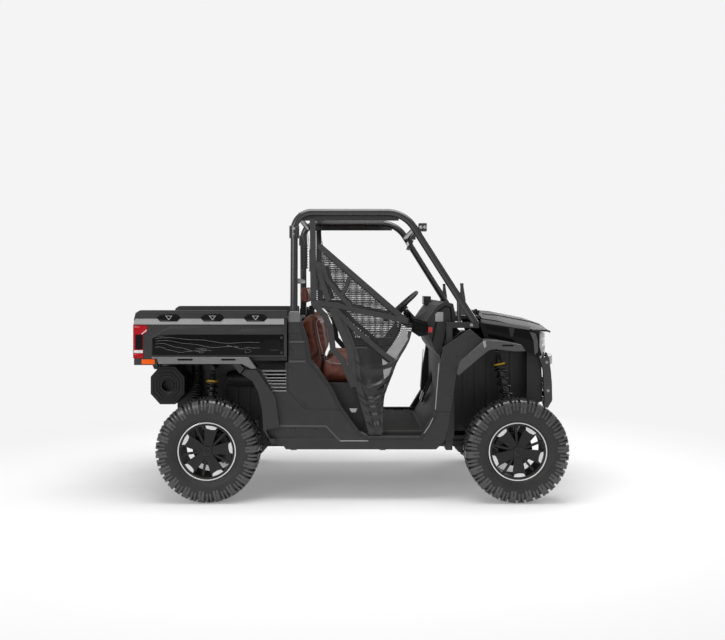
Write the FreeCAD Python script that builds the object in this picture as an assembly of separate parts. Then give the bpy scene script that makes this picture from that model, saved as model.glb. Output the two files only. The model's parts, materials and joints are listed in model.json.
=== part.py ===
import FreeCAD, Part
import math
import os

from FreeCAD import Vector

os.makedirs("parts", exist_ok=True)

# Side by side utility vehicle with a two-seat-row-wide bench and a tipping cargo bed.
# Frame: +X forwards, +Y to the vehicle's left, +Z up.
# Origin: on the ground, midway along the length and across the width.
# Lengths are in millimetres.

# Driving dimensions
REAR_OVERHANG = 497.0
WHEELBASE = 2050.0
FRONT_OVERHANG = 375.0
BED_LENGTH = 1021.0
BED_GAP = 8.0
FLOOR_HEIGHT = 433.0
BODY_HEIGHT = 1272.0
ROOF_HEIGHT = 1960.0
BODY_HALF_WIDTH = 700.0
TYRE_STANDOUT = 110.0
HALF_WIDTH_AT_TYRES = BODY_HALF_WIDTH + TYRE_STANDOUT
PANEL_DEPTH = 60.0
CAB_INNER_HALF_WIDTH = BODY_HALF_WIDTH - PANEL_DEPTH
BELLY_CLEARANCE = 288.0

# Stations along the vehicle that follow from them
END_X = (REAR_OVERHANG + WHEELBASE + FRONT_OVERHANG) / 2
REAR_END_X = -END_X
REAR_AXLE_X = REAR_END_X + REAR_OVERHANG
FRONT_AXLE_X = END_X - FRONT_OVERHANG
BED_FRONT_X = REAR_END_X + BED_LENGTH
CAB_REAR_X = BED_FRONT_X + BED_GAP


def station(share):
    """Place along the vehicle: -1 rear end, 0 back of the cab, 1 front axle, 2 front end."""
    if share < 0:
        return CAB_REAR_X + share * (CAB_REAR_X - REAR_END_X)
    if share <= 1:
        return CAB_REAR_X + share * (FRONT_AXLE_X - CAB_REAR_X)
    return FRONT_AXLE_X + (share - 1) * FRONT_OVERHANG


def level(share):
    """Height: 0 ground, 1 cab floor, 2 top of the body, 3 top of the cage."""
    if share <= 1:
        return share * FLOOR_HEIGHT
    if share <= 2:
        return FLOOR_HEIGHT + (share - 1) * (BODY_HEIGHT - FLOOR_HEIGHT)
    return BODY_HEIGHT + (share - 2) * (ROOF_HEIGHT - BODY_HEIGHT)


def side_view(shares):
    """Side-view points from pairs of station and level shares."""
    return [(station(along), level(up)) for along, up in shares]


# Clearances and general values
SEAT_GAP = 0.3
RUNNING_CLEARANCE = 0.1
MOVING_CLEARANCE = 5.0
PIVOT_GAP = 0.8
OVERRUN = 20.0

# Wheels
TYRE_RADIUS = 343.0
FRONT_TYRE_WIDTH = 230.0
REAR_TYRE_WIDTH = 280.0
RIM_FLANGE_RADIUS = 192.0
BEAD_RADIUS = 181.0
BARREL_WALL = 10.0
FLANGE_THICKNESS = 8.0
LUG_HEIGHT = 20.0
LUG_SECTORS = 34
HUB_RADIUS = 45.0
HUB_INBOARD = 26.0
SPINDLE_RADIUS = 20.0
SPINDLE_REACH = 25.0
CAP_RADIUS = 32.0
CAP_HEIGHT = 9.0
DISC_RADIUS = 115.0
DISC_THICKNESS = 6.0
SPOKE_COUNT = 5
SPOKE_THICKNESS = 18.0
SPOKE_HUB_WIDTH = 46.0
SPOKE_RIM_WIDTH = 92.0
THIN_SPOKE_WIDTH = 16.0
THIN_SPOKE_THICKNESS = 12.0
SPOKE_INSET = 6.0
REAR_SPOKE_ANGLE = 80.0
FRONT_SPOKE_ANGLE = 58.0
BEAD_SHARE = 0.36

# Frame
RAIL_SIZE = 50.0
RAIL_HEIGHT = 28.0
RAIL_OFFSET = 230.0
FRAME_REAR_OVERHANG = 216.0
FRAME_FRONT_OVERHANG = 164.0
BELLY_TO_RAIL = 12.0
FRAME_BOTTOM = BELLY_CLEARANCE + BELLY_TO_RAIL
FRAME_TOP = FRAME_BOTTOM + RAIL_HEIGHT
FRAME_REAR_X = REAR_AXLE_X - FRAME_REAR_OVERHANG
FRAME_FRONT_X = FRONT_AXLE_X + FRAME_FRONT_OVERHANG
BED_RAIL_HEIGHT = 40.0
BED_FLOOR_SHARE = 1.59595
BED_FLOOR_LOW = level(BED_FLOOR_SHARE)
BED_RAIL_DROP = 53.0
BED_RAIL_TOP = BED_FLOOR_LOW - BED_RAIL_DROP
FRONT_RAIL_SHARE = 1.71836
FRONT_RAIL_TOP = level(FRONT_RAIL_SHARE)
FRONT_UPRIGHT_SIZE = 40.0
FRONT_UPRIGHT_OFFSET = 200.0
CROSS_TUBE_RADIUS = 16.0
POST_SIZE = 40.0
SKID_THICKNESS = 11.7
RECEIVER_OUTER = 63.5
RECEIVER_INNER = 51.5
RECEIVER_LENGTH = 230.0
RECEIVER_HEIGHT = 400.0
RECEIVER_PIN_RADIUS = 8.35
RECEIVER_PIN_INSET = 38.0
FAIRLEAD_SPACING = 152.4
FAIRLEAD_HOLE_RADIUS = 5.5
FAIRLEAD_PLATE = 8.0

# Axle height equals the tyre radius
AXLE_Z = TYRE_RADIUS


def block(x0, x1, y0, y1, z0, z1):
    """Box between two corners."""
    return Part.makeBox(x1 - x0, y1 - y0, z1 - z0, Vector(x0, y0, z0))


def plate(points, y0, y1):
    """Side-view outline of (x, z) points, extruded from y0 to y1."""
    loop = [Vector(x, y0, z) for x, z in points]
    face = Part.Face(Part.makePolygon(loop + loop[:1]))
    return face.extrude(Vector(0, y1 - y0, 0))


def slab(points, z0, z1):
    """Plan-view outline of (x, y) points, extruded from z0 to z1."""
    loop = [Vector(x, y, z0) for x, y in points]
    face = Part.Face(Part.makePolygon(loop + loop[:1]))
    return face.extrude(Vector(0, 0, z1 - z0))


def rod(start, end, radius):
    """Round bar between two points."""
    run = end - start
    return Part.makeCylinder(radius, run.Length, start, run)


def cone_between(start, end, radius0, radius1):
    """Tapered round bar between two points."""
    run = end - start
    return Part.makeCone(radius0, radius1, run.Length, start, run)


def across(x, z, y0, y1, radius):
    """Round bar along Y."""
    return Part.makeCylinder(radius, y1 - y0, Vector(x, y0, z), Vector(0, 1, 0))


def bent_path(points, bend_radii):
    """Wire of straight runs joined by tangent arcs at the inner points."""
    edges = []
    last = points[0]
    for before, corner, after, radius in zip(points, points[1:], points[2:], bend_radii):
        inward = (before - corner).normalize()
        outward = (after - corner).normalize()
        half = inward.getAngle(outward) / 2
        reach = radius / math.tan(half)
        first = corner + inward * reach
        final = corner + outward * reach
        middle = (inward + outward).normalize()
        centre = corner + middle * (radius / math.sin(half))
        edges.append(Part.LineSegment(last, first).toShape())
        edges.append(Part.Arc(first, centre - middle * radius, final).toShape())
        last = final
    edges.append(Part.LineSegment(last, points[-1]).toShape())
    return Part.Wire(edges)


def bent_tube(points, bend_radii, radius):
    """Round bar swept along a bent path."""
    path = bent_path(points, bend_radii)
    ring = Part.Wire(Part.Circle(points[0], points[1] - points[0], radius).toShape())
    return path.makePipeShell([ring], True, True)


def revolve_y(profile, centre):
    """Solid of revolution about an axis along Y: profile is (radius, y) pairs."""
    loop = [Vector(0, y, radius) for radius, y in profile]
    face = Part.Face(Part.makePolygon(loop + loop[:1]))
    solid = face.revolve(Vector(0, 0, 0), Vector(0, 1, 0), 360)
    solid.translate(centre)
    return solid


def joined(shapes):
    """One solid from shapes that meet."""
    result = shapes[0].multiFuse(shapes[1:]) if len(shapes) > 1 else shapes[0]
    return result.removeSplitter()


def mirrored(shape):
    """The same shape on the other side of the vehicle."""
    return shape.mirror(Vector(0, 0, 0), Vector(0, 1, 0))


def both_sides(shape):
    """A left-hand shape and its right-hand twin."""
    return [shape, mirrored(shape)]


# Tyres
TREAD_EDGE_SHARE = 0.40
CROWN_SHARE = 0.04
CARCASS_SIDE_SHARE = 0.485


def tyre_profiles(width):
    """Half sections of (radius, y): carcass from tread to bead, and one lug's outer line."""
    tread = TYRE_RADIUS - LUG_HEIGHT
    wall = TYRE_RADIUS - BEAD_RADIUS
    bead_y = BEAD_SHARE * width
    edge_y = TREAD_EDGE_SHARE * width
    side_y = CARCASS_SIDE_SHARE * width
    shoulder_share, foot_share = 0.80, 0.30
    lug_shoulder_share, lug_foot_share = 0.90, 0.62
    carcass = [(tread, edge_y * shoulder_share), (BEAD_RADIUS + wall * lug_foot_share, side_y),
               (BEAD_RADIUS + wall * foot_share, side_y), (RIM_FLANGE_RADIUS + 2 * SEAT_GAP, bead_y),
               (BEAD_RADIUS, bead_y)]
    lug = [(TYRE_RADIUS, CROWN_SHARE * width), (TYRE_RADIUS, edge_y * shoulder_share),
           (BEAD_RADIUS + wall * lug_shoulder_share, width / 2 - LUG_HEIGHT / 4),
           (BEAD_RADIUS + wall * lug_foot_share, width / 2)]
    return carcass, lug


def ring_point(radius, y, turn):
    """Corner of a flat-faced ring whose flats lie at the given radius."""
    flat = math.pi / LUG_SECTORS
    corner = radius / math.cos(flat)
    return Vector(corner * math.sin(turn), y, -corner * math.cos(turn))


def ring_faces(profile, side, start, end):
    """Flat faces of one sector between two turns."""
    faces = []
    for (r0, y0), (r1, y1) in zip(profile, profile[1:]):
        corners = [ring_point(r0, side * y0, start), ring_point(r1, side * y1, start),
                   ring_point(r1, side * y1, end), ring_point(r0, side * y0, end)]
        faces.append(Part.Face(Part.makePolygon(corners + corners[:1])))
    return faces


def tyre_solid(width):
    """Ring of flat-faced sectors, with lugs on every other sector, staggered side to side."""
    carcass, lug = tyre_profiles(width)
    step = 2 * math.pi / LUG_SECTORS
    tread_y, bead_y = carcass[0][1], carcass[-1][1]
    across_tread = [(carcass[0][0], -tread_y), (carcass[0][0], tread_y)]
    across_bead = [(BEAD_RADIUS, -bead_y), (BEAD_RADIUS, bead_y)]
    faces = []
    for sector in range(LUG_SECTORS):
        start, end = (sector - 1 / 2) * step, (sector + 1 / 2) * step
        faces += ring_faces(across_tread, 1, start, end) + ring_faces(across_bead, 1, start, end)
        for side in (-1, 1):
            faces += ring_faces(carcass, side, start, end)
    return Part.Solid(Part.Shell(faces))


def lug_solid(width, side, sector):
    """One shoulder lug: a wedge of the ring between its own outline and the carcass."""
    carcass, lug = tyre_profiles(width)
    step = 2 * math.pi / LUG_SECTORS
    root = [(carcass[0][0] - LUG_HEIGHT / 2, lug[0][1]), (carcass[1][0], carcass[1][1] - LUG_HEIGHT)]
    outline = lug + list(reversed(root))
    ends = []
    for turn in ((sector - 1 / 2) * step, (sector + 1 / 2) * step):
        corners = [ring_point(r, side * y, turn) for r, y in outline]
        ends.append(Part.makePolygon(corners + corners[:1]))
    return Part.makeLoft(ends, True, True)


def tyre(width):
    """Carcass with its staggered shoulder lugs, centred on the origin, axle along Y."""
    lugs = []
    for sector in range(LUG_SECTORS):
        lugs.append(lug_solid(width, 1 if sector % 2 else -1, sector))
    solid = tyre_solid(width).multiFuse(lugs)
    return solid.removeSplitter()


def spoke(start_radius, end_radius, start_width, end_width, y0, y1, degrees):
    """Tapered spoke in the wheel's plane, turned to its place."""
    half0, half1 = start_width / 2, end_width / 2
    points = [(-half0, start_radius), (half0, start_radius), (half1, end_radius), (-half1, end_radius)]
    solid = plate(points, y0, y1)
    solid.rotate(Vector(0, 0, 0), Vector(0, 1, 0), degrees)
    return solid


def rim(width, spoke_angle):
    """Rim, spokes, hub and brake disc, centred on the origin, outboard towards +Y."""
    bead_y = BEAD_SHARE * width
    outer = BEAD_RADIUS - SEAT_GAP * 3
    inner = outer - BARREL_WALL
    lip_y = bead_y + SEAT_GAP
    profile = [(inner, -lip_y - FLANGE_THICKNESS), (RIM_FLANGE_RADIUS, -lip_y - FLANGE_THICKNESS),
               (RIM_FLANGE_RADIUS, -lip_y), (outer, -lip_y), (outer, lip_y), (RIM_FLANGE_RADIUS, lip_y),
               (RIM_FLANGE_RADIUS, lip_y + FLANGE_THICKNESS), (inner, lip_y + FLANGE_THICKNESS)]
    pieces = [revolve_y(profile, Vector(0, 0, 0))]
    face_y = bead_y
    back_y = face_y - SPOKE_THICKNESS
    pieces.append(across(0, 0, -HUB_INBOARD, face_y, HUB_RADIUS))
    pieces.append(across(0, 0, face_y, face_y + CAP_HEIGHT, CAP_RADIUS))
    pieces.append(across(0, 0, -HUB_INBOARD, DISC_THICKNESS - HUB_INBOARD, DISC_RADIUS))
    reach = inner + BARREL_WALL / 8
    pitch = 360 / SPOKE_COUNT
    for index in range(SPOKE_COUNT):
        turn = 90 - spoke_angle + index * pitch
        pieces.append(spoke(HUB_RADIUS / 2, reach, SPOKE_HUB_WIDTH, SPOKE_RIM_WIDTH, back_y, face_y, turn))
        thin_y = back_y - SPOKE_INSET
        pieces.append(spoke(HUB_RADIUS / 2, reach, THIN_SPOKE_WIDTH, THIN_SPOKE_WIDTH, thin_y,
                            thin_y + THIN_SPOKE_THICKNESS, turn + pitch / 2))
    solid = joined(pieces)
    bore = across(0, 0, -HUB_INBOARD - OVERRUN, SPINDLE_REACH + MOVING_CLEARANCE, SPINDLE_RADIUS)
    return solid.cut(bore)


def placed(shape, x, y, z):
    """Copy of a shape moved to a point."""
    copy = shape.copy()
    copy.translate(Vector(x, y, z))
    return copy


FRONT_WHEEL_Y = HALF_WIDTH_AT_TYRES - FRONT_TYRE_WIDTH / 2
REAR_WHEEL_Y = HALF_WIDTH_AT_TYRES - REAR_TYRE_WIDTH / 2


def wheels():
    """Tyre and rim of each corner."""
    nodes = {}
    corners = [("front", FRONT_TYRE_WIDTH, FRONT_AXLE_X, FRONT_WHEEL_Y, FRONT_SPOKE_ANGLE),
               ("rear", REAR_TYRE_WIDTH, REAR_AXLE_X, REAR_WHEEL_Y, REAR_SPOKE_ANGLE)]
    for name, width, x, y, angle in corners:
        rubber = placed(tyre(width), x, y, AXLE_Z)
        metal = placed(rim(width, angle), x, y, AXLE_Z)
        nodes["tyre_%s_left" % name] = [rubber]
        nodes["tyre_%s_right" % name] = [mirrored(rubber)]
        nodes["rim_%s_left" % name] = [metal]
        nodes["rim_%s_right" % name] = [mirrored(metal)]
    return nodes


# Steering and suspension points
KINGPIN_INSET = 75.0
KINGPIN_Y = FRONT_WHEEL_Y - KINGPIN_INSET
STEER_ARM_LENGTH = 105.0
TIE_ROD_Z = 380.0
TIE_ROD_RADIUS = 10.0
RACK_RADIUS = 11.0
RACK_X = FRONT_AXLE_X - STEER_ARM_LENGTH
RACK_HOUSING_RADIUS = 24.0
EYE_RADIUS = 18.0
EYE_HEIGHT = 24.0
BALL_PIN_RADIUS = 8.0
LOWER_BALL_DROP = 81.0
UPPER_BALL_RISE = 97.0
LOWER_BALL_Z = AXLE_Z - LOWER_BALL_DROP
UPPER_BALL_Z = AXLE_Z + UPPER_BALL_RISE
ARM_TUBE_RADIUS = 11.0
LOWER_PIVOT_Y = 275.0
UPPER_PIVOT_Y = 240.0
LOWER_PIVOT_Z = 325.0
UPPER_PIVOT_Z = 480.0
ARM_SPREAD = 126.0
PIVOT_TUBE_RADIUS = 16.0
PIVOT_TUBE_LENGTH = 60.0
BELL_RADIUS = 42.0
BELL_WALL = 8.0
BELL_MOUTH = 10.0
SHAFT_RADIUS = 12.0
SHAFT_BALL_RADIUS = 24.0
SPINE_HALF = 25.0
SPINE_OUT_Y = KINGPIN_Y + 6 / 5 * SPINE_HALF
BOSS_END_CLEARANCE = 5.0
CARRIER_INSET = 50.0
CARRIER_THICKNESS = 30.0
CARRIER_OUT_Y = REAR_WHEEL_Y - CARRIER_INSET
CARRIER_IN_Y = CARRIER_OUT_Y - CARRIER_THICKNESS


def knuckle():
    """Left front upright: ears, kingpin stubs, bell, spindle boss and steering arm."""
    low = LOWER_BALL_Z + EYE_HEIGHT / 2 + 2 * PIVOT_GAP
    high = UPPER_BALL_Z - EYE_HEIGHT / 2 - 2 * PIVOT_GAP
    x, y = FRONT_AXLE_X, KINGPIN_Y
    boss_end = FRONT_WHEEL_Y - HUB_INBOARD - BOSS_END_CLEARANCE
    mouth_y = y - BELL_MOUTH
    pieces = [block(x - SPINE_HALF, x + SPINE_HALF, mouth_y, SPINE_OUT_Y, low, high),
              across(x, AXLE_Z, y, boss_end, HUB_RADIUS),
              across(x, AXLE_Z, boss_end, FRONT_WHEEL_Y + SPINDLE_REACH, SPINDLE_RADIUS - RUNNING_CLEARANCE),
              Part.makeSphere(BELL_RADIUS, Vector(x, y, AXLE_Z))]
    arm_z = TIE_ROD_Z + EYE_HEIGHT / 2 + PIVOT_GAP
    pieces.append(block(RACK_X - EYE_RADIUS + PIVOT_GAP, x, y - EYE_RADIUS / 2, y + EYE_RADIUS / 2,
                        arm_z, arm_z + EYE_HEIGHT / 2))
    for z in (low - EYE_HEIGHT, high):
        pieces.append(Part.makeCylinder(BALL_PIN_RADIUS, EYE_HEIGHT, Vector(x, y, z)))
    solid = joined(pieces)
    hollow = Part.makeSphere(BELL_RADIUS - BELL_WALL, Vector(x, y, AXLE_Z))
    mouth = block(x - BELL_RADIUS, x + BELL_RADIUS, y - BELL_RADIUS - OVERRUN, mouth_y,
                  AXLE_Z - BELL_RADIUS, AXLE_Z + BELL_RADIUS)
    return solid.cut(hollow).cut(mouth)


def arm_height(y, ball_y, ball_z, pivot_y, pivot_z):
    """Centre height of an arm's leg at a given distance out."""
    return ball_z + (pivot_z - ball_z) * (ball_y - y) / (ball_y - pivot_y)


def shock_brace(axle_x, tip_spread, tip_y, ball_z):
    """Bar between the two legs of a lower arm, under the shock's foot."""
    share = (tip_y - SHOCK_FOOT_Y) / (tip_y - LOWER_PIVOT_Y)
    half = tip_spread + (ARM_SPREAD - tip_spread) * share
    z = arm_height(SHOCK_FOOT_Y, tip_y, ball_z, LOWER_PIVOT_Y, LOWER_PIVOT_Z)
    return rod(Vector(axle_x - half, SHOCK_FOOT_Y, z), Vector(axle_x + half, SHOCK_FOOT_Y, z), ARM_TUBE_RADIUS)


def front_arm(ball_z, pivot_y, pivot_z):
    """A-arm from its two frame pivots to a ball-joint eye on the kingpin."""
    x, y = FRONT_AXLE_X, KINGPIN_Y
    eye = Part.makeCylinder(EYE_RADIUS, EYE_HEIGHT, Vector(x, y, ball_z - EYE_HEIGHT / 2))
    pieces = [eye]
    for side in (-1, 1):
        foot = Vector(x + side * ARM_SPREAD, pivot_y, pivot_z)
        tip = Vector(x + side * EYE_RADIUS / 2, y - EYE_RADIUS / 2, ball_z)
        pieces.append(rod(foot, tip, ARM_TUBE_RADIUS))
        start = foot - Vector(PIVOT_TUBE_LENGTH / 2, 0, 0)
        pieces.append(Part.makeCylinder(PIVOT_TUBE_RADIUS, PIVOT_TUBE_LENGTH, start, Vector(1, 0, 0)))
    solid = joined(pieces)
    bore = Part.makeCylinder(BALL_PIN_RADIUS + RUNNING_CLEARANCE, EYE_HEIGHT + 2 * OVERRUN,
                             Vector(x, y, ball_z - EYE_HEIGHT / 2 - OVERRUN))
    return solid.cut(bore)


def rear_arm(ball_z, pivot_y, pivot_z):
    """Rear A-arm that ends against the inner face of the hub carrier."""
    x = REAR_AXLE_X
    end_y = CARRIER_IN_Y - SEAT_GAP
    pieces = [block(x - EYE_RADIUS * 2, x + EYE_RADIUS * 2, end_y - EYE_HEIGHT, end_y,
                    ball_z - EYE_RADIUS, ball_z + EYE_RADIUS)]
    for side in (-1, 1):
        foot = Vector(x + side * ARM_SPREAD, pivot_y, pivot_z)
        tip = Vector(x + side * EYE_RADIUS, end_y - EYE_HEIGHT / 2, ball_z)
        pieces.append(rod(foot, tip, ARM_TUBE_RADIUS))
        start = foot - Vector(PIVOT_TUBE_LENGTH / 2, 0, 0)
        pieces.append(Part.makeCylinder(PIVOT_TUBE_RADIUS, PIVOT_TUBE_LENGTH, start, Vector(1, 0, 0)))
    return joined(pieces)


REAR_BALL_DROP = 53.0
REAR_BALL_RISE = 75.0
REAR_LOWER_Z = AXLE_Z - REAR_BALL_DROP
REAR_UPPER_Z = AXLE_Z + REAR_BALL_RISE
REAR_ARM_END_Y = CARRIER_IN_Y - SEAT_GAP - EYE_HEIGHT / 2


def suspension_arms():
    """Four arms a side: front lower and upper, rear lower and upper."""
    front_brace = shock_brace(FRONT_AXLE_X, EYE_RADIUS / 2, KINGPIN_Y - EYE_RADIUS / 2, LOWER_BALL_Z)
    rear_brace = shock_brace(REAR_AXLE_X, EYE_RADIUS, REAR_ARM_END_Y, REAR_LOWER_Z)
    arms = [joined([front_arm(LOWER_BALL_Z, LOWER_PIVOT_Y, LOWER_PIVOT_Z), front_brace]),
            front_arm(UPPER_BALL_Z, UPPER_PIVOT_Y, UPPER_PIVOT_Z),
            joined([rear_arm(REAR_LOWER_Z, LOWER_PIVOT_Y, LOWER_PIVOT_Z), rear_brace]),
            rear_arm(REAR_UPPER_Z, LOWER_PIVOT_Y, UPPER_PIVOT_Z)]
    return arms + [mirrored(arm) for arm in arms]


def rear_hub_carrier():
    """Left rear upright with its spindle."""
    x = REAR_AXLE_X
    boss_end = REAR_WHEEL_Y - HUB_INBOARD - BOSS_END_CLEARANCE
    low = REAR_LOWER_Z - EYE_RADIUS - PIVOT_GAP
    high = REAR_UPPER_Z + EYE_RADIUS + PIVOT_GAP
    pieces = [block(x - EYE_RADIUS * 2, x + EYE_RADIUS * 2, CARRIER_IN_Y, CARRIER_OUT_Y, low, high),
              across(x, AXLE_Z, CARRIER_IN_Y, boss_end, HUB_RADIUS),
              across(x, AXLE_Z, boss_end, REAR_WHEEL_Y + SPINDLE_REACH, SPINDLE_RADIUS - RUNNING_CLEARANCE)]
    return joined(pieces)


DIFF_HALF_WIDTH = 100.0
CASE_HALF_WIDTH = 150.0
BOOT_LENGTH = 50.0
BOOT_RADIUS = 34.0
BOOT_END_GAP = 42.0


def half_shafts():
    """Front shafts end in a ball inside the bell, rear ones against the hub carrier."""
    x, y = FRONT_AXLE_X, KINGPIN_Y
    start = Vector(x, DIFF_HALF_WIDTH + SEAT_GAP, AXLE_Z)
    step = Vector(0, BOOT_LENGTH, 0)
    boot_end = Vector(x, y - BOOT_END_GAP, AXLE_Z)
    front = joined([rod(start, Vector(x, y, AXLE_Z), SHAFT_RADIUS),
                    Part.makeSphere(SHAFT_BALL_RADIUS, Vector(x, y, AXLE_Z)),
                    cone_between(start, start + step, BOOT_RADIUS, SHAFT_RADIUS * 3 / 2),
                    cone_between(boot_end - step, boot_end, SHAFT_RADIUS * 3 / 2, SHAFT_RADIUS * 2)])
    rear_start = Vector(REAR_AXLE_X, CASE_HALF_WIDTH + SEAT_GAP, AXLE_Z)
    rear_end = Vector(REAR_AXLE_X, CARRIER_IN_Y - SEAT_GAP, AXLE_Z)
    rear = joined([rod(rear_start, rear_end, SHAFT_RADIUS),
                   cone_between(rear_start, rear_start + step, BOOT_RADIUS, SHAFT_RADIUS * 3 / 2),
                   cone_between(rear_end - step, rear_end, SHAFT_RADIUS * 3 / 2, BOOT_RADIUS)])
    return both_sides(front) + both_sides(rear)


def steering_rack():
    """Rack bar with its two tie rods, one sliding piece."""
    y = KINGPIN_Y
    inner_z = TIE_ROD_Z - EYE_HEIGHT / 2
    bar = across(RACK_X, TIE_ROD_Z, -y, y, TIE_ROD_RADIUS)
    sleeve = across(RACK_X, TIE_ROD_Z, -y * 3 / 4, y * 3 / 4, RACK_RADIUS)
    eyes = []
    for side in (-1, 1):
        eyes.append(Part.makeCylinder(EYE_RADIUS - PIVOT_GAP, EYE_HEIGHT, Vector(RACK_X, side * y, inner_z)))
    return [joined([bar, sleeve] + eyes)]


# Shock absorbers
SHOCK_EYE_RADIUS = 14.0
SHOCK_EYE_WIDTH = 34.0
SHOCK_BODY_RADIUS = 24.0
SHOCK_ROD_RADIUS = 13.0
SPRING_RADIUS = 44.0
SPRING_WIRE = 11.0
SPRING_TURNS = 7
SHOCK_FOOT_INSET = 150.0
SHOCK_LEAN = 70.0
SHOCK_FOOT_Y = KINGPIN_Y - SHOCK_FOOT_INSET
FRONT_SHOCK_TOP_Y = SHOCK_FOOT_Y - SHOCK_LEAN
FRONT_SHOCK_BACK = 81.0
FRONT_SHOCK_AHEAD = 58.0
FRONT_SHOCK_TOP_X = FRONT_AXLE_X - FRONT_SHOCK_BACK
FRONT_SHOCK_FOOT_X = FRONT_AXLE_X + FRONT_SHOCK_AHEAD
TOWER_DROP = 27.7
FRONT_TOWER_Z = FRONT_RAIL_TOP - TOWER_DROP
REAR_SHOCK_BACK = 17.0
REAR_SHOCK_TOP_X = REAR_AXLE_X - REAR_SHOCK_BACK
REAR_TOWER_Z = BED_RAIL_TOP - BED_RAIL_HEIGHT / 2


def shock(foot, head):
    """Damper with a coil spring, drawn as a beaded sleeve, between two eyes."""
    run = head - foot
    length = run.Length
    spring_start_share, spring_end_share, body_start_share = 0.32, 0.82, 0.5
    parts = [Part.makeCylinder(SHOCK_ROD_RADIUS, length, Vector(0, 0, 0)),
             Part.makeCylinder(SHOCK_BODY_RADIUS, length * (1 - body_start_share) - SHOCK_EYE_RADIUS,
                               Vector(0, 0, length * body_start_share))]
    start = length * spring_start_share
    pitch = length * (spring_end_share - spring_start_share) / SPRING_TURNS
    core = SPRING_RADIUS - SPRING_WIRE
    profile = [(0, start)]
    for turn in range(SPRING_TURNS):
        base = start + turn * pitch
        profile += [(core, base), (SPRING_RADIUS, base + pitch / 4), (SPRING_RADIUS, base + pitch / 2),
                    (core, base + pitch * 3 / 4)]
    top = start + SPRING_TURNS * pitch
    profile += [(SPRING_RADIUS, top), (SPRING_RADIUS, top + SPRING_WIRE), (0, top + SPRING_WIRE)]
    loop = [Vector(radius, 0, z) for radius, z in profile]
    face = Part.Face(Part.makePolygon(loop + loop[:1]))
    parts.append(face.revolve(Vector(0, 0, 0), Vector(0, 0, 1), 360))
    solid = joined(parts)
    solid.Placement = FreeCAD.Placement(foot, FreeCAD.Rotation(Vector(0, 0, 1), run))
    eyes = []
    for point in (foot, head):
        eyes.append(Part.makeCylinder(SHOCK_EYE_RADIUS, SHOCK_EYE_WIDTH,
                                      point - Vector(SHOCK_EYE_WIDTH / 2, 0, 0), Vector(1, 0, 0)))
    return joined([solid] + eyes)


def shock_absorbers():
    """One shock at each corner, from the lower arm to the tower tube."""
    front_z = arm_height(SHOCK_FOOT_Y, KINGPIN_Y - EYE_RADIUS / 2, LOWER_BALL_Z, LOWER_PIVOT_Y, LOWER_PIVOT_Z)
    rise = ARM_TUBE_RADIUS + SHOCK_EYE_RADIUS + 3 * SEAT_GAP
    front = shock(Vector(FRONT_SHOCK_FOOT_X, SHOCK_FOOT_Y, front_z + rise),
                  Vector(FRONT_SHOCK_TOP_X, FRONT_SHOCK_TOP_Y,
                         FRONT_TOWER_Z - CROSS_TUBE_RADIUS - SHOCK_EYE_RADIUS - SEAT_GAP))
    rear_z = arm_height(SHOCK_FOOT_Y, REAR_ARM_END_Y, REAR_LOWER_Z, LOWER_PIVOT_Y, LOWER_PIVOT_Z)
    rear = shock(Vector(REAR_AXLE_X - 2 * EYE_RADIUS, SHOCK_FOOT_Y, rear_z + rise),
                 Vector(REAR_SHOCK_TOP_X, FRONT_SHOCK_TOP_Y,
                        REAR_TOWER_Z - CROSS_TUBE_RADIUS - SHOCK_EYE_RADIUS - SEAT_GAP))
    return both_sides(front) + both_sides(rear)


# Frame
CROSS_MEMBER_SHARES = (-0.202, 0.245, 0.9, 1.3)
OUTRIGGER_SHARES = (0.0211, 0.416, 0.71)
FRONT_UPRIGHT_SHARES = (0.9, 1.37)
FLOOR_THICKNESS = 15.0
OUTRIGGER_TOP = FLOOR_HEIGHT - FLOOR_THICKNESS - SEAT_GAP
REAR_UPRIGHT_SHARES = (-0.7, -0.202)
B_POST_TOP_SHARE = 1.92014
A_POST_TOP_SHARE = 1.90226
B_POST_TOP = level(B_POST_TOP_SHARE)
A_POST_TOP = level(A_POST_TOP_SHARE)
B_POST_X = station(0.0211)
A_POST_X = station(0.713)
A_BEAM_LENGTH = 200.0
A_POST_FRONT_X = A_POST_X + A_BEAM_LENGTH
A_POST_BEAM = 40.0
A_POST_INSET = 28.0
A_POST_BEAM_Y = CAB_INNER_HALF_WIDTH - A_POST_INSET
HINGE_PIN_RADIUS = 14.0
CORNER_LENGTH = 61.0
BED_HINGE_DROP = 12.0
BED_HINGE_X = REAR_END_X + CORNER_LENGTH
BED_HINGE_Z = BED_RAIL_TOP - BED_HINGE_DROP
HINGE_LUG_THICKNESS = 24.0
BED_RAIL_REAR = 25.0


def frame_rail():
    """Left lower rail."""
    inner, outer = RAIL_OFFSET - RAIL_SIZE / 2, RAIL_OFFSET + RAIL_SIZE / 2
    return [block(FRAME_REAR_X, FRAME_FRONT_X, inner, outer, FRAME_BOTTOM, FRAME_TOP)]


def rear_frame_side():
    """Left bed rail on its two uprights."""
    inner, outer = RAIL_OFFSET - RAIL_SIZE / 2, RAIL_OFFSET + RAIL_SIZE / 2
    bed_low = BED_RAIL_TOP - BED_RAIL_HEIGHT
    pieces = [block(BED_HINGE_X - BED_RAIL_REAR, station(-0.037), inner, outer, bed_low, BED_RAIL_TOP)]
    for share in REAR_UPRIGHT_SHARES:
        x = station(share)
        pieces.append(block(x - RAIL_SIZE / 2, x + RAIL_SIZE / 2, inner, outer, FRAME_TOP, bed_low))
    return pieces


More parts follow.
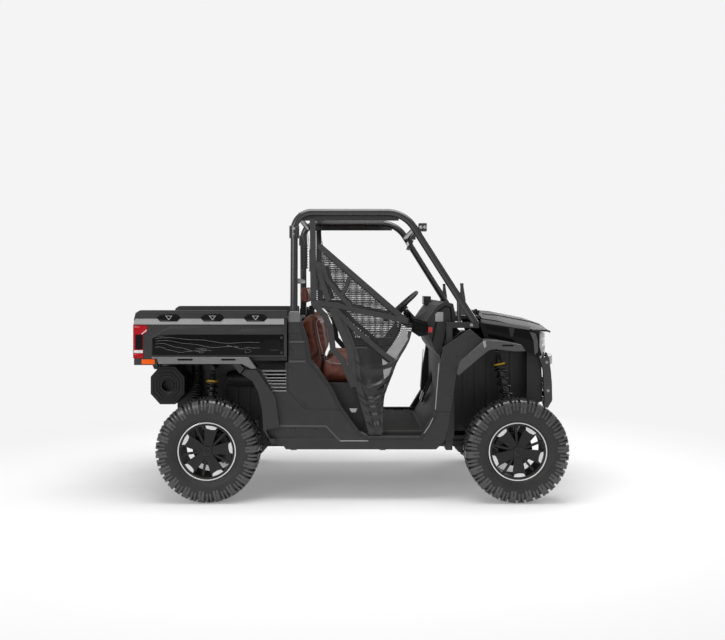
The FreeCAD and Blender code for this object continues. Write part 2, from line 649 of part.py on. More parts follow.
def front_frame_side():
    """Left front uprights, the rail over them and the upper arms' brackets."""
    inner = FRONT_UPRIGHT_OFFSET - FRONT_UPRIGHT_SIZE / 2
    outer = FRONT_UPRIGHT_OFFSET + FRONT_UPRIGHT_SIZE / 2
    pieces = []
    for share in FRONT_UPRIGHT_SHARES:
        x = station(share)
        pieces.append(block(x - FRONT_UPRIGHT_SIZE / 2, x + FRONT_UPRIGHT_SIZE / 2, inner, outer, FRAME_TOP,
                            FRONT_RAIL_TOP))
    pieces.append(block(station(FRONT_UPRIGHT_SHARES[0]), station(FRONT_UPRIGHT_SHARES[1]), inner, outer,
                        FRONT_RAIL_TOP - FRONT_UPRIGHT_SIZE, FRONT_RAIL_TOP))
    half = PIVOT_TUBE_LENGTH / 3
    face = UPPER_PIVOT_Y - PIVOT_TUBE_RADIUS - SEAT_GAP
    for side in (-1, 1):
        x = FRONT_AXLE_X + side * ARM_SPREAD
        pieces.append(block(x - half, x + half, inner, face, FRAME_TOP, UPPER_PIVOT_Z + PIVOT_TUBE_RADIUS))
    return pieces


def frame_posts():
    """Posts that carry the cage feet and the dash."""
    half = POST_SIZE / 2
    inner, outer = CAB_INNER_HALF_WIDTH - SEAT_GAP - POST_SIZE, CAB_INNER_HALF_WIDTH - SEAT_GAP
    low = FRAME_TOP
    beam_in, beam_out = A_POST_BEAM_Y - half, A_POST_BEAM_Y + half
    return [block(B_POST_X - half, B_POST_X + half, inner, outer, low, B_POST_TOP),
            block(A_POST_X - half, A_POST_X + half, beam_in, outer, low, A_POST_TOP),
            block(A_POST_X - half, A_POST_FRONT_X, beam_in, beam_out, A_POST_TOP - A_POST_BEAM, A_POST_TOP)]


def rail_brackets():
    """Stubs between the left rail and the arms' pivot tubes."""
    pieces = []
    rail_face = RAIL_OFFSET
    for axle_x in (FRONT_AXLE_X, REAR_AXLE_X):
        for side in (-1, 1):
            x = axle_x + side * ARM_SPREAD
            half = PIVOT_TUBE_LENGTH / 3
            face = LOWER_PIVOT_Y - PIVOT_TUBE_RADIUS - SEAT_GAP
            pieces.append(block(x - half, x + half, rail_face, face, LOWER_PIVOT_Z - PIVOT_TUBE_RADIUS,
                                LOWER_PIVOT_Z + PIVOT_TUBE_RADIUS))
    for side in (-1, 1):
        x = REAR_AXLE_X + side * ARM_SPREAD
        half = PIVOT_TUBE_LENGTH / 3
        low = FRAME_BOTTOM + RAIL_HEIGHT / 2
        face = LOWER_PIVOT_Y - PIVOT_TUBE_RADIUS - SEAT_GAP
        pieces.append(block(x - half, x + half, rail_face - RAIL_SIZE / 4, face, low,
                            UPPER_PIVOT_Z + PIVOT_TUBE_RADIUS))
    return pieces


def frame_crosswise():
    """Members that run right across: beams, outriggers and the tube behind the seats."""
    low, high = FRAME_BOTTOM, FRAME_TOP
    half = RAIL_SIZE / 2
    pieces = [block(FRAME_REAR_X, FRAME_REAR_X + RAIL_SIZE, -RAIL_OFFSET, RAIL_OFFSET, low, high)]
    for share in CROSS_MEMBER_SHARES:
        x = station(share)
        pieces.append(block(x - half, x + half, -RAIL_OFFSET, RAIL_OFFSET, low, high))
    reach = CAB_INNER_HALF_WIDTH - SEAT_GAP
    for share in OUTRIGGER_SHARES:
        x = station(share)
        pieces.append(block(x - POST_SIZE / 2, x + POST_SIZE / 2, -reach, reach, high, OUTRIGGER_TOP))
    post_inner = CAB_INNER_HALF_WIDTH - POST_SIZE
    pieces.append(across(B_POST_X, B_POST_TOP - CROSS_TUBE_RADIUS, -post_inner, post_inner, CROSS_TUBE_RADIUS))
    return pieces


def tower_tube(x, z):
    """Tube right across that carries both shocks' heads at one end of the vehicle."""
    reach = FRONT_SHOCK_TOP_Y + OVERRUN
    return across(x, z, -reach, reach, CROSS_TUBE_RADIUS)


def bed_hinge_bar():
    """Bar through the bed rails that the bed tips about."""
    reach = RAIL_OFFSET + RAIL_SIZE / 2 + SEAT_GAP + HINGE_LUG_THICKNESS + OVERRUN / 2
    return across(BED_HINGE_X, BED_HINGE_Z, -reach, reach, HINGE_PIN_RADIUS - RUNNING_CLEARANCE)


def rack_housing():
    """Tube that guides the rack, on two saddles over the rails."""
    reach = RAIL_OFFSET + RAIL_SIZE / 2
    tube = across(RACK_X, TIE_ROD_Z, -reach, reach, RACK_HOUSING_RADIUS)
    pieces = [tube]
    for side in (-1, 1):
        inner, outer = sorted((side * (RAIL_OFFSET - RAIL_SIZE / 2), side * RAIL_OFFSET))
        pieces.append(block(RACK_X - RACK_HOUSING_RADIUS / 2, RACK_X + RACK_HOUSING_RADIUS / 2, inner, outer,
                            FRAME_TOP, TIE_ROD_Z))
    return pieces


def hitch_receiver():
    """Square receiver tube on a block over the rear cross member, with the hitch pin's cross hole."""
    half = RECEIVER_OUTER / 2
    rear_x = BED_HINGE_X
    top = RECEIVER_HEIGHT + half
    tube = block(rear_x, rear_x + RECEIVER_LENGTH, -half, half, RECEIVER_HEIGHT - half, top)
    foot = block(FRAME_REAR_X, FRAME_REAR_X + RAIL_SIZE, -half, half, FRAME_TOP, top)
    hollow = RECEIVER_INNER / 2
    socket = block(rear_x - OVERRUN, FRAME_REAR_X, -hollow, hollow, RECEIVER_HEIGHT - hollow,
                   RECEIVER_HEIGHT + hollow)
    pin = across(rear_x + RECEIVER_PIN_INSET, RECEIVER_HEIGHT, -RECEIVER_OUTER, RECEIVER_OUTER,
                 RECEIVER_PIN_RADIUS)
    return [joined([tube, foot]).cut(socket).cut(pin)]


def fairlead_plate():
    """Front plate between the rails with two bolt holes."""
    low = FRAME_TOP
    top = low + FAIRLEAD_SPACING
    reach = FRONT_UPRIGHT_OFFSET + FRONT_UPRIGHT_SIZE / 2
    solid = block(FRAME_FRONT_X - FAIRLEAD_PLATE, FRAME_FRONT_X, -reach, reach, low, top)
    holes = []
    for side in (-1, 1):
        centre = Vector(FRAME_FRONT_X - OVERRUN, side * FAIRLEAD_SPACING / 2, (low + top) / 2)
        holes.append(Part.makeCylinder(FAIRLEAD_HOLE_RADIUS, 2 * OVERRUN, centre, Vector(1, 0, 0)))
    return [solid], holes


def main_frame():
    """Welded ladder of lower rails, cross members and outriggers, with the cab's posts."""
    one_side = frame_rail() + frame_posts() + rail_brackets()
    return [joined(one_side + [mirrored(piece) for piece in one_side] + frame_crosswise())]


def rear_frame():
    """Raised rear frame: bed rails on uprights, shock tower tube and the bed's hinge bar."""
    one_side = rear_frame_side()
    pieces = one_side + [mirrored(piece) for piece in one_side]
    return [joined(pieces + [tower_tube(REAR_SHOCK_TOP_X, REAR_TOWER_Z), bed_hinge_bar()])]


def front_frame():
    """Raised front frame: uprights, top rails, shock tower tube, rack housing and front plate."""
    one_side = front_frame_side()
    lead_plate, lead_holes = fairlead_plate()
    pieces = one_side + [mirrored(piece) for piece in one_side] + rack_housing() + lead_plate
    solid = joined(pieces + [tower_tube(FRONT_SHOCK_TOP_X, FRONT_TOWER_Z)])
    rack_bore = across(RACK_X, TIE_ROD_Z, -KINGPIN_Y, KINGPIN_Y, RACK_RADIUS + SEAT_GAP)
    for tool in lead_holes + [rack_bore]:
        solid = solid.cut(tool)
    return [solid]


def skid_plate():
    """Belly plate under the rails, with turned-up front edge left to the bumper."""
    reach = RAIL_OFFSET + RAIL_SIZE / 2
    top = BELLY_CLEARANCE + SKID_THICKNESS
    return [block(FRAME_REAR_X, FRAME_FRONT_X, -reach, reach, BELLY_CLEARANCE, top)]


# Engine and driveline
ENGINE_HALF_WIDTH = 215.0
ENGINE_TOP = 700.0
CASE_TOP = 470.0
DIFF_TOP = 420.0
DUCT_RADIUS = 30.0
DUCT_RIB = 5.0
DUCT_RIBS = 7
DUCT_LOW_SHARE = 1.2


def engine_block():
    """The engine, as one plain block on the rails."""
    low = FRAME_TOP + SEAT_GAP
    front = station(-0.202) - RAIL_SIZE / 2 - SEAT_GAP
    rear = station(-0.46)
    return [block(rear, front, -ENGINE_HALF_WIDTH, ENGINE_HALF_WIDTH, low, ENGINE_TOP)]


def drive_cases():
    """Rear gear case against the engine and front differential against its cross member."""
    rear = block(station(-0.66), station(-0.46) - SEAT_GAP, -CASE_HALF_WIDTH, CASE_HALF_WIDTH,
                 FRAME_BOTTOM, CASE_TOP)
    front_face = station(1.3) - RAIL_SIZE / 2 - SEAT_GAP
    front = block(RACK_X + RACK_HOUSING_RADIUS + MOVING_CLEARANCE, front_face, -DIFF_HALF_WIDTH,
                  DIFF_HALF_WIDTH, FRAME_BOTTOM, DIFF_TOP)
    chamfer = DIFF_HALF_WIDTH / 4
    solids = []
    for solid in (rear, front):
        edges = [edge for edge in solid.Edges if abs(edge.tangentAt(0).y) > 1 / 2]
        solids.append(solid.makeChamfer(chamfer, edges))
    return solids


def intake_duct():
    """Ribbed upright duct outboard of the right bed rail."""
    x = station(-0.66)
    y = -(RAIL_OFFSET + RAIL_SIZE / 2 + SEAT_GAP + DUCT_RADIUS + DUCT_RIB)
    low, high = level(DUCT_LOW_SHARE), BED_RAIL_TOP
    pitch = (high - low) / (2 * DUCT_RIBS + 1)
    profile = [(0, low), (DUCT_RADIUS, low)]
    for rib in range(DUCT_RIBS):
        base = low + pitch * (2 * rib + 1)
        profile += [(DUCT_RADIUS, base), (DUCT_RADIUS + DUCT_RIB, base), (DUCT_RADIUS + DUCT_RIB, base + pitch),
                    (DUCT_RADIUS, base + pitch)]
    profile += [(DUCT_RADIUS, high), (0, high)]
    loop = [Vector(x + radius, y, z) for radius, z in profile]
    face = Part.Face(Part.makePolygon(loop + loop[:1]))
    return [face.revolve(Vector(x, y, 0), Vector(0, 0, 1), 360)]


MUFFLER_HALF_LENGTH = 117.0
MUFFLER_HALF_HEIGHT = 131.0
MUFFLER_OUT_Y = 520.0
MUFFLER_DROP = 128.0
MUFFLER_CENTRE_Z = BED_RAIL_TOP - MUFFLER_DROP
MUFFLER_OUTLET_RADIUS = 40.0
MUFFLER_OUTLET_DEPTH = 60.0
MUFFLER_CORNER_SHARE = 0.45


def exhaust_muffler():
    """Eight-sided can across the tail on the right, with its outlet outboard."""
    x = station(-0.818)
    half_x, half_z = MUFFLER_HALF_LENGTH, MUFFLER_HALF_HEIGHT
    cut_x, cut_z = half_x * MUFFLER_CORNER_SHARE, half_z * MUFFLER_CORNER_SHARE
    outline = [(x - half_x, MUFFLER_CENTRE_Z - cut_z), (x - cut_x, MUFFLER_CENTRE_Z - half_z),
               (x + cut_x, MUFFLER_CENTRE_Z - half_z), (x + half_x, MUFFLER_CENTRE_Z - cut_z),
               (x + half_x, MUFFLER_CENTRE_Z + cut_z), (x + cut_x, MUFFLER_CENTRE_Z + half_z),
               (x - cut_x, MUFFLER_CENTRE_Z + half_z), (x - half_x, MUFFLER_CENTRE_Z + cut_z)]
    inner_y = RAIL_OFFSET + RAIL_SIZE / 2 + SEAT_GAP
    can = plate(outline, -MUFFLER_OUT_Y, -inner_y)
    outlet = across(x, MUFFLER_CENTRE_Z, -MUFFLER_OUT_Y - OVERRUN, MUFFLER_OUTLET_DEPTH - MUFFLER_OUT_Y,
                    MUFFLER_OUTLET_RADIUS)
    return [can.cut(outlet)]


# Cab floor, seats and dash
SILL_LIP = 40.0
SILL_RISE = 24.0
TOE_THICKNESS = 15.0
FLOOR_FRONT_SHARE = 0.607
TOE_SHARES = [(0.607, 1.0), (0.685, 1.25), (0.685, 1.5915)]
SEAT_SIDE_GAP = 42.0
SEAT_HALF_WIDTH = CAB_INNER_HALF_WIDTH - SEAT_SIDE_GAP
SEAT_BASE_SHARES = [(0.008, 1.0), (0.324, 1.0), (0.37, 1.41), (0.008, 1.41)]
BULKHEAD_THICKNESS = 12.0
BULKHEAD_TOP_SHARE = 1.88
CUSHION_SHARES = [(0.136, 1.4105), (0.423, 1.4105), (0.43, 1.54), (0.41, 1.588), (0.141, 1.597)]
BACK_SHARES = [(0.062, 1.4105), (0.135, 1.4105), (0.14, 1.6), (0.157, 1.66), (0.128, 1.97), (0.075, 1.98),
               (0.057, 1.9)]
HEADREST_SHARES = [(0.044, 2.07), (0.083, 2.05), (0.088, 2.15), (0.079, 2.23), (0.05, 2.235)]
CUSHION_GAP = 12.0
BENCH_SPLIT_Y = 65.0
CUSHION_ROUND = 28.0
HEADREST_WIDTH = 250.0
HEADREST_POST_RADIUS = 6.0
HEADREST_POST_SHARE = 0.075
HEADREST_FOOT_SHARE = 1.9
HEADREST_POST_SPACING = 120.0


def floor_pan():
    """Cab floor, raised inner sills and the toe board."""
    reach = CAB_INNER_HALF_WIDTH - SEAT_GAP
    top = FLOOR_HEIGHT
    rear = B_POST_X + POST_SIZE / 2 + SEAT_GAP
    pieces = [block(rear, station(FLOOR_FRONT_SHARE), -reach, reach, top - FLOOR_THICKNESS, top)]
    for side in (-1, 1):
        inner, outer = sorted((side * (reach - SILL_LIP), side * reach))
        pieces.append(block(station(0.353), station(FLOOR_FRONT_SHARE), inner, outer, top, top + SILL_RISE))
    outline = side_view(TOE_SHARES)
    outline += [(x + TOE_THICKNESS, z) for x, z in reversed(outline[1:])]
    outline += [(outline[0][0] + TOE_THICKNESS, outline[0][1] - FLOOR_THICKNESS),
                (outline[0][0], outline[0][1] - FLOOR_THICKNESS)]
    toe_reach = A_POST_BEAM_Y - POST_SIZE / 2 - SEAT_GAP
    pieces.append(plate(outline, -toe_reach, toe_reach))
    return [joined(pieces)]


def seat_base():
    """Box under the bench and the panel behind it."""
    outline = side_view(SEAT_BASE_SHARES)
    lifted = [(x, z + SEAT_GAP if z == FLOOR_HEIGHT else z) for x, z in outline]
    rear = B_POST_X + POST_SIZE / 2 + SEAT_GAP
    lifted = [(max(x, rear), z) for x, z in lifted]
    base = plate(lifted, -SEAT_HALF_WIDTH, SEAT_HALF_WIDTH)
    panel = block(rear, rear + BULKHEAD_THICKNESS, -SEAT_HALF_WIDTH, SEAT_HALF_WIDTH,
                  lifted[-1][1], level(BULKHEAD_TOP_SHARE))
    return [joined([base, panel])]


def bench_widths():
    """The bench is split: a wide passenger pad on the right, a driver's pad on the left."""
    edge = SEAT_HALF_WIDTH - CUSHION_ROUND
    return [(-edge, BENCH_SPLIT_Y - CUSHION_GAP / 2), (BENCH_SPLIT_Y + CUSHION_GAP / 2, edge)]


def pad(shares, y0, y1, radius):
    """Side-view pad with its edges rounded over."""
    solid = plate(side_view(shares), y0, y1)
    rims = [edge for edge in solid.Edges if abs(edge.tangentAt(0).y) < 1 / 2]
    return solid.makeFillet(radius, rims)


def seat_cushions():
    """Two seat pads on the base."""
    return [pad(CUSHION_SHARES, y0, y1, CUSHION_ROUND) for y0, y1 in bench_widths()]


def seat_backs():
    """Two back pads, and three headrests on their posts."""
    right, left = [pad(BACK_SHARES, y0, y1, CUSHION_ROUND) for y0, y1 in bench_widths()]
    foot, top = level(HEADREST_FOOT_SHARE), level(HEADREST_SHARES[0][1])
    (right0, right1), (left0, left1) = bench_widths()
    quarter = (right1 - right0) / 4
    heads = []
    for y in (right0 + quarter, right1 - quarter, (left0 + left1) / 2):
        head = pad(HEADREST_SHARES, y - HEADREST_WIDTH / 2, y + HEADREST_WIDTH / 2, CUSHION_ROUND / 2)
        posts = []
        for side in (-1, 1):
            base = Vector(station(HEADREST_POST_SHARE), y + side * HEADREST_POST_SPACING / 2, foot)
            posts.append(Part.makeCylinder(HEADREST_POST_RADIUS, top + CUSHION_ROUND - foot, base))
            sleeve = Part.makeCylinder(HEADREST_POST_RADIUS + SEAT_GAP, top - foot,
                                       base - Vector(0, 0, SEAT_GAP))
            right, left = right.cut(sleeve), left.cut(sleeve)
        heads.append(joined([head] + posts))
    return [right, left] + heads


DASH_SHARES = [(0.607, 1.889), (0.663, 2.039), (0.696, 2.081), (0.734, 2.06), (0.746, 1.952), (0.853, 1.952),
               (0.853, 1.93), (0.75, 1.92), (0.72, 1.85), (0.706, 1.592), (0.685, 1.592), (0.65, 1.68),
               (0.621, 1.821)]
DASH_SIDE_GAP = 65.0
DASH_HALF_WIDTH = CAB_INNER_HALF_WIDTH - DASH_SIDE_GAP
WHEEL_TO_AXLE = 712.0
WHEEL_TO_SIDE = 310.0
WHEEL_ABOVE_BODY = 5.0
STEERING_X = FRONT_AXLE_X - WHEEL_TO_AXLE
STEERING_Y = CAB_INNER_HALF_WIDTH - WHEEL_TO_SIDE
STEERING_Z = BODY_HEIGHT + WHEEL_ABOVE_BODY
WHEEL_RIM_RADIUS = 160.0
WHEEL_GRIP_RADIUS = 15.0
WHEEL_HUB_RADIUS = 36.0
WHEEL_HUB_HEIGHT = 36.0
WHEEL_DISH = 18.0
WHEEL_HUB_START = 6.0
WHEEL_CAP = 14.0
WHEEL_SPOKE_RADIUS = 9.0
COLUMN_RADIUS = 26.0
COLUMN_SHAFT_RADIUS = 11.0
COLUMN_START = 47.0
COLUMN_LENGTH = 250.0
COLUMN_DEGREES = 48.2


def column_axis():
    """Unit vector down the steering column, forwards and down."""
    lean = math.radians(COLUMN_DEGREES)
    return Vector(math.cos(lean), 0, -math.sin(lean))


def steering_column():
    """Column shroud in the dash and the shaft stub that carries the wheel."""
    centre = Vector(STEERING_X, STEERING_Y, STEERING_Z)
    axis = column_axis()
    shroud = Part.makeCylinder(COLUMN_RADIUS, COLUMN_LENGTH, centre + axis * COLUMN_START, axis)
    shaft = Part.makeCylinder(COLUMN_SHAFT_RADIUS - RUNNING_CLEARANCE, COLUMN_START,
                              centre + axis * (WHEEL_CAP + PIVOT_GAP), axis)
    return [joined([shroud, shaft])]


def dashboard():
    """Moulded dash and cowl top, pierced for the column."""
    solid = plate(side_view(DASH_SHARES), -DASH_HALF_WIDTH, DASH_HALF_WIDTH)
    centre = Vector(STEERING_X, STEERING_Y, STEERING_Z)
    start = centre + column_axis() * COLUMN_START
    hole = Part.makeCylinder(COLUMN_RADIUS + SEAT_GAP, COLUMN_LENGTH + OVERRUN, start, column_axis())
    return [joined([solid.cut(hole)] + cowl_hinges())]


def steering_wheel():
    """Rim, three spokes and hub, square to the column."""
    torus = Part.makeTorus(WHEEL_RIM_RADIUS, WHEEL_GRIP_RADIUS)
    hub = Part.makeCylinder(WHEEL_HUB_RADIUS, WHEEL_HUB_HEIGHT, Vector(0, 0, WHEEL_HUB_START))
    pieces = [torus, hub]
    for turn in (-20, 90, 200):
        out = Vector(math.cos(math.radians(turn)), math.sin(math.radians(turn)), 0)
        pieces.append(rod(out * (WHEEL_HUB_RADIUS / 2) + Vector(0, 0, WHEEL_DISH), out * WHEEL_RIM_RADIUS,
                          WHEEL_SPOKE_RADIUS))
    bore = Part.makeCylinder(COLUMN_SHAFT_RADIUS, WHEEL_HUB_HEIGHT + OVERRUN, Vector(0, 0, WHEEL_CAP))
    solid = joined(pieces).cut(bore)
    tilt = FreeCAD.Rotation(Vector(0, 0, 1), column_axis())
    solid.Placement = FreeCAD.Placement(Vector(STEERING_X, STEERING_Y, STEERING_Z), tilt)
    return [solid]


# Roll cage
CAGE_TUBE_RADIUS = 25.0
CAGE_LEAN_IN = 80.0
CAGE_TOP_Y = CAB_INNER_HALF_WIDTH - CAGE_LEAN_IN
CAGE_FOOT_Y = CAB_INNER_HALF_WIDTH - 2 * SEAT_GAP - CAGE_TUBE_RADIUS
CAGE_REAR_BEND = 118.0
CAGE_FRONT_BEND = 218.0
CAGE_TOP_Z = ROOF_HEIGHT - CAGE_TUBE_RADIUS
CAGE_FRONT_CORNER_SHARE = 0.516
CAGE_FOOT_SHARE = 0.826
CAGE_FLANGE_SHARES = (0.04, 0.55)
CAGE_FLANGE_DROP = 30.0
CAGE_FLANGE_THICKNESS = 14.0
CLAMP_RADIUS = 34.0
CLAMP_SHARES = (2.711, 2.833)
LEG_SHARE = 0.758
LEG_RADIUS = 15.0
LEG_TOP_SHARE = 2.16
HOLDER_SHARES = [(0.761, 1.96), (0.789, 1.96), (0.786, 2.1), (0.775, 2.26), (0.764, 2.26), (0.761, 2.1)]
HOLDER_THICKNESS = 14.0
CROSSBAR_RADIUS = 19.0
MID_BAR_SHARE = 2.289
ROOF_PANEL_THICKNESS = 14.0


def pillar_y(z, foot_z, foot_y):
    """Distance out of a cage pillar at a given height."""
    return CAGE_TOP_Y + (foot_y - CAGE_TOP_Y) * (CAGE_TOP_Z - z) / (CAGE_TOP_Z - foot_z)


def cage_side():
    """Left side of the cage: one bent tube with clamps, drip flange, leg and holder."""
    foot_rear = Vector(B_POST_X, CAGE_FOOT_Y, B_POST_TOP + SEAT_GAP)
    foot_front = Vector(station(CAGE_FOOT_SHARE), A_POST_BEAM_Y, A_POST_TOP + SEAT_GAP)
    corner_rear = Vector(B_POST_X, CAGE_TOP_Y, CAGE_TOP_Z)
    corner_front = Vector(station(CAGE_FRONT_CORNER_SHARE), CAGE_TOP_Y, CAGE_TOP_Z)
    rear_start = foot_rear + (foot_rear - corner_rear).normalize() * OVERRUN
    front_end = foot_front + (foot_front - corner_front).normalize() * CAGE_TUBE_RADIUS * 2
    path = [rear_start, corner_rear, corner_front, front_end]
    tube = bent_tube(path, [CAGE_REAR_BEND, CAGE_FRONT_BEND], CAGE_TUBE_RADIUS)
    for foot in (foot_rear, foot_front):
        tube = tube.cut(block(foot.x - WHEELBASE / 4, foot.x + WHEELBASE / 4, 0, HALF_WIDTH_AT_TYRES,
                              FLOOR_HEIGHT, foot.z))
    pieces = [tube]
    rise = (corner_rear - foot_rear).normalize()
    low = foot_rear + rise * (level(CLAMP_SHARES[0]) - foot_rear.z)
    high = foot_rear + rise * (level(CLAMP_SHARES[1]) - foot_rear.z)
    pieces.append(rod(low, high, CLAMP_RADIUS))
    flange_top = CAGE_TOP_Z
    flange_low = ROOF_HEIGHT - 2 * CAGE_TUBE_RADIUS - CAGE_FLANGE_DROP
    pieces.append(block(station(CAGE_FLANGE_SHARES[0]), station(CAGE_FLANGE_SHARES[1] - 0.06),
                        CAGE_TOP_Y - CAGE_FLANGE_THICKNESS, CAGE_TOP_Y, flange_low, flange_top))
    return pieces, foot_front, corner_front


def cage_sides():
    """Both side hoops."""
    pieces, foot, corner = cage_side()
    leg_x = station(LEG_SHARE)
    fall = (foot - corner)
    reach_share = (leg_x - corner.x) / fall.x
    meet = corner + fall * reach_share
    leg_foot = Vector(leg_x, A_POST_BEAM_Y, A_POST_TOP + SEAT_GAP + 2 * PIVOT_GAP)
    pieces.append(rod(leg_foot, meet, LEG_RADIUS))
    holder_y = A_POST_BEAM_Y - HOLDER_THICKNESS / 2
    pieces.append(plate(side_view(HOLDER_SHARES), holder_y, holder_y + HOLDER_THICKNESS))
    return both_sides(joined(pieces))


def cage_crossbars():
    """Tubes between the two side hoops."""
    bars = []
    bend = CAGE_REAR_BEND * (1 - 1 / math.sqrt(2))
    bend_y = (CAGE_TOP_Y + pillar_y(CAGE_TOP_Z - bend, B_POST_TOP, CAGE_FOOT_Y)) / 2
    rear_y = bend_y - CAGE_TUBE_RADIUS - SEAT_GAP
    bars.append(across(B_POST_X + bend, CAGE_TOP_Z - bend, -rear_y, rear_y, CROSSBAR_RADIUS))
    mid_z = level(MID_BAR_SHARE)
    mid_y = pillar_y(mid_z + CROSSBAR_RADIUS, B_POST_TOP, CAGE_FOOT_Y) - CAGE_TUBE_RADIUS - 2 * SEAT_GAP
    bars.append(across(B_POST_X, mid_z, -mid_y, mid_y, CROSSBAR_RADIUS))
    corner = Vector(station(CAGE_FRONT_CORNER_SHARE), CAGE_TOP_Y, CAGE_TOP_Z)
    foot = Vector(station(CAGE_FOOT_SHARE), A_POST_BEAM_Y, A_POST_TOP)
    head_share = 0.15
    head = corner + (foot - corner) * head_share
    head_y = head.y - CAGE_TUBE_RADIUS - CROSSBAR_RADIUS / 12 - SEAT_GAP
    bars.append(across(head.x, head.z, -head_y, head_y, CROSSBAR_RADIUS))
    return bars


def roof_panel():
    """Flat roof sheet between the side rails."""
    reach = CAGE_TOP_Y - CAGE_TUBE_RADIUS - SEAT_GAP
    half = ROOF_PANEL_THICKNESS / 2
    bend = CAGE_REAR_BEND
    return [block(B_POST_X + bend, station(CAGE_FRONT_CORNER_SHARE) - CAGE_FRONT_BEND / 2, -reach, reach,
                  CAGE_TOP_Z - half, CAGE_TOP_Z + half)]


MIRROR_WIDTH = 250.0
MIRROR_HEIGHT = 66.0
MIRROR_THICKNESS = 20.0
MIRROR_TILT = 20.0
MIRROR_STEM_RADIUS = 7.0


def cabin_mirror():
    """Rear-view mirror on a stem under the front cross tube."""
    corner = Vector(station(CAGE_FRONT_CORNER_SHARE), CAGE_TOP_Y, CAGE_TOP_Z)
    foot = Vector(station(CAGE_FOOT_SHARE), A_POST_BEAM_Y, A_POST_TOP)
    head = corner + (foot - corner) * 0.15
    anchor = Vector(head.x, 0, head.z - CROSSBAR_RADIUS - SEAT_GAP)
    centre = anchor - Vector(0, 0, MIRROR_HEIGHT)
    glass = block(-MIRROR_THICKNESS / 2, MIRROR_THICKNESS / 2, -MIRROR_WIDTH / 2, MIRROR_WIDTH / 2,
                  -MIRROR_HEIGHT / 2, MIRROR_HEIGHT / 2)
    glass.rotate(Vector(0, 0, 0), Vector(0, 1, 0), MIRROR_TILT)
    glass.translate(centre)
    return [joined([glass, rod(centre, anchor, MIRROR_STEM_RADIUS)])]


# Body panels
SIDE_PANEL_SHARES = [(0.0, 1.977), (0.047, 1.977), (0.087, 1.763), (0.101, 1.605), (0.138, 1.52),
                     (0.192, 1.386), (0.232, 1.241), (0.313, 1.033), (0.353, 0.995), (0.581, 0.995), (0.639, 1.167),
                     (0.646, 1.19), (0.714, 1.19), (0.706, 1.088), (0.689, 0.924), (0.669, 0.852),
                     (0.65, 0.792), (-0.015, 0.792), (-0.034, 0.852), (-0.099, 0.878), (-0.159, 1.055),
                     (-0.166, 1.213), (-0.192, 1.355), (-0.23, 1.442), (-0.299, 1.497), (-0.276, 1.533),
                     (-0.202, 1.574), (0.0, 1.586)]
REAR_FLARE_SHARES = [(-0.299, 1.497), (-0.23, 1.442), (-0.192, 1.355), (-0.166, 1.213), (-0.159, 1.055),
                     (-0.099, 0.878), (-0.064, 1.02), (-0.054, 1.082), (-0.08, 1.313), (-0.099, 1.35),
                     (-0.204, 1.533), (-0.276, 1.533)]
REAR_FLARE_OUT = 45.0
VENT_SHARES = [(-0.16, 1.515), (-0.018, 1.515), (-0.018, 1.35), (-0.075, 1.35)]
VENT_SLOTS = 6
VENT_SLOT_SHARE = 0.5
LINER_THICKNESS = 12.0
REAR_LINER_X_SHARE = -0.125
REAR_LINER_TOP_SHARE = 1.5

PANEL_RELIEF = 7.0
INSET_SHARES = [(-0.005, 1.362), (0.056, 1.241), (0.084, 1.204), (0.227, 1.204), (0.206, 1.306), (0.138, 1.509),
                (0.101, 1.592), (0.06, 1.819), (-0.005, 1.819)]
ROCKER_SHARES = [(-0.141, 1.054), (-0.05, 1.08), (0.165, 1.08), (0.2, 0.97), (-0.115, 0.97)]


def vent_slots(y0, y1):
    """Level slots between the flare and the door panel."""
    (left, top), (right, _), (_, bottom), (low_left, _) = side_view(VENT_SHARES)
    pitch = (top - bottom) / VENT_SLOTS
    slots = []
    for index in range(VENT_SLOTS):
        z0 = bottom + pitch * (index + 1 / 4)
        share = (z0 - bottom) / (top - bottom)
        start = low_left + (left - low_left) * share
        slots.append(block(start, right, y0, y1, z0, z0 + pitch * VENT_SLOT_SHARE))
    return slots


def side_panel():
    """Left panel: lower pillar cover, rocker, sill and rear wheel flare in one moulding."""
    panel = plate(side_view(SIDE_PANEL_SHARES), CAB_INNER_HALF_WIDTH, BODY_HALF_WIDTH)
    flare = plate(side_view(REAR_FLARE_SHARES), CAB_INNER_HALF_WIDTH, BODY_HALF_WIDTH + REAR_FLARE_OUT)
    liner_x = station(REAR_LINER_X_SHARE)
    liner = block(liner_x, liner_x + LINER_THICKNESS, RAIL_OFFSET + RAIL_SIZE / 2 + MOVING_CLEARANCE,
                  CAB_INNER_HALF_WIDTH, level(0.9), level(REAR_LINER_TOP_SHARE))
    solid = joined([panel, flare, liner])
    face = BODY_HALF_WIDTH - PANEL_RELIEF
    cuts = [plate(side_view(shares), face, BODY_HALF_WIDTH + REAR_FLARE_OUT + OVERRUN)
            for shares in (INSET_SHARES, ROCKER_SHARES)]
    for tool in cuts + vent_slots(CAB_INNER_HALF_WIDTH - OVERRUN, BODY_HALF_WIDTH + OVERRUN):
        solid = solid.cut(tool)
    return solid


FENDER_SHARES = [(0.68, 1.7), (0.673, 1.598), (0.653, 1.385), (0.6465, 1.1915), (0.714, 1.1915), (0.724, 1.29),
                 (0.739, 1.493), (0.752, 1.594), (0.859, 1.759), (0.801, 1.851)]
FRONT_FLARE_SHARES = [(0.752, 1.594), (0.859, 1.759), (0.872, 1.766), (0.924, 1.759), (1.077, 1.729),
                      (1.147, 1.679), (0.988, 1.679), (0.908, 1.694), (0.883, 1.691), (0.86, 1.664),
                      (0.808, 1.584), (0.768, 1.523), (0.746, 1.487), (0.738, 1.5)]
FRONT_FLARE_OUT = 55.0
NOSE_INSET = 140.0
NOSE_HALF_WIDTH = BODY_HALF_WIDTH - NOSE_INSET
FRONT_LINER_TOP_SHARE = 1.59


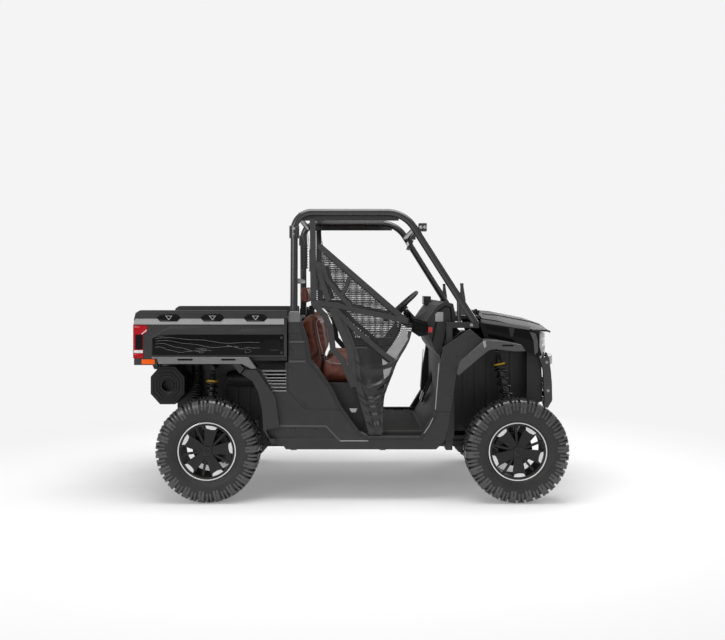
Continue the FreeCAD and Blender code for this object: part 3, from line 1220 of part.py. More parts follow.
def front_fender():
    """Left front fender: upright panel, wheel-arch flare and the liner behind the wheel."""
    panel = plate(side_view(FENDER_SHARES), CAB_INNER_HALF_WIDTH, BODY_HALF_WIDTH)
    flare = plate(side_view(FRONT_FLARE_SHARES), NOSE_HALF_WIDTH + SEAT_GAP, BODY_HALF_WIDTH + FRONT_FLARE_OUT)
    liner_x = A_POST_X + POST_SIZE / 2 + SEAT_GAP
    liner = block(liner_x, liner_x + LINER_THICKNESS, RAIL_OFFSET + RAIL_SIZE / 2 + MOVING_CLEARANCE,
                  CAB_INNER_HALF_WIDTH, OUTRIGGER_TOP, level(FRONT_LINER_TOP_SHARE))
    return joined([panel, flare, liner])


NOSE_SIDE_SHARES = [(0.847, 1.914), (0.877, 1.764), (1.16, 1.723), (1.469, 1.616), (1.544, 1.631),
                    (1.424, 1.814), (0.949, 1.885)]
NOSE_WALL = 32.0
NOSE_PROFILE_SHARES = [(1.16, 1.723), (1.251, 1.8), (1.437, 1.812), (1.704, 1.8), (1.864, 1.762),
                       (1.832, 1.72), (1.651, 1.604), (1.469, 1.604)]
NOSE_CENTRE_SHARE = 1.83
NOSE_CORNER_SHARE = 1.5
NOSE_DEPTH = 46.0
TRAY_THICKNESS = 12.0
HOOD_INSET = 38.0
HOOD_HALF_WIDTH = NOSE_HALF_WIDTH - HOOD_INSET
GRILLE_TO_LAMP = 40.0
GRILLE_SLATS = 4
GRILLE_LOW_SHARE = 1.62
GRILLE_HIGH_SHARE = 1.745
LAMP_TO_SIDE = 60.0
LAMP_WIDTH = 250.0
LAMP_OUTER_Y = NOSE_HALF_WIDTH - LAMP_TO_SIDE
LAMP_INNER_Y = LAMP_OUTER_Y - LAMP_WIDTH
GRILLE_HALF_WIDTH = LAMP_INNER_Y - GRILLE_TO_LAMP
LAMP_LOW_SHARE = 1.69
LAMP_HIGH_SHARE = 1.765
LAMP_DEPTH = 26.0


def nose_curve(offset):
    """Plan-view arc across the nose, moved back by an offset: two ends and the middle."""
    corner_x = station(NOSE_CORNER_SHARE) - offset
    centre_x = station(NOSE_CENTRE_SHARE) - offset
    reach = NOSE_HALF_WIDTH
    return Vector(corner_x, -reach, 0), Vector(centre_x, 0, 0), Vector(corner_x, reach, 0)


def nose_band(front_offset, back_offset, z0, z1):
    """Curved wall across the nose between two offsets of the plan arc."""
    right, middle, left = nose_curve(front_offset)
    back_right, back_middle, back_left = nose_curve(back_offset)
    edges = [Part.Arc(right, middle, left).toShape(), Part.LineSegment(left, back_left).toShape(),
             Part.Arc(back_left, back_middle, back_right).toShape(),
             Part.LineSegment(back_right, right).toShape()]
    face = Part.Face(Part.Wire(edges))
    face.translate(Vector(0, 0, z0))
    return face.extrude(Vector(0, 0, z1 - z0))


def lamp_block(y0, y1, front_offset, back_offset, gap):
    """Slice of the nose wall that a headlamp fills, less a gap above and below."""
    band = nose_band(front_offset, back_offset, level(LAMP_LOW_SHARE) + gap, level(LAMP_HIGH_SHARE) - gap)
    window = block(station(1), END_X, y0, y1, 0, ROOF_HEIGHT)
    return band.common(window)


def front_fascia():
    """Nose: curved front wall with grille and lamp pockets, side walls and the tray inside."""
    profile = plate(side_view(NOSE_PROFILE_SHARES), -NOSE_HALF_WIDTH, NOSE_HALF_WIDTH)
    wall = nose_band(0, NOSE_DEPTH, 0, BODY_HEIGHT).common(profile)
    sides = plate(side_view(NOSE_SIDE_SHARES), NOSE_HALF_WIDTH - NOSE_WALL, NOSE_HALF_WIDTH)
    tray_low = FRONT_RAIL_TOP + SEAT_GAP
    tray = block(station(0.88), station(1.437), -NOSE_HALF_WIDTH + NOSE_WALL / 2,
                 NOSE_HALF_WIDTH - NOSE_WALL / 2, tray_low, tray_low + TRAY_THICKNESS)
    solid = joined([wall, sides, mirrored(sides), tray])
    pitch = (level(GRILLE_HIGH_SHARE) - level(GRILLE_LOW_SHARE)) / GRILLE_SLATS
    for index in range(GRILLE_SLATS):
        z0 = level(GRILLE_LOW_SHARE) + pitch * (index + 1 / 4)
        solid = solid.cut(block(station(1.5), END_X, -GRILLE_HALF_WIDTH, GRILLE_HALF_WIDTH, z0, z0 + pitch / 2))
    for side in (-1, 1):
        y0, y1 = sorted((side * LAMP_INNER_Y, side * LAMP_OUTER_Y))
        solid = solid.cut(lamp_block(y0, y1, -OVERRUN, LAMP_DEPTH, 0))
    return [solid]


def headlamps():
    """One wide lamp each side, let into the nose wall."""
    y0, y1 = LAMP_INNER_Y + SEAT_GAP, LAMP_OUTER_Y - SEAT_GAP
    left = lamp_block(y0, y1, 0, LAMP_DEPTH - SEAT_GAP, SEAT_GAP)
    profile = plate(side_view(NOSE_PROFILE_SHARES), -NOSE_HALF_WIDTH, NOSE_HALF_WIDTH)
    return both_sides(left.common(profile))


# Hood
HOOD_STATION_SHARES = (0.866, 0.95, 1.408, 1.707, 1.83)
HOOD_CENTRE_SHARES = (1.984, 1.972, 1.919, 1.875, 1.82)
HOOD_EDGE_SHARES = (1.931, 1.905, 1.835, 1.83, 1.815)
HOOD_WIDTH_SHARES = (1.0, 1.0, 1.0, 0.8, 0.62)
HOOD_THICKNESS = 14.0
HOOD_HINGE_X = station(0.859)
HOOD_HINGE_Z = level(1.988)
HOOD_LUG_INSET = 222.0
HOOD_LUG_Y = HOOD_HALF_WIDTH - HOOD_LUG_INSET
HOOD_LUG_WIDTH = 14.0
HOOD_EYE_RADIUS = 10.0
HOOD_PIN_RADIUS = 4.0
HOOD_COWL_SHARE = 1.945
HOOD_COWL_STATION_SHARE = 0.845


def hood_section(x, half_width, centre_z, edge_z):
    """Crowned cross section of the hood at one station."""
    top = Part.Arc(Vector(x, -half_width, edge_z), Vector(x, 0, centre_z), Vector(x, half_width, edge_z))
    low = Part.Arc(Vector(x, half_width, edge_z - HOOD_THICKNESS), Vector(x, 0, centre_z - HOOD_THICKNESS),
                   Vector(x, -half_width, edge_z - HOOD_THICKNESS))
    left = Part.LineSegment(Vector(x, half_width, edge_z), Vector(x, half_width, edge_z - HOOD_THICKNESS))
    right = Part.LineSegment(Vector(x, -half_width, edge_z - HOOD_THICKNESS), Vector(x, -half_width, edge_z))
    return Part.Wire([top.toShape(), left.toShape(), low.toShape(), right.toShape()])


def hinge_lug(reach_x, low_z, y0, y1):
    """Upright lug with a rounded eye round the hood's hinge line."""
    eye = across(HOOD_HINGE_X, HOOD_HINGE_Z, y0, y1, HOOD_EYE_RADIUS)
    x0, x1 = sorted((HOOD_HINGE_X, reach_x))
    web = block(x0, x1, y0, y1, low_z, HOOD_HINGE_Z)
    return joined([eye, web])


def cowl_hinges():
    """Two pins, each between a pair of lugs on the cowl."""
    pieces = []
    low_z = level(HOOD_COWL_SHARE)
    for side in (-1, 1):
        y0, y1 = side * HOOD_LUG_Y - HOOD_LUG_WIDTH, side * HOOD_LUG_Y + HOOD_LUG_WIDTH
        for start in (y0 - HOOD_LUG_WIDTH / 2, y1 - HOOD_LUG_WIDTH / 2):
            lug = hinge_lug(station(HOOD_COWL_STATION_SHARE), low_z, start, start + HOOD_LUG_WIDTH)
            pieces.append(lug)
        pieces.append(across(HOOD_HINGE_X, HOOD_HINGE_Z, y0, y1, HOOD_PIN_RADIUS - RUNNING_CLEARANCE))
    return pieces


def hood():
    """Hood panel, lofted through five crowned sections, with two hinge lugs."""
    sections = []
    rows = zip(HOOD_STATION_SHARES, HOOD_CENTRE_SHARES, HOOD_EDGE_SHARES, HOOD_WIDTH_SHARES)
    for along, centre, edge, wide in rows:
        sections.append(hood_section(station(along), HOOD_HALF_WIDTH * wide, level(centre), level(edge)))
    pieces = [Part.makeLoft(sections, True, True)]
    low_z = level(HOOD_EDGE_SHARES[0]) + HOOD_THICKNESS
    for side in (-1, 1):
        half = HOOD_LUG_WIDTH / 2 - PIVOT_GAP
        pieces.append(hinge_lug(station(HOOD_STATION_SHARES[0]) + HOOD_THICKNESS, low_z,
                                side * HOOD_LUG_Y - half, side * HOOD_LUG_Y + half))
    bore = across(HOOD_HINGE_X, HOOD_HINGE_Z, -HOOD_HALF_WIDTH, HOOD_HALF_WIDTH, HOOD_PIN_RADIUS)
    return [joined(pieces).cut(bore)]


# Front bumper
BUMPER_SIDE_SHARES = [(1.589, 1.594), (1.715, 1.594), (1.722, 1.64), (1.776, 1.59), (1.811, 1.474),
                      (1.829, 1.352), (1.835, 1.24), (1.752, 1.173), (1.672, 1.181), (1.691, 1.24),
                      (1.68, 1.329), (1.667, 1.491)]
BUMPER_HALF_WIDTH = 380.0
BUMPER_SIDE_THICKNESS = 36.0
BUMPER_BAR_DEPTH = 40.0
BUMPER_BAR_SHARES = ((1.20, 1.26), (1.33, 1.38), (1.53, 1.60))
BUMPER_CORNER_SHARE = 1.76
BUMPER_BRACKET = 40.0


def bumper_bar(z0, z1):
    """Bowed bar across the front, apex at the vehicle's front end."""
    reach = BUMPER_HALF_WIDTH - BUMPER_SIDE_THICKNESS / 2
    corner_x = station(BUMPER_CORNER_SHARE)
    front = Part.Arc(Vector(corner_x, -reach, z0), Vector(END_X, 0, z0), Vector(corner_x, reach, z0))
    back_x, back_apex = corner_x - BUMPER_BAR_DEPTH, END_X - BUMPER_BAR_DEPTH
    back = Part.Arc(Vector(back_x, reach, z0), Vector(back_apex, 0, z0), Vector(back_x, -reach, z0))
    ends = [Part.LineSegment(Vector(corner_x, reach, z0), Vector(back_x, reach, z0)),
            Part.LineSegment(Vector(back_x, -reach, z0), Vector(corner_x, -reach, z0))]
    wire = Part.Wire([front.toShape(), ends[0].toShape(), back.toShape(), ends[1].toShape()])
    return Part.Face(wire).extrude(Vector(0, 0, z1 - z0))


def front_bumper():
    """Brush guard: two side legs, three bowed bars and the brackets to the frame."""
    inner = BUMPER_HALF_WIDTH - BUMPER_SIDE_THICKNESS
    leg = plate(side_view(BUMPER_SIDE_SHARES), inner, BUMPER_HALF_WIDTH)
    pieces = [leg, mirrored(leg)]
    for low, high in BUMPER_BAR_SHARES:
        pieces.append(bumper_bar(level(low), level(high)))
    z0 = level(BUMPER_BAR_SHARES[0][0])
    for side in (-1, 1):
        y0, y1 = sorted((side * (FRONT_UPRIGHT_OFFSET + BUMPER_BRACKET / 2),
                         side * (FRONT_UPRIGHT_OFFSET - BUMPER_BRACKET / 2)))
        x0 = station(FRONT_UPRIGHT_SHARES[1]) + FRONT_UPRIGHT_SIZE / 2 + SEAT_GAP
        pieces.append(block(x0, END_X - BUMPER_BAR_DEPTH, y0, y1, z0, z0 + BUMPER_BRACKET))
    return [joined(pieces)]


# Door nets
NET_TOP_SHARE = 2.92
NET_SHARES = [(0.09, NET_TOP_SHARE), (0.11, NET_TOP_SHARE), (0.13, 2.653), (0.534, 1.901), (0.553, 1.88),
              (0.697, 1.85), (0.697, 1.81), (0.553, 1.83), (0.534, 1.744), (0.482, 1.594), (0.421, 1.31), (0.414, 0.9965),
              (0.358, 0.9965), (0.295, 1.39), (0.287, 1.61), (0.243, 1.831), (0.195, 2.004), (0.108, 2.042),
              (0.095, 2.071)]
NET_THICKNESS = 4.0
NET_INSET = 10.0
NET_FOOT_Y = BODY_HALF_WIDTH - NET_INSET


def door_net():
    """Left door net: one flat sheet leaning in from the sill to the roof rail."""
    points = side_view(NET_SHARES)
    foot_z = FLOOR_HEIGHT
    rise = level(NET_TOP_SHARE) - foot_z
    lean = math.degrees(math.atan2(NET_FOOT_Y - CAGE_TOP_Y - SEAT_GAP, rise))
    sheet = plate(points, NET_FOOT_Y, NET_FOOT_Y + NET_THICKNESS)
    sheet.rotate(Vector(0, NET_FOOT_Y, foot_z), Vector(1, 0, 0), lean)
    return sheet


# Cargo bed
BED_FLOOR_THICKNESS = 25.0
BED_WALL = 30.0
BED_INSET = 40.0
BED_SKIN_OUT = 25.0
BED_RAIL_OUT = 35.0
BED_FLARE_OUT = 55.0
BED_INNER_HALF_WIDTH = BODY_HALF_WIDTH - BED_INSET
BED_SIDE_HALF_WIDTH = BODY_HALF_WIDTH + BED_SKIN_OUT
BED_RAIL_HALF_WIDTH = BODY_HALF_WIDTH + BED_RAIL_OUT
BED_FLARE_HALF_WIDTH = BODY_HALF_WIDTH + BED_FLARE_OUT
BED_SKIN_LOW_SHARE = 1.631
BED_RAIL_LOW_SHARE = 1.936
CORNER_INNER_Y = BED_INNER_HALF_WIDTH - BED_WALL
BED_RAIL_SHARES = [(-0.992, 1.936), (-0.983, 1.979), (-0.956, 2.0), (-0.008, 2.0), (-0.008, 1.936)]
BED_SKIN_SHARES = [(-0.995, 1.936), (-0.995, 1.566), (-0.845, 1.566), (-0.845, 1.631), (-0.008, 1.631),
                   (-0.008, 1.936)]
BED_FLARE_SHARES = [(-0.841, 1.633), (-0.834, 1.578), (-0.358, 1.578), (-0.307, 1.5), (-0.281, 1.54),
                    (-0.345, 1.629)]
RIB_CLEAR = 0.3
BED_RELIEF = 6.0
BED_INSET_SHARES = [(-0.878, 1.78), (-0.82, 1.81), (-0.025, 1.81), (-0.025, 1.642), (-0.878, 1.642)]
PLATE_STATION_SHARES = (-0.769, -0.487, -0.209)
PLATE_HALF_LENGTH = 80.0
PLATE_LOW_SHARE = 1.912
PLATE_HIGH_SHARE = 1.969


def bed_tub():
    """Bed floor, front and side walls, its two support ribs and hinge lugs."""
    rear_x = REAR_END_X + TAILGATE_THICKNESS + MOVING_CLEARANCE
    floor_top = BED_FLOOR_LOW + BED_FLOOR_THICKNESS
    wall_top = level(BED_RAIL_LOW_SHARE) - SEAT_GAP
    wall_out = BED_INNER_HALF_WIDTH + BED_WALL - SEAT_GAP
    corner_x = REAR_END_X + CORNER_LENGTH + SEAT_GAP
    pieces = [block(corner_x, BED_FRONT_X, -wall_out, wall_out, BED_FLOOR_LOW, floor_top),
              block(rear_x, corner_x, -CORNER_INNER_Y + SEAT_GAP, CORNER_INNER_Y - SEAT_GAP,
                    BED_FLOOR_LOW, floor_top),
              block(BED_FRONT_X - BED_WALL, BED_FRONT_X, -wall_out, wall_out, floor_top, wall_top)]
    inner, outer = RAIL_OFFSET - RAIL_SIZE / 2, RAIL_OFFSET + RAIL_SIZE / 2
    lug_in = outer + SEAT_GAP
    for side in (-1, 1):
        y0, y1 = sorted((side * BED_INNER_HALF_WIDTH, side * wall_out))
        pieces.append(block(corner_x, BED_FRONT_X, y0, y1, floor_top, wall_top))
        y0, y1 = sorted((side * inner, side * outer))
        pieces.append(block(BED_HINGE_X + 2 * BED_RAIL_HEIGHT, BED_FRONT_X - BED_RAIL_HEIGHT, y0, y1,
                            BED_RAIL_TOP + RIB_CLEAR, BED_FLOOR_LOW))
        y0, y1 = sorted((side * lug_in, side * (lug_in + HINGE_LUG_THICKNESS)))
        pieces.append(block(BED_HINGE_X - 2 * HINGE_PIN_RADIUS, BED_HINGE_X + 2 * HINGE_PIN_RADIUS, y0, y1,
                            BED_HINGE_Z, BED_FLOOR_LOW))
        pieces.append(across(BED_HINGE_X, BED_HINGE_Z, y0, y1, 2 * HINGE_PIN_RADIUS))
    solid = joined(pieces)
    reach = lug_in + HINGE_LUG_THICKNESS + OVERRUN
    return [solid.cut(across(BED_HINGE_X, BED_HINGE_Z, -reach, reach, HINGE_PIN_RADIUS))]


def rail_pockets():
    """Long six-sided pockets along the outside of the left bed rail."""
    low, high = level(PLATE_LOW_SHARE), level(PLATE_HIGH_SHARE)
    slant = (high - low) / 2
    pockets = []
    for share in PLATE_STATION_SHARES:
        rear, front = station(share) - PLATE_HALF_LENGTH, station(share) + PLATE_HALF_LENGTH
        outline = [(rear + slant, low), (front - slant, low), (front, low + slant), (front - slant, high),
                   (rear + slant, high), (rear, low + slant)]
        pockets.append(plate(outline, BED_RAIL_HALF_WIDTH - BED_RELIEF, BED_RAIL_HALF_WIDTH + OVERRUN))
    return pockets


def bed_side():
    """Left bed side: outer skin with its recess, top rail, rear corner post and wheel flare."""
    inner = BED_INNER_HALF_WIDTH + BED_WALL
    skin = plate(side_view(BED_SKIN_SHARES), inner, BED_SIDE_HALF_WIDTH)
    rail = plate(side_view(BED_RAIL_SHARES), BED_INNER_HALF_WIDTH, BED_RAIL_HALF_WIDTH)
    flare = plate(side_view(BED_FLARE_SHARES), BED_INNER_HALF_WIDTH + BED_WALL, BED_FLARE_HALF_WIDTH)
    corner = block(station(-0.995), REAR_END_X + CORNER_LENGTH, CORNER_INNER_Y, inner,
                   level(1.566), level(BED_RAIL_LOW_SHARE))
    solid = joined([skin, rail, flare, corner])
    face = BED_SIDE_HALF_WIDTH - BED_RELIEF
    recess = plate(side_view(BED_INSET_SHARES), face, BED_SIDE_HALF_WIDTH + BED_RAIL_OUT)
    for tool in [recess] + rail_pockets():
        solid = solid.cut(tool)
    bore = across(TAILGATE_HINGE_X, TAILGATE_HINGE_Z, CORNER_INNER_Y - OVERRUN,
                  CORNER_INNER_Y + TAILGATE_PIN_LENGTH + OVERRUN / 2, TAILGATE_PIN_RADIUS + RUNNING_CLEARANCE)
    return solid.cut(bore).cut(lamp_pocket(0))


TAILGATE_THICKNESS = 36.0
TAILGATE_PIN_INSET = 13.0
TAILGATE_PIN_RISE = 8.0
TAILGATE_HINGE_X = REAR_END_X + TAILGATE_PIN_INSET
TAILGATE_LOW = BED_FLOOR_LOW + BED_FLOOR_THICKNESS + MOVING_CLEARANCE
TAILGATE_HINGE_Z = TAILGATE_LOW + TAILGATE_PIN_RISE
TAILGATE_PIN_RADIUS = 5.0
TAILGATE_PIN_LENGTH = 12.0
TAILGATE_TOP_SHARE = 1.93
LAMP_SHARES = ((-1.0, -0.935), (1.62, 1.885))
LAMP_WRAP = 30.0
LAMP_STAND = 3.0


def lamp_pocket(clearance):
    """Space of the left tail lamp, which wraps the rear corner."""
    (along0, along1), (up0, up1) = LAMP_SHARES
    return block(station(along0), station(along1) - clearance, BED_SIDE_HALF_WIDTH - LAMP_WRAP + clearance,
                 BED_SIDE_HALF_WIDTH + LAMP_STAND, level(up0) + clearance, level(up1) - clearance)


def tail_lamps():
    """Wrap-round lamps at the bed's rear corners."""
    return both_sides(lamp_pocket(SEAT_GAP))


def side_markers():
    """Amber markers on the bed's lower rear corners."""
    x0, x1 = station(-0.945), station(-0.86)
    z0, z1 = level(1.574), level(1.612)
    y = BED_SIDE_HALF_WIDTH + SEAT_GAP
    return both_sides(block(x0, x1, y, y + 2 * LAMP_STAND, z0, z1))


def tailgate():
    """Tail board on two end pins near its lower edge."""
    reach = CORNER_INNER_Y - MOVING_CLEARANCE
    board = block(REAR_END_X, REAR_END_X + TAILGATE_THICKNESS, -reach, reach, TAILGATE_LOW,
                  level(TAILGATE_TOP_SHARE))
    pins = across(TAILGATE_HINGE_X, TAILGATE_HINGE_Z, -CORNER_INNER_Y - TAILGATE_PIN_LENGTH,
                  CORNER_INNER_Y + TAILGATE_PIN_LENGTH, TAILGATE_PIN_RADIUS)
    return [joined([board, pins])]


def all_nodes():
    """Every node of the vehicle by name."""
    nodes = {
        "main_frame": main_frame(),
        "rear_frame": rear_frame(),
        "front_frame": front_frame(),
        "hitch_receiver": hitch_receiver(),
        "skid_plate": skid_plate(),
        "engine_block": engine_block(),
        "drive_cases": drive_cases(),
        "intake_duct": intake_duct(),
        "exhaust_muffler": exhaust_muffler(),
        "floor_pan": floor_pan(),
        "seat_base": seat_base(),
        "seat_cushions": seat_cushions(),
        "seat_backs": seat_backs(),
        "dashboard": dashboard(),
        "steering_column": steering_column(),
        "cage_sides": cage_sides(),
        "cage_crossbars": cage_crossbars(),
        "roof_panel": roof_panel(),
        "cabin_mirror": cabin_mirror(),
        "side_panels": both_sides(side_panel()),
        "front_fenders": both_sides(front_fender()),
        "front_fascia": front_fascia(),
        "headlamps": headlamps(),
        "front_bumper": front_bumper(),
        "door_nets": both_sides(door_net()),
        "suspension_arms": suspension_arms(),
        "shock_absorbers": shock_absorbers(),
        "half_shafts": half_shafts(),
        "rear_hub_carriers": both_sides(rear_hub_carrier()),
        "bed_tub": bed_tub(),
        "bed_sides": both_sides(bed_side()),
        "tail_lamps": tail_lamps(),
        "side_markers": side_markers(),
        "tailgate": tailgate(),
        "hood": hood(),
        "steering_wheel": steering_wheel(),
        "steering_rack": steering_rack(),
        "knuckle_left": [knuckle()],
        "knuckle_right": [mirrored(knuckle())],
    }
    nodes.update(wheels())
    return nodes


for node, solids in all_nodes().items():
    shape = solids[0] if len(solids) == 1 else Part.makeCompound(solids)
    shape.exportStep("parts/%s.step" % node)
    print(node, len(shape.Solids), round(shape.Volume), shape.isValid())
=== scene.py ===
# %% [markdown]
# # Dressing a side by side utility vehicle
# The frame holds every solid piece of the vehicle at its real size and place: rails, cage, panels,
# wheels, bed. This lesson gives those pieces their finish, and adds what a solid model leaves out:
# tread, coil springs, mesh nets, stitched seats, belts, trim strips, lamps and bolts.
# Lengths are in metres, +X is forwards, +Y is the vehicle's left and +Z is up.

# %% Load the frame
import json
import math

import bmesh
import bpy
import numpy as np
from mathutils.bvhtree import BVHTree
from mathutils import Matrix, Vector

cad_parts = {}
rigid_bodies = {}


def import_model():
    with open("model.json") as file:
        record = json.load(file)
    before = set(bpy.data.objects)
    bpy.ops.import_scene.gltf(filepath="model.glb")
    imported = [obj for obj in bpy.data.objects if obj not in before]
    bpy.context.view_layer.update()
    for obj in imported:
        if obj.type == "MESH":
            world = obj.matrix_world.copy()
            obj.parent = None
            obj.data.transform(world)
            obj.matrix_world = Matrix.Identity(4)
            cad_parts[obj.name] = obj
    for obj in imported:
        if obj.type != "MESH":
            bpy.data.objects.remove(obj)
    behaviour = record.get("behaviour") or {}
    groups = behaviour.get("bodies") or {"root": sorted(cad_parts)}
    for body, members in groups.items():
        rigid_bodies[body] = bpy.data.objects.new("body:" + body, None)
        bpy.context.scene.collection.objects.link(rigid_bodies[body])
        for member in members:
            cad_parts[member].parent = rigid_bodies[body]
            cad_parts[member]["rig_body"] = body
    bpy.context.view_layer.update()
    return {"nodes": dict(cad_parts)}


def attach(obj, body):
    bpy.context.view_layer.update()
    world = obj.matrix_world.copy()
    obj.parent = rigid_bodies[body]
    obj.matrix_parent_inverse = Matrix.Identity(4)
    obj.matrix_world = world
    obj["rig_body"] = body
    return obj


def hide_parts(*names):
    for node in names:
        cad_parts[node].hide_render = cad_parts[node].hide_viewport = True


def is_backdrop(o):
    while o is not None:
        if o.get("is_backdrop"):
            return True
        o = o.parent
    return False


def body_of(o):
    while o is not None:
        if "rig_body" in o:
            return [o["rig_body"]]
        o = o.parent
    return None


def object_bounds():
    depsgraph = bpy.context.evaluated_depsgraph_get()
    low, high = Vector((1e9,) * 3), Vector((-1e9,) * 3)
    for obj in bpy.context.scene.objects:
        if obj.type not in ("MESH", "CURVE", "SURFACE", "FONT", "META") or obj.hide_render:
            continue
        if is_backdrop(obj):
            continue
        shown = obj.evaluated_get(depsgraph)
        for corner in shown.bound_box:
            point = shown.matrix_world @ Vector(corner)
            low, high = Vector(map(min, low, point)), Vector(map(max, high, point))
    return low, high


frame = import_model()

# %% [markdown]
# ## Places that many pieces share
# Trim has to land on the panel that carries it, so the panels' own places come first: the same
# stations and levels that lay out the body. A station is a share of the way along the vehicle
# (-1 rear end, 0 back of the cab, 1 front axle, 2 front end) and a level is a share of the way up
# (0 ground, 1 cab floor, 2 top of the body, 3 top of the cage).

# %% Stations, levels and the panels' planes
END_X, CAB_REAR_X = 1.461, -0.432
FRONT_AXLE_X, REAR_AXLE_X, AXLE_Z = 1.086, -0.964, 0.343
FLOOR_Z, BODY_Z, ROOF_Z = 0.433, 1.272, 1.960
PANEL_Y, BED_SKIN_Y, BED_RAIL_Y = 0.700, 0.725, 0.724


def station(share):
    """Place along the vehicle for each share, by straight lines between the four named places."""
    return np.interp(share, [-1, 0, 1, 2], [-END_X, CAB_REAR_X, FRONT_AXLE_X, END_X])


def level(share):
    """Height for each share, by straight lines between ground, floor, body top and cage top."""
    return np.interp(share, [0, 1, 2, 3], [0, FLOOR_Z, BODY_Z, ROOF_Z])


def side_view(shares):
    """(n, 2) array of x and z for pairs of station and level shares."""
    pairs = np.array(shares, float)
    return np.column_stack([station(pairs[:, 0]), level(pairs[:, 1])])


print("axles at", station(1), REAR_AXLE_X, "and panel plane at", PANEL_Y)

# %% [markdown]
# ## Surfaces from arrays
# Every new piece is a surface worked out as a whole array: a grid of points over two parameters, or
# a profile carried along a path. A part is a pair, its points and its faces, so that parts can be
# joined before one object is made of them. Working this way keeps a shape's formula in one line.


# %% Grids
def grid_part(points, close_rows=False, close_columns=False, caps=False):
    """Part from a (rows, columns, 3) grid: a face for each cell, and a face over each end ring."""
    rows, columns = points.shape[:2]
    i = np.arange(rows if close_rows else rows - 1)[:, None]
    j = np.arange(columns if close_columns else columns - 1)[None, :]
    below, beside = (i + 1) % rows, (j + 1) % columns
    cells = np.stack([i * columns + j, i * columns + beside, below * columns + beside, below * columns + j], -1)
    faces = cells.reshape(-1, 4).tolist()
    if caps:
        ring = np.arange(columns)
        faces += [ring[::-1].tolist(), (ring + (rows - 1) * columns).tolist()]
    return points.reshape(-1, 3), faces


def ringed(rings, close_rows=False):
    """Closed form from a list of rings of points, capped unless the last ring meets the first."""
    return grid_part(np.stack(rings), close_rows, True, not close_rows)


def merge(parts):
    """One part from several: points stacked, face numbers moved on by the points before them."""
    points, faces, start = [], [], 0
    for part_points, part_faces in parts:
        points.append(np.asarray(part_points, float))
        faces += [[start + corner for corner in face] for face in part_faces]
        start += len(part_points)
    return np.vstack(points), faces


print("a grid of 3 by 4 points has", len(grid_part(np.zeros((3, 4, 3)))[1]), "cells")


# %% Profiles along paths
def unit(vectors):
    """Each row divided by its own length."""
    return vectors / np.linalg.norm(vectors, axis=-1, keepdims=True)


def sweep(path, profile, up=(0, 0, 1), closed=False):
    """Profile carried along a path: path(i) + side(i) * profile_x(j) + top(i) * profile_y(j), where
    side is square to the path and to up, and top is square to both."""
    path, profile = np.asarray(path, float), np.asarray(profile, float)
    run = unit(np.roll(path, -1, 0) - np.roll(path, 1, 0) if closed else np.gradient(path, axis=0))
    side = unit(np.cross(np.asarray(up, float), run))
    top = np.cross(run, side)
    across = side[:, None] * profile[None, :, :1] + top[:, None] * profile[None, :, 1:]
    return grid_part(path[:, None] + across, closed, True, not closed)


def circle(radius, count=12):
    """(count, 2) ring of points."""
    angle = np.linspace(0, 2 * math.pi, count, endpoint=False)
    return radius * np.column_stack([np.cos(angle), np.sin(angle)])


def oblong(width, height, corner=0.25):
    """Rectangle with cut corners, the cut being a share of the smaller side."""
    w, h, c = width / 2, height / 2, corner * min(width, height)
    return np.array([(w, c - h), (w, h - c), (w - c, h), (c - w, h), (-w, h - c), (-w, c - h), (c - w, -h),
                     (w - c, -h)])


def tube(path, radius, count=12, up=(0, 0, 1), closed=False):
    """Round bar along a path."""
    return sweep(path, circle(radius, count), up, closed)


print("a bar of two points has", len(tube([(0, 0, 0), (1, 0, 0)], 0.1)[1]), "faces")


# %% Outlines in the side view
def at_y(outline, y):
    """Side-view points placed at one distance from the vehicle's middle."""
    return np.insert(np.asarray(outline, float), 1, y, axis=1)


def prism(outline, y0, y1):
    """Side-view outline of x and z, carried straight from y0 to y1."""
    return ringed([at_y(outline, y0), at_y(outline, y1)])


def box_part(low, high):
    """Box between two corners."""
    (x0, y0, z0), (x1, y1, z1) = low, high
    return prism([(x0, z0), (x1, z0), (x1, z1), (x0, z1)], y0, y1)


def lathe(profile, centre, axis="y", count=48):
    """Ring of revolution: profile is pairs of radius and distance along the axis."""
    profile = np.asarray(profile, float)
    angle = np.linspace(0, 2 * math.pi, count, endpoint=False)[:, None]
    radius, along = profile[None, :, 0], profile[None, :, 1] + 0 * angle
    first, second = radius * np.cos(angle), radius * np.sin(angle)
    order = {"x": (along, first, second), "y": (first, along, second), "z": (first, second, along)}[axis]
    return grid_part(np.stack(order, -1) + np.asarray(centre, float), True, True)


def mirror_part(part):
    """The same part on the vehicle's other side."""
    points, faces = part
    return points * np.array([1.0, -1.0, 1.0]), [face[::-1] for face in faces]


def both(parts):
    """Parts of the left side with their right-hand twins."""
    return parts + [mirror_part(part) for part in parts]


print("a box and its twin have", len(merge(both([box_part((0, 0, 0), (1, 1, 1))]))[1]), "faces")

# %% [markdown]
# ## Objects from parts
# An object takes its finish and the body it rides on all at once, so that no piece can miss
# one of them. A moulding's skin is made the same way, from its solid's own corners.

# %% Objects
finish, new_pieces = {}, []


def finished(mesh, shape, look, body, smooth_below):
    """Object from an edited shape: faces turned outwards, corners under the angle shaded smooth."""
    bmesh.ops.recalc_face_normals(shape, faces=shape.faces)
    shape.to_mesh(mesh)
    shape.free()
    mesh.polygons.foreach_set("use_smooth", np.ones(len(mesh.polygons), bool))
    mesh.set_sharp_from_angle(angle=math.radians(smooth_below))
    mesh.materials.append(finish[look])
    made = bpy.data.objects.new(mesh.name, mesh)
    bpy.context.scene.collection.objects.link(made)
    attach(made, body)
    new_pieces.append(made)
    return made


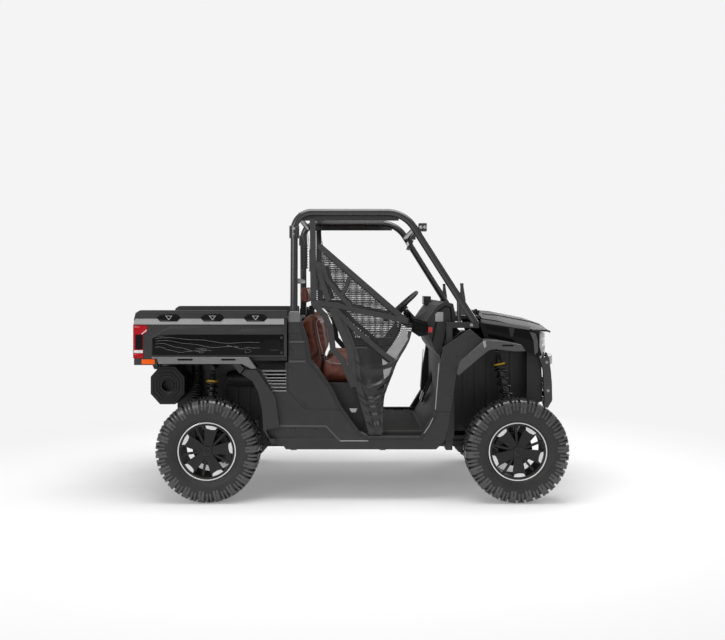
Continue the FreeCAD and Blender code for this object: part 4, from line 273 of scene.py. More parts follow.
def round_edges(made, width, segments=2, angle=35):
    """Rounds every edge sharper than the angle."""
    bevel = made.modifiers.new("rounded_edges", "BEVEL")
    bevel.width, bevel.segments = width, segments
    bevel.limit_method, bevel.angle_limit = "ANGLE", math.radians(angle)
    bevel.harden_normals = True


def add_piece(name, parts, look, node, body="chassis", edge=None, smooth_below=35, replaces=()):
    """One object from parts. Edge holds what round_edges is told, if anything is rounded."""
    points, faces = merge(parts)
    mesh = bpy.data.meshes.new(name)
    mesh.from_pydata(points.tolist(), [], faces)
    shape = bmesh.new()
    shape.from_mesh(mesh)
    bmesh.ops.remove_doubles(shape, verts=shape.verts, dist=1e-6)
    made = finished(mesh, shape, look, body, smooth_below)
    if replaces:
        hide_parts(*replaces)
    if edge:
        round_edges(made, *(edge if isinstance(edge, tuple) else (edge,)))
    return made


def dressed_node(node, look, width, angle=35):
    """Stands in for a CAD node: the same solid with doubled corners merged, flat faces made whole and
    edges rounded over, as a moulding or a folded sheet has them."""
    shape = bmesh.new()
    shape.from_mesh(frame["nodes"][node].data)
    bmesh.ops.remove_doubles(shape, verts=shape.verts, dist=1e-5)
    bmesh.ops.dissolve_limit(shape, angle_limit=math.radians(0.4), verts=shape.verts, edges=shape.edges)
    body = body_of(frame["nodes"][node])[0]
    made = finished(bpy.data.meshes.new(node + "_skin"), shape, look, body, angle)
    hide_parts(node)
    round_edges(made, width, 2, angle)


def tell():
    """Says which pieces a step made, and with how many faces."""
    print("made:", ", ".join("%s %d" % (made.name, len(made.data.polygons)) for made in new_pieces))
    new_pieces.clear()


# %% [markdown]
# ## Effects that many finishes share
# Nothing on a real machine is one flat colour. Moulded plastic has a fine leathery grain, paint has
# a faint orange peel, and every upward face holds a little dust. Each effect is a node group, built
# once, that puts out only masks and heights; each material then uses it with its own values.


# %% Node helpers
def add_node(tree, kind, sockets=None, **settings):
    """New node with its settings, each named socket set to a value or linked to another socket."""
    made = tree.nodes.new(kind)
    for key, value in settings.items():
        setattr(made, key, value)
    for key, value in (sockets or {}).items():
        if isinstance(value, bpy.types.NodeSocket):
            tree.links.new(value, made.inputs[key])
        else:
            made.inputs[key].default_value = value
    return made


def maths(tree, operation, first, second=0.0, third=0.0):
    """Result of one sum of up to three values or sockets."""
    return add_node(tree, "ShaderNodeMath", {0: first, 1: second, 2: third}, operation=operation).outputs[0]


def spread(tree, value, low, high, to_low=0.0, to_high=1.0):
    """Value moved from one range to another and held inside it."""
    return add_node(tree, "ShaderNodeMapRange", {"Value": value, "From Min": low, "From Max": high,
                                                 "To Min": to_low, "To Max": to_high}).outputs[0]


def noise(tree, place, scale, detail, roughness=0.5):
    """Grey noise at a place."""
    return add_node(tree, "ShaderNodeTexNoise", {"Vector": place, "Scale": scale, "Detail": detail,
                                                 "Roughness": roughness}).outputs["Fac"]


def blend_colours(tree, factor, first, second):
    """Colour between two others."""
    return add_node(tree, "ShaderNodeMix", {0: factor, 6: first, 7: second}, data_type="RGBA").outputs[2]


def object_place(tree):
    """The surface's place in its object's own coordinates."""
    return add_node(tree, "ShaderNodeTexCoord").outputs["Object"]


print("node helpers are ready; node groups so far:", len(bpy.data.node_groups))


# %% Making and using a group
def new_group(name, inputs):
    """Empty node group with float inputs, given with their defaults; returns its input sockets too."""
    tree = bpy.data.node_groups.new(name, "ShaderNodeTree")
    for label, value in inputs.items():
        tree.interface.new_socket(label, in_out="INPUT", socket_type="NodeSocketFloat").default_value = value
    return tree, tree.nodes.new("NodeGroupInput").outputs


def give(tree, **results):
    """Ends a group with one named float output for each result."""
    for label in results:
        tree.interface.new_socket(label, in_out="OUTPUT", socket_type="NodeSocketFloat")
    given = tree.nodes.new("NodeGroupOutput")
    for label, socket in results.items():
        tree.links.new(socket, given.inputs[label])


def use_group(tree, name, **values):
    """A group placed in a material with its own values."""
    made = tree.nodes.new("ShaderNodeGroup")
    made.node_tree = bpy.data.node_groups[name]
    for key, value in values.items():
        made.inputs[key].default_value = value
    return made.outputs


print("ready to make node groups; there are", len(bpy.data.node_groups))


# %% Grain, patina and dust
def moulded_grain():
    """Leathery pits of moulded plastic: a cell pattern roughened by noise."""
    tree, taken = new_group("moulded grain", {"Scale": 900.0})
    place = object_place(tree)
    cells = add_node(tree, "ShaderNodeTexVoronoi", {"Vector": place, "Scale": taken["Scale"]},
                     feature="SMOOTH_F1").outputs["Distance"]
    height = maths(tree, "MULTIPLY_ADD", noise(tree, place, taken["Scale"], 3.0), 0.5, cells)
    give(tree, Height=height, Mask=spread(tree, height, 0.3, 0.9))


def patina():
    """Slow unevenness of a surface's colour and gloss, from broad and middling noise together."""
    tree, taken = new_group("patina", {"Scale": 3.0, "Contrast": 1.0})
    place = object_place(tree)
    broad = noise(tree, place, taken["Scale"], 4.0, 0.6)
    middling = noise(tree, place, maths(tree, "MULTIPLY", taken["Scale"], 7.0), 3.0)
    total = maths(tree, "MULTIPLY_ADD", middling, 0.4, maths(tree, "MULTIPLY", broad, 0.6))
    offset = maths(tree, "SUBTRACT", total, 0.5)
    give(tree, Mask=maths(tree, "MULTIPLY_ADD", offset, maths(tree, "MULTIPLY", taken["Contrast"], 3.0), 0.5))


def settled_dust():
    """Dust where a face looks up, and thrown dirt near the ground, both broken up by noise."""
    tree, taken = new_group("settled dust", {"Amount": 0.3, "Reach": 0.5})
    place = object_place(tree)
    facing = add_node(tree, "ShaderNodeSeparateXYZ",
                      {0: add_node(tree, "ShaderNodeNewGeometry").outputs["Normal"]}).outputs["Z"]
    height = add_node(tree, "ShaderNodeSeparateXYZ", {0: place}).outputs["Z"]
    up = maths(tree, "POWER", maths(tree, "MAXIMUM", facing, 0.0), 3.0)
    low = spread(tree, height, taken["Reach"], 0.0)
    total = maths(tree, "MULTIPLY_ADD", low, 0.7, maths(tree, "MULTIPLY", up, 0.6))
    total = maths(tree, "MULTIPLY", total, spread(tree, noise(tree, place, 22.0, 6.0, 0.7), 0.35, 0.75))
    give(tree, Mask=maths(tree, "MULTIPLY", total, taken["Amount"]))


for build_group in (moulded_grain, patina, settled_dust):
    build_group()
print("node groups:", sorted(group.name for group in bpy.data.node_groups))


# %% Brushed lines, hide and open weave
def brushed_lines():
    """Fine lines along X, as a belt leaves them on sheet metal."""
    tree, taken = new_group("brushed lines", {"Scale": 60.0})
    stretched = {"Vector": object_place(tree), "Scale": (0.04, 1.0, 1.0)}
    drawn = add_node(tree, "ShaderNodeMapping", stretched).outputs[0]
    lines = noise(tree, drawn, taken["Scale"], 8.0, 0.75)
    give(tree, Height=lines, Mask=spread(tree, lines, 0.3, 0.7))


def hide_grain():
    """Pebbled grain of seat vinyl: creases between rounded cells, on a softly uneven ground."""
    tree, taken = new_group("hide grain", {"Scale": 260.0})
    place = object_place(tree)
    warp = add_node(tree, "ShaderNodeTexNoise", {"Vector": place, "Scale": 60.0}).outputs["Color"]
    warp = add_node(tree, "ShaderNodeVectorMath", {0: warp, 1: (0.004, 0.004, 0.004)}, operation="MULTIPLY")
    moved_place = add_node(tree, "ShaderNodeVectorMath", {0: place, 1: warp.outputs[0]},
                           operation="ADD").outputs[0]
    cells = add_node(tree, "ShaderNodeTexVoronoi", {"Vector": moved_place, "Scale": taken["Scale"]},
                     feature="DISTANCE_TO_EDGE").outputs["Distance"]
    give(tree, Height=spread(tree, cells, 0.0, 0.12), Mask=spread(tree, cells, 0.0, 0.3))


def open_weave():
    """Knitted net seen flat: six-sided holes in staggered rows, read from the piece's own UV map,
    where one unit is a metre of cloth."""
    tree, taken = new_group("open weave", {"Scale": 115.0, "Hole": 0.19})
    place = add_node(tree, "ShaderNodeUVMap", uv_map="cloth").outputs[0]
    scaled = add_node(tree, "ShaderNodeMapping", {"Vector": place, "Scale": (1.0, 0.62, 1.0)}).outputs[0]
    cells = add_node(tree, "ShaderNodeTexVoronoi",
                     {"Vector": scaled, "Scale": taken["Scale"], "Randomness": 0.12},
                     feature="DISTANCE_TO_EDGE", voronoi_dimensions="2D").outputs["Distance"]
    give(tree, Hole=maths(tree, "GREATER_THAN", cells, taken["Hole"]))


for build_group in (brushed_lines, hide_grain, open_weave):
    build_group()
print("node groups:", sorted(group.name for group in bpy.data.node_groups))

# %% [markdown]
# ## Finishes
# One builder serves every opaque finish. It mixes two near colours by the patina, lays dust over
# them, and lets a grain drive both gloss and a small bump. What differs between a gloss black
# moulding, a powder-coated tube and a rubber tyre is only the values.

# %% The builder
DUST_COLOUR = (0.16, 0.145, 0.125, 1.0)
DIRT_REACH = 0.55


def coloured(value):
    """Grey value or colour triple as a colour with full alpha."""
    return (*((value,) * 3 if isinstance(value, float) else value), 1.0)


def shader_of(name):
    """New material under a name, added to the finishes, with its node tree and main shader."""
    made = finish[name] = bpy.data.materials.new(name)
    made.use_nodes = True
    return made.node_tree, made.node_tree.nodes["Principled BSDF"]


def finish_material(name, dark, light, gloss, dust, grain="moulded grain", scale=900.0, bump=0.00006,
                    metal=0.0, coat=0.0, patina=3.0, specular=0.5, sheen=0.0):
    """Opaque finish from two near colours, a low and a high roughness, and one of the grain groups."""
    tree, shader = shader_of(name)
    uneven = use_group(tree, "patina", Scale=patina)["Mask"]
    grain_out = use_group(tree, grain, Scale=scale)
    settled = use_group(tree, "settled dust", Amount=dust, Reach=DIRT_REACH)["Mask"]
    base = blend_colours(tree, uneven, coloured(dark), coloured(light))
    tree.links.new(blend_colours(tree, settled, base, DUST_COLOUR), shader.inputs["Base Color"])
    mixed = maths(tree, "MULTIPLY_ADD", grain_out["Mask"], 0.5, maths(tree, "MULTIPLY", uneven, 0.5))
    rough = spread(tree, mixed, 0.0, 1.0, *gloss)
    tree.links.new(maths(tree, "MULTIPLY_ADD", settled, 0.4, rough), shader.inputs["Roughness"])
    raised = add_node(tree, "ShaderNodeBump",
                      {"Height": grain_out["Height"], "Distance": bump, "Strength": 0.7})
    tree.links.new(raised.outputs[0], shader.inputs["Normal"])
    for socket, value in (("Metallic", metal), ("Coat Weight", coat), ("Coat Roughness", 0.06),
                          ("Specular IOR Level", specular), ("Sheen Weight", sheen)):
        shader.inputs[socket].default_value = value
    return tree, shader


print("dirt thrown up reaches", DIRT_REACH, "m")

# %% Paints and mouldings
LINES, HIDE = "brushed lines", "hide grain"
finish_material("frame paint", 0.010, 0.018, (0.35, 0.5), 0.6, bump=0.0001, scale=300.0)
finish_material("cage paint", 0.012, 0.019, (0.18, 0.27), 0.04, bump=0.00005, scale=500.0, specular=0.7)
finish_material("charcoal moulding", 0.013, 0.019, (0.42, 0.56), 0.16)
finish_material("dark vinyl moulding", 0.009, 0.014, (0.5, 0.62), 0.2)
finish_material("hood moulding", 0.009, 0.013, (0.46, 0.58), 0.04, specular=0.28)
finish_material("gloss black", 0.002, 0.004, (0.06, 0.14), 0.015, bump=0.00001, specular=0.14)
finish_material("grey flare", 0.052, 0.066, (0.34, 0.46), 0.06)
finish_material("cap grey", 0.105, 0.13, (0.35, 0.45), 0.05)
finish_material("light grey cap", 0.26, 0.32, (0.35, 0.45), 0.1)
finish_material("silver trim", 0.33, 0.37, (0.26, 0.34), 0.02, metal=0.35, bump=0.00001)
finish_material("lip silver", 0.16, 0.19, (0.24, 0.32), 0.02, metal=0.4, bump=0.00001)
finish_material("spring paint", 0.007, 0.011, (0.14, 0.24), 0.2, coat=0.5, bump=0.00002)
finish_material("muffler coat", 0.006, 0.010, (0.26, 0.38), 0.08, metal=0.2, specular=0.4, scale=420.0)
finish_material("decal lines", 0.17, 0.22, (0.2, 0.3), 0.03, coat=0.5, bump=0.00001)
print("finishes so far:", len(finish))

# %% Metals, rubbers and cloths
finish_material("cast metal", 0.09, 0.15, (0.45, 0.62), 0.7, metal=0.75, scale=350.0, bump=0.0003)
finish_material("zinc steel", 0.34, 0.46, (0.28, 0.45), 0.3, LINES, 80.0, 0.00003, metal=1.0)
finish_material("dark steel", 0.035, 0.055, (0.3, 0.45), 0.45, metal=0.6, scale=400.0)
finish_material("rim black", 0.004, 0.007, (0.24, 0.34), 0.08, specular=0.35, bump=0.00002)
finish_material("machined rim", 0.62, 0.72, (0.16, 0.26), 0.05, LINES, 120.0, 0.00001, metal=1.0)
finish_material("tyre rubber", 0.009, 0.014, (0.44, 0.60), 0.15, scale=500.0, bump=0.0002, patina=8.0)
# Tread rubber is lighter than the tyre rubber: a painted highlight for the blocks, whose shoulders catch the
# light.
finish_material("tread rubber", 0.022, 0.042, (0.27, 0.38), 0.10, scale=500.0, bump=0.0002, patina=14.0,
                specular=0.95)
finish_material("duct rubber", 0.010, 0.015, (0.45, 0.6), 0.4, scale=500.0)
finish_material("seat vinyl", (0.135, 0.036, 0.020), (0.185, 0.052, 0.030), (0.38, 0.52), 0.08, HIDE, 260.0,
                0.00035)
finish_material("skirt cloth", 0.006, 0.010, (0.26, 0.36), 0.04, HIDE, 700.0, 0.00008)
finish_material("piping", 0.30, 0.36, (0.5, 0.6), 0.05)
finish_material("webbing", 0.012, 0.020, (0.7, 0.85), 0.1, LINES, bump=0.0002, sheen=0.3)
finish_material("strap webbing", 0.016, 0.028, (0.5, 0.7), 0.12, LINES, bump=0.00012, sheen=0.15)
finish_material("window cloth", 0.26, 0.33, (0.5, 0.65), 0.05, LINES, 800.0)
print("finishes so far:", len(finish))

# %% Lamp colours, ring and switch
finish_material("lamp red", (0.34, 0.001, 0.006), (0.44, 0.003, 0.012), (0.08, 0.14), 0.01, specular=0.2,
                bump=0.00001)
finish_material("lamp amber", (0.78, 0.085, 0.002), (0.88, 0.13, 0.004), (0.08, 0.14), 0.01, specular=0.2,
                bump=0.00001)
finish_material("lamp white", 0.62, 0.72, (0.06, 0.12), 0.05, coat=0.8, bump=0.00001)
finish_material("ring yellow", (0.60, 0.34, 0.015), (0.72, 0.44, 0.03), (0.3, 0.42), 0.1)
finish_material("switch red", (0.35, 0.02, 0.02), (0.45, 0.03, 0.03), (0.3, 0.4), 0.05)
finish_material("mirror glass", 0.82, 0.86, (0.01, 0.03), 0.02, metal=1.0, bump=0.0)
print("finishes so far:", len(finish))

# %% Lens and net
tree, shader = shader_of("clear lens")
marks = use_group(tree, "patina", Scale=30.0)["Mask"]
tree.links.new(spread(tree, marks, 0.0, 1.0, 0.02, 0.08), shader.inputs["Roughness"])
tree.links.new(blend_colours(tree, marks, coloured(0.86), coloured(0.92)), shader.inputs["Base Color"])
shader.inputs["Transmission Weight"].default_value = 0.85
shader.inputs["IOR"].default_value = 1.45
tree, shader = finish_material("net cloth", 0.010, 0.016, (0.6, 0.75), 0.05, LINES, 700.0, 0.0001, sheen=0.2)
hole = use_group(tree, "open weave")["Hole"]
tree.links.new(maths(tree, "SUBTRACT", 1.0, hole), shader.inputs["Alpha"])
print("finishes:", len(finish))

# %% [markdown]
# ## The studio
# The picture is taken square to the side from chest height, so the far wheels hide behind the near
# ones and the hood's crown just shows. The room is pale all round. A broad lamp overhead lights the
# top edges, and a weaker one beside the camera keeps the black sides readable. The floor is a plain
# pale sheet. It shows its own colour to the camera and keeps the soft shadow that ties the wheels
# to the ground.

# %% Camera
CAMERA_PLACE, LENS, SENSOR, SHIFT = (0.0, -6.91, 1.427), 46.2, 36.0, (0.0131, -0.0455)
eye = bpy.data.objects.new("camera", bpy.data.cameras.new("camera"))
eye.location, eye.rotation_euler = CAMERA_PLACE, (math.pi / 2, 0, 0)
eye.data.lens, eye.data.sensor_width = LENS, SENSOR
eye.data.shift_x, eye.data.shift_y = SHIFT
bpy.context.scene.collection.objects.link(eye)
bpy.context.scene.camera = eye
bpy.context.scene.view_settings.view_transform = "Standard"
print("camera at", CAMERA_PLACE)


# %% Lamps
def lamp(name, place, aim, size, power):
    """Rectangular soft lamp turned towards a point."""
    data = bpy.data.lights.new(name, "AREA")
    data.shape, data.size, data.size_y, data.energy = "RECTANGLE", size[0], size[1], power
    made = bpy.data.objects.new(name, data)
    made.location = place
    way = np.asarray(aim, float) - np.asarray(place, float)
    flat = math.hypot(way[0], way[1])
    made.rotation_euler = (math.atan2(flat, -way[2]), 0, math.atan2(way[1], way[0]) - math.pi / 2)
    bpy.context.scene.collection.objects.link(made)


lamp("overhead", (0.2, -0.6, 5.2), (0.0, 0.0, 0.8), (5.0, 3.4), 270.0)
lamp("beside_camera", (-4.5, -6.5, 3.6), (0.0, 0.0, 0.9), (3.0, 2.4), 120.0)
lamp("far_side", (3.5, 5.5, 3.2), (0.0, 0.0, 0.9), (3.0, 2.4), 90.0)

# %% Pale room
PALE, ROOM_LIGHT = 0.905, 0.54


def looked_at(tree, *rays):
    """One where any of the named kinds of ray meets the surface."""
    seen = add_node(tree, "ShaderNodeLightPath").outputs
    total = seen[rays[0]]
    for ray in rays[1:]:
        total = maths(tree, "MAXIMUM", total, seen[ray])
    return total


world = bpy.context.scene.world = bpy.data.worlds.new("pale room")
world.use_nodes = True
back = world.node_tree.nodes["Background"]
back.inputs["Color"].default_value = coloured(PALE)
any_look = looked_at(world.node_tree, "Is Camera Ray", "Is Transmission Ray")
world.node_tree.links.new(spread(world.node_tree, any_look, 0.0, 1.0, ROOM_LIGHT, 1.0), back.inputs["Strength"])
print("room light:", ROOM_LIGHT)

# %% Floor that keeps the shadow
FLOOR_HALF, FLOOR_COLOUR = 60.0, 0.90
SHADOW_REACH, PLAIN_SHARE = (2.2, 4.2), 0.25
ground = bpy.data.meshes.new("floor")
ground.from_pydata([(x * FLOOR_HALF, y * FLOOR_HALF, 0) for x, y in ((-1, -1), (1, -1), (1, 1), (-1, 1))], [],
                   [(0, 1, 2, 3)])
sheet_of_floor = bpy.data.objects.new("floor", ground)
bpy.context.scene.collection.objects.link(sheet_of_floor)
sheet_of_floor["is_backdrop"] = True
tree, shader = shader_of("pale floor")
ground.materials.append(finish["pale floor"])
shader.inputs["Roughness"].default_value = 0.9
shader.inputs["Specular IOR Level"].default_value = 0.0
shader.inputs["Base Color"].default_value = coloured(FLOOR_COLOUR)
looks = looked_at(tree, "Is Camera Ray", "Is Glossy Ray", "Is Transmission Ray")
distance = add_node(tree, "ShaderNodeVectorMath", {0: object_place(tree)}, operation="LENGTH").outputs["Value"]
far = spread(tree, distance, *SHADOW_REACH, PLAIN_SHARE, 1.0)
plain = add_node(tree, "ShaderNodeEmission", {"Color": coloured(PALE), "Strength": 1.0}).outputs[0]
mixed = add_node(tree, "ShaderNodeMixShader", {0: maths(tree, "MULTIPLY", far, looks), 1: shader.outputs[0],
                                               2: plain}).outputs[0]
tree.links.new(mixed, tree.nodes["Material Output"].inputs["Surface"])
print("shadow kept within", SHADOW_REACH[1], "m")

# %% [markdown]
# ## Finishes for the solid pieces
# A frame rail or a knuckle needs only its paint. A moulded panel needs more: real mouldings have
# rounded edges that catch a line of light, and that line is what the eye reads as quality. So the
# panels are dressed copies of their solids, with merged corners and rounded edges.

# %% Plain nodes
NODES_WITH = {
    "frame paint": "main_frame rear_frame front_frame hitch_receiver suspension_arms",
    "charcoal moulding": "skid_plate roof_panel bed_tub tailgate bed_sides side_panels front_fenders",
    "cast metal": "engine_block drive_cases rear_hub_carriers knuckle_left knuckle_right",
    "dark vinyl moulding": "floor_pan seat_base steering_column cabin_mirror steering_wheel dashboard",
    "cage paint": "cage_sides cage_crossbars front_bumper", "duct rubber": "intake_duct",
    "webbing": "door_nets", "dark steel": "half_shafts", "zinc steel": "steering_rack",
    "hood moulding": "hood", "clear lens": "headlamps", "muffler coat": "exhaust_muffler",
    "spring paint": "shock_absorbers", "seat vinyl": "seat_cushions seat_backs",
    "lamp red": "tail_lamps", "lamp amber": "side_markers", "gloss black": "front_fascia",
}
LOOK_OF = {node: look for look, nodes in NODES_WITH.items() for node in nodes.split()}
for node, made in frame["nodes"].items():
    if node not in LOOK_OF:
        LOOK_OF[node] = "tyre rubber" if node.startswith("tyre") else "rim black"
    made.data.materials.clear()
    made.data.materials.append(finish[LOOK_OF[node]])
print("nodes with a finish:", len(LOOK_OF))

# %% Dressed panels
SKIN_EDGES = ((0.009, "side_panels front_fenders"),
              (0.004, "front_fascia bed_tub tailgate roof_panel front_bumper dashboard bed_sides"),
              (0.009, "engine_block"), (0.004, "drive_cases exhaust_muffler floor_pan seat_base"))
for width, nodes in SKIN_EDGES:
    for node in nodes.split():
        dressed_node(node, LOOK_OF[node], width)
tell()

# %% [markdown]
# ## Tyres
# An off-road tyre is a smooth bag with blocks moulded round it. The blocks start near the middle of
# the tread, turn over the shoulder and fade into the side wall, and it is their shoulders that catch
# the light. One block is a bar carried along that bent line, and the ring of blocks is that bar
# turned round the axle. Long blocks with a groove alternate with short ones joined like an H.


# %% Curves for the wheels
def smooth_line(points, steps=5):
    """Curve through every point: on each run a cubic that leaves and meets its ends along the line
    between their neighbours."""
    points = np.asarray(points, float)
    held = np.vstack([2 * points[0] - points[1], points, 2 * points[-1] - points[-2]])
    count = len(points) - 1
    a, b, c, d = (held[i:i + count][None] for i in range(4))
    t = np.linspace(0, 1, steps, endpoint=False)[:, None, None]
    rows = 0.5 * (2 * b + (c - a) * t + (2 * a - 5 * b + 4 * c - d) * t ** 2 + (3 * b - a - 3 * c + d) * t ** 3)
    return np.vstack([rows.transpose(1, 0, 2).reshape(-1, points.shape[1]), points[-1:]])


def turned_about_y(part, turns):
    """Copies of a part turned about the axle line by each angle."""
    points, faces = part
    turns = np.asarray(turns, float)[:, None]
    x = points[None, :, 0] * np.cos(turns) + points[None, :, 2] * np.sin(turns)
    z = points[None, :, 2] * np.cos(turns) - points[None, :, 0] * np.sin(turns)
    copies = np.stack([x, np.broadcast_to(points[None, :, 1], x.shape), z], -1)
    return merge([(copy, faces) for copy in copies])


def moved(part, offset):
    """The part shifted by an offset."""
    return part[0] + np.asarray(offset, float), part[1]


print("a smooth line through 3 points has", len(smooth_line([(0, 0), (1, 1), (2, 0)])), "points")

# %% Lines of the carcass and the blocks, as share of the width and radius
WHEELS = {"front": (FRONT_AXLE_X, 0.695, 0.230), "rear": (REAR_AXLE_X, 0.670, 0.280)}
BLOCK_PAIRS, TREAD_TOP = 18, 0.343
CARCASS_LINE = [(0.181, 0.345), (0.187, 0.372), (0.196, 0.392), (0.202, 0.424), (0.208, 0.430), (0.226, 0.466),
                (0.258, 0.487), (0.288, 0.480), (0.306, 0.452), (0.3185, 0.400), (0.3235, 0.30), (0.3245, 0.15),
                (0.3245, 0.0)]
LONG_LINE = [(0.035, 0.3425), (0.2, 0.343), (0.345, 0.3415), (0.415, 0.3345), (0.462, 0.318), (0.486, 0.297),
             (0.494, 0.278), (0.4965, 0.258)]
SHORT_LINE = [(0.17, 0.3425), (0.28, 0.343), (0.36, 0.3405), (0.42, 0.333), (0.464, 0.3165), (0.486, 0.296),
              (0.4935, 0.274)]
BRIDGE_LINE = [(0.27, 0.3425), (0.31, 0.3425), (0.352, 0.341)]
BAR_DEPTHS = [0.020, 0.022, 0.022, 0.020, 0.016, 0.010, 0.006]
LONG_BARS = ((-0.0135, 0.0185, 0.0), (0.0135, 0.0185, 0.0), (0.0, 0.0145, 0.0030))
SHORT_BARS = ((-0.013, 0.0145, 0.0), (0.013, 0.0145, 0.0))
print("blocks round a tyre:", 4 * BLOCK_PAIRS)


# %% One tyre
def tread_bar(line, width, offset, bar, lower, depths=BAR_DEPTHS, skew=0.010):
    """Bar under a line of (share of width, radius): at each point a ring of four corners, half the
    bar either side of the line and from the top down by the depth. Its place round the tyre is the
    offset plus a skew that grows outwards."""
    line = smooth_line(line, 2) * np.array([width, 1.0])
    run = unit(np.gradient(line, axis=0))
    outward = np.column_stack([-run[:, 1], run[:, 0]])
    sunk = np.interp(np.linspace(0, 1, len(line)), np.linspace(0, 1, len(depths)), depths)[:, None]
    top, deep = line - outward * lower, line - outward * sunk
    along = offset + skew * line[:, 0] / line[-1, 0]
    half, foot = bar / 2, bar / 2 * 1.18
    rings = [np.column_stack([p[:, 1] * np.sin(s / TREAD_TOP), p[:, 0], p[:, 1] * np.cos(s / TREAD_TOP)])
             for s, p in ((along - foot, deep), (along - half, top), (along + half, top), (along + foot, deep))]
    return grid_part(np.stack(rings, 1), False, True, True)


def tyre_parts(width):
    """Carcass and both shoulders' blocks, centred on the axle line."""
    half = smooth_line(CARCASS_LINE, 4)
    whole = np.vstack([half, half[-2::-1] * np.array([1.0, -1.0])]) * np.array([1.0, width])
    long_block = merge([tread_bar(LONG_LINE, width, *bar) for bar in LONG_BARS])
    short_block = merge([tread_bar(SHORT_LINE, width, *bar) for bar in SHORT_BARS]
                        + [tread_bar(BRIDGE_LINE, width, 0.004, 0.018, 0.002, BAR_DEPTHS[:3], 0.003)])
    step = 2 * math.pi / BLOCK_PAIRS
    turns = np.arange(BLOCK_PAIRS) * step
    one_side = [turned_about_y(long_block, turns), turned_about_y(short_block, turns + step / 2)]
    other_side = [turned_about_y(mirror_part(block), [step / 4]) for block in one_side]
    return [lathe(whole, (0, 0, 0), count=108)] + one_side + other_side


def corners():
    """End, name, side, place and width of each corner."""
    for end, (x, y, width) in WHEELS.items():
        for side_name, side in (("left", 1), ("right", -1)):
            yield end, "%s_%s" % (end, side_name), side, x, y * side, width


for end, name, side, x, y, width in corners():
    parts = tyre_parts(width)
    for label, some, look, edge in (("tyre_body_", parts[:1], "tyre rubber", None),
                                    ("tread_", parts[1:], "tread rubber", (0.0016, 1, 40))):
        add_piece(label + name, [moved(merge(some), (x, y, AXLE_Z))], look, "tyre_" + name, "wheel_" + name,
                  edge, 32, ("tyre_" + name,))
tell()

# %% [markdown]
# ## Wheels
# The rims are black, and a cutter has then skimmed the wide spokes' outer ends and the lip back to
# bare alloy. Skimmed metal stands a hair proud of the paint here, so it is a thin plate on each
# spoke that climbs on to the lip, and a thin turned ring over the lip.

# %% Skimmed ends and lip
SPOKE_ANGLES = {"front": 58.0, "rear": 80.0}
SPOKE_FACE = {"front": 0.0828, "rear": 0.1008}


def skimmed_end(direction, face, lip):
    """Plate on a spoke's end: at each angle a ring of five corners between a straight inner edge and
    the round outer one, the plate narrowing inwards and climbing on to the lip outwards."""
    share = np.linspace(-1, 1, 11)
    outer, inner = np.radians(direction + 14.2 * share), np.radians(direction + 11.0 * share)
    reach = 0.144 / np.cos(np.radians(11.0 * share)) + 0.004 * np.abs(share)
    rings = [np.column_stack([radius * np.cos(angle), np.full(11, y), radius * np.sin(angle)])
             for angle, radius, y in ((inner, reach, face - 0.002), (outer, 0.1852, face - 0.002),
                                      (outer, 0.1852, lip + 0.0010), (outer, 0.1775, face + 0.0016),
                                      (inner, reach, face + 0.0012))]
    return grid_part(np.stack(rings, 1), False, True, True)


def skimmed_parts(end, width):
    """Five spoke ends and the lip ring of one wheel, centred on the axle line."""
    face, lip = SPOKE_FACE[end], 0.36 * width + 0.0083
    ring = [(0.1835, lip - 0.006), (0.1925, lip - 0.004), (0.1925, lip + 0.0008), (0.189, lip + 0.0018),
            (0.185, lip + 0.0012), (0.1835, lip - 0.001)]
    ends = [skimmed_end(SPOKE_ANGLES[end] + 72 * k, face, lip) for k in range(5)]
    return ends + [lathe(ring, (0, 0, 0), count=96)]


print("faces on one skimmed end:", len(skimmed_end(0, 0, 0)[1]))


# %% Nuts, cap ring and rims
def nut_parts(end, _):
    """Hub nuts on their seats, and the cap's ring line."""
    face = SPOKE_FACE[end]
    nut = [(0.0, face - 0.004), (0.0052, face - 0.004), (0.0052, face + 0.007), (0.004, face + 0.0085),
           (0.0, face + 0.0085)]
    ring = [(0.0235, face + 0.0085), (0.0262, face + 0.0085), (0.0262, face + 0.0098), (0.0235, face + 0.0098)]
    angles = np.radians(SPOKE_ANGLES[end] + 36 + 72 * np.arange(5))
    return [lathe(ring, (0, 0, 0))] + [lathe(nut, (0.0385 * math.cos(a), 0, 0.0385 * math.sin(a)), count=6)
                                       for a in angles]


for end, name, side, x, y, width in corners():
    for label, parts_of, look in (("skimmed_", skimmed_parts, "machined rim"),
                                  ("hub_nuts_", nut_parts, "dark steel")):
        part = merge(parts_of(end, width))
        add_piece(label + name, [moved(part if side > 0 else mirror_part(part), (x, y, AXLE_Z))], look,
                  "rim_" + name, "wheel_" + name)
    dressed_node("rim_" + name, "rim black", 0.0022, 30)
tell()

# %% [markdown]
# ## Brakes
# Behind the spokes sits a caliper. It doesn't turn with the wheel: the front ones ride on the
# knuckles and the rear ones on the hub carriers, which are part of the chassis.


# %% Calipers
def arc_block(radii, places, lean, half):
    """Block bent round the axle line: at each angle four corners, from two radii and two places."""
    angle = np.radians(lean + np.linspace(-half, half, 7))
    rings = [np.column_stack([radii[i] * np.cos(angle), np.full(7, places[j]), radii[i] * np.sin(angle)])
             for i, j in ((0, 0), (1, 0), (1, 1), (0, 1))]
    return grid_part(np.stack(rings, 1), False, True, True)


def caliper_parts(lean):
    """Two-piston caliper over the disc's edge: two cheeks, a bridge and two pots."""
    pot = [(0.0, -0.046), (0.013, -0.046), (0.016, -0.042), (0.016, -0.02), (0.0, -0.02)]
    cheeks = [arc_block((0.088, 0.136), ys, lean, 22) for ys in ((-0.033, -0.019), (0.009, 0.019))]
    angles = np.radians([lean - 9, lean + 9])
    return cheeks + [arc_block((0.122, 0.138), (-0.03, 0.016), lean, 20)] + [
        lathe(pot, (0.107 * math.cos(a), 0, 0.107 * math.sin(a)), count=24) for a in angles]


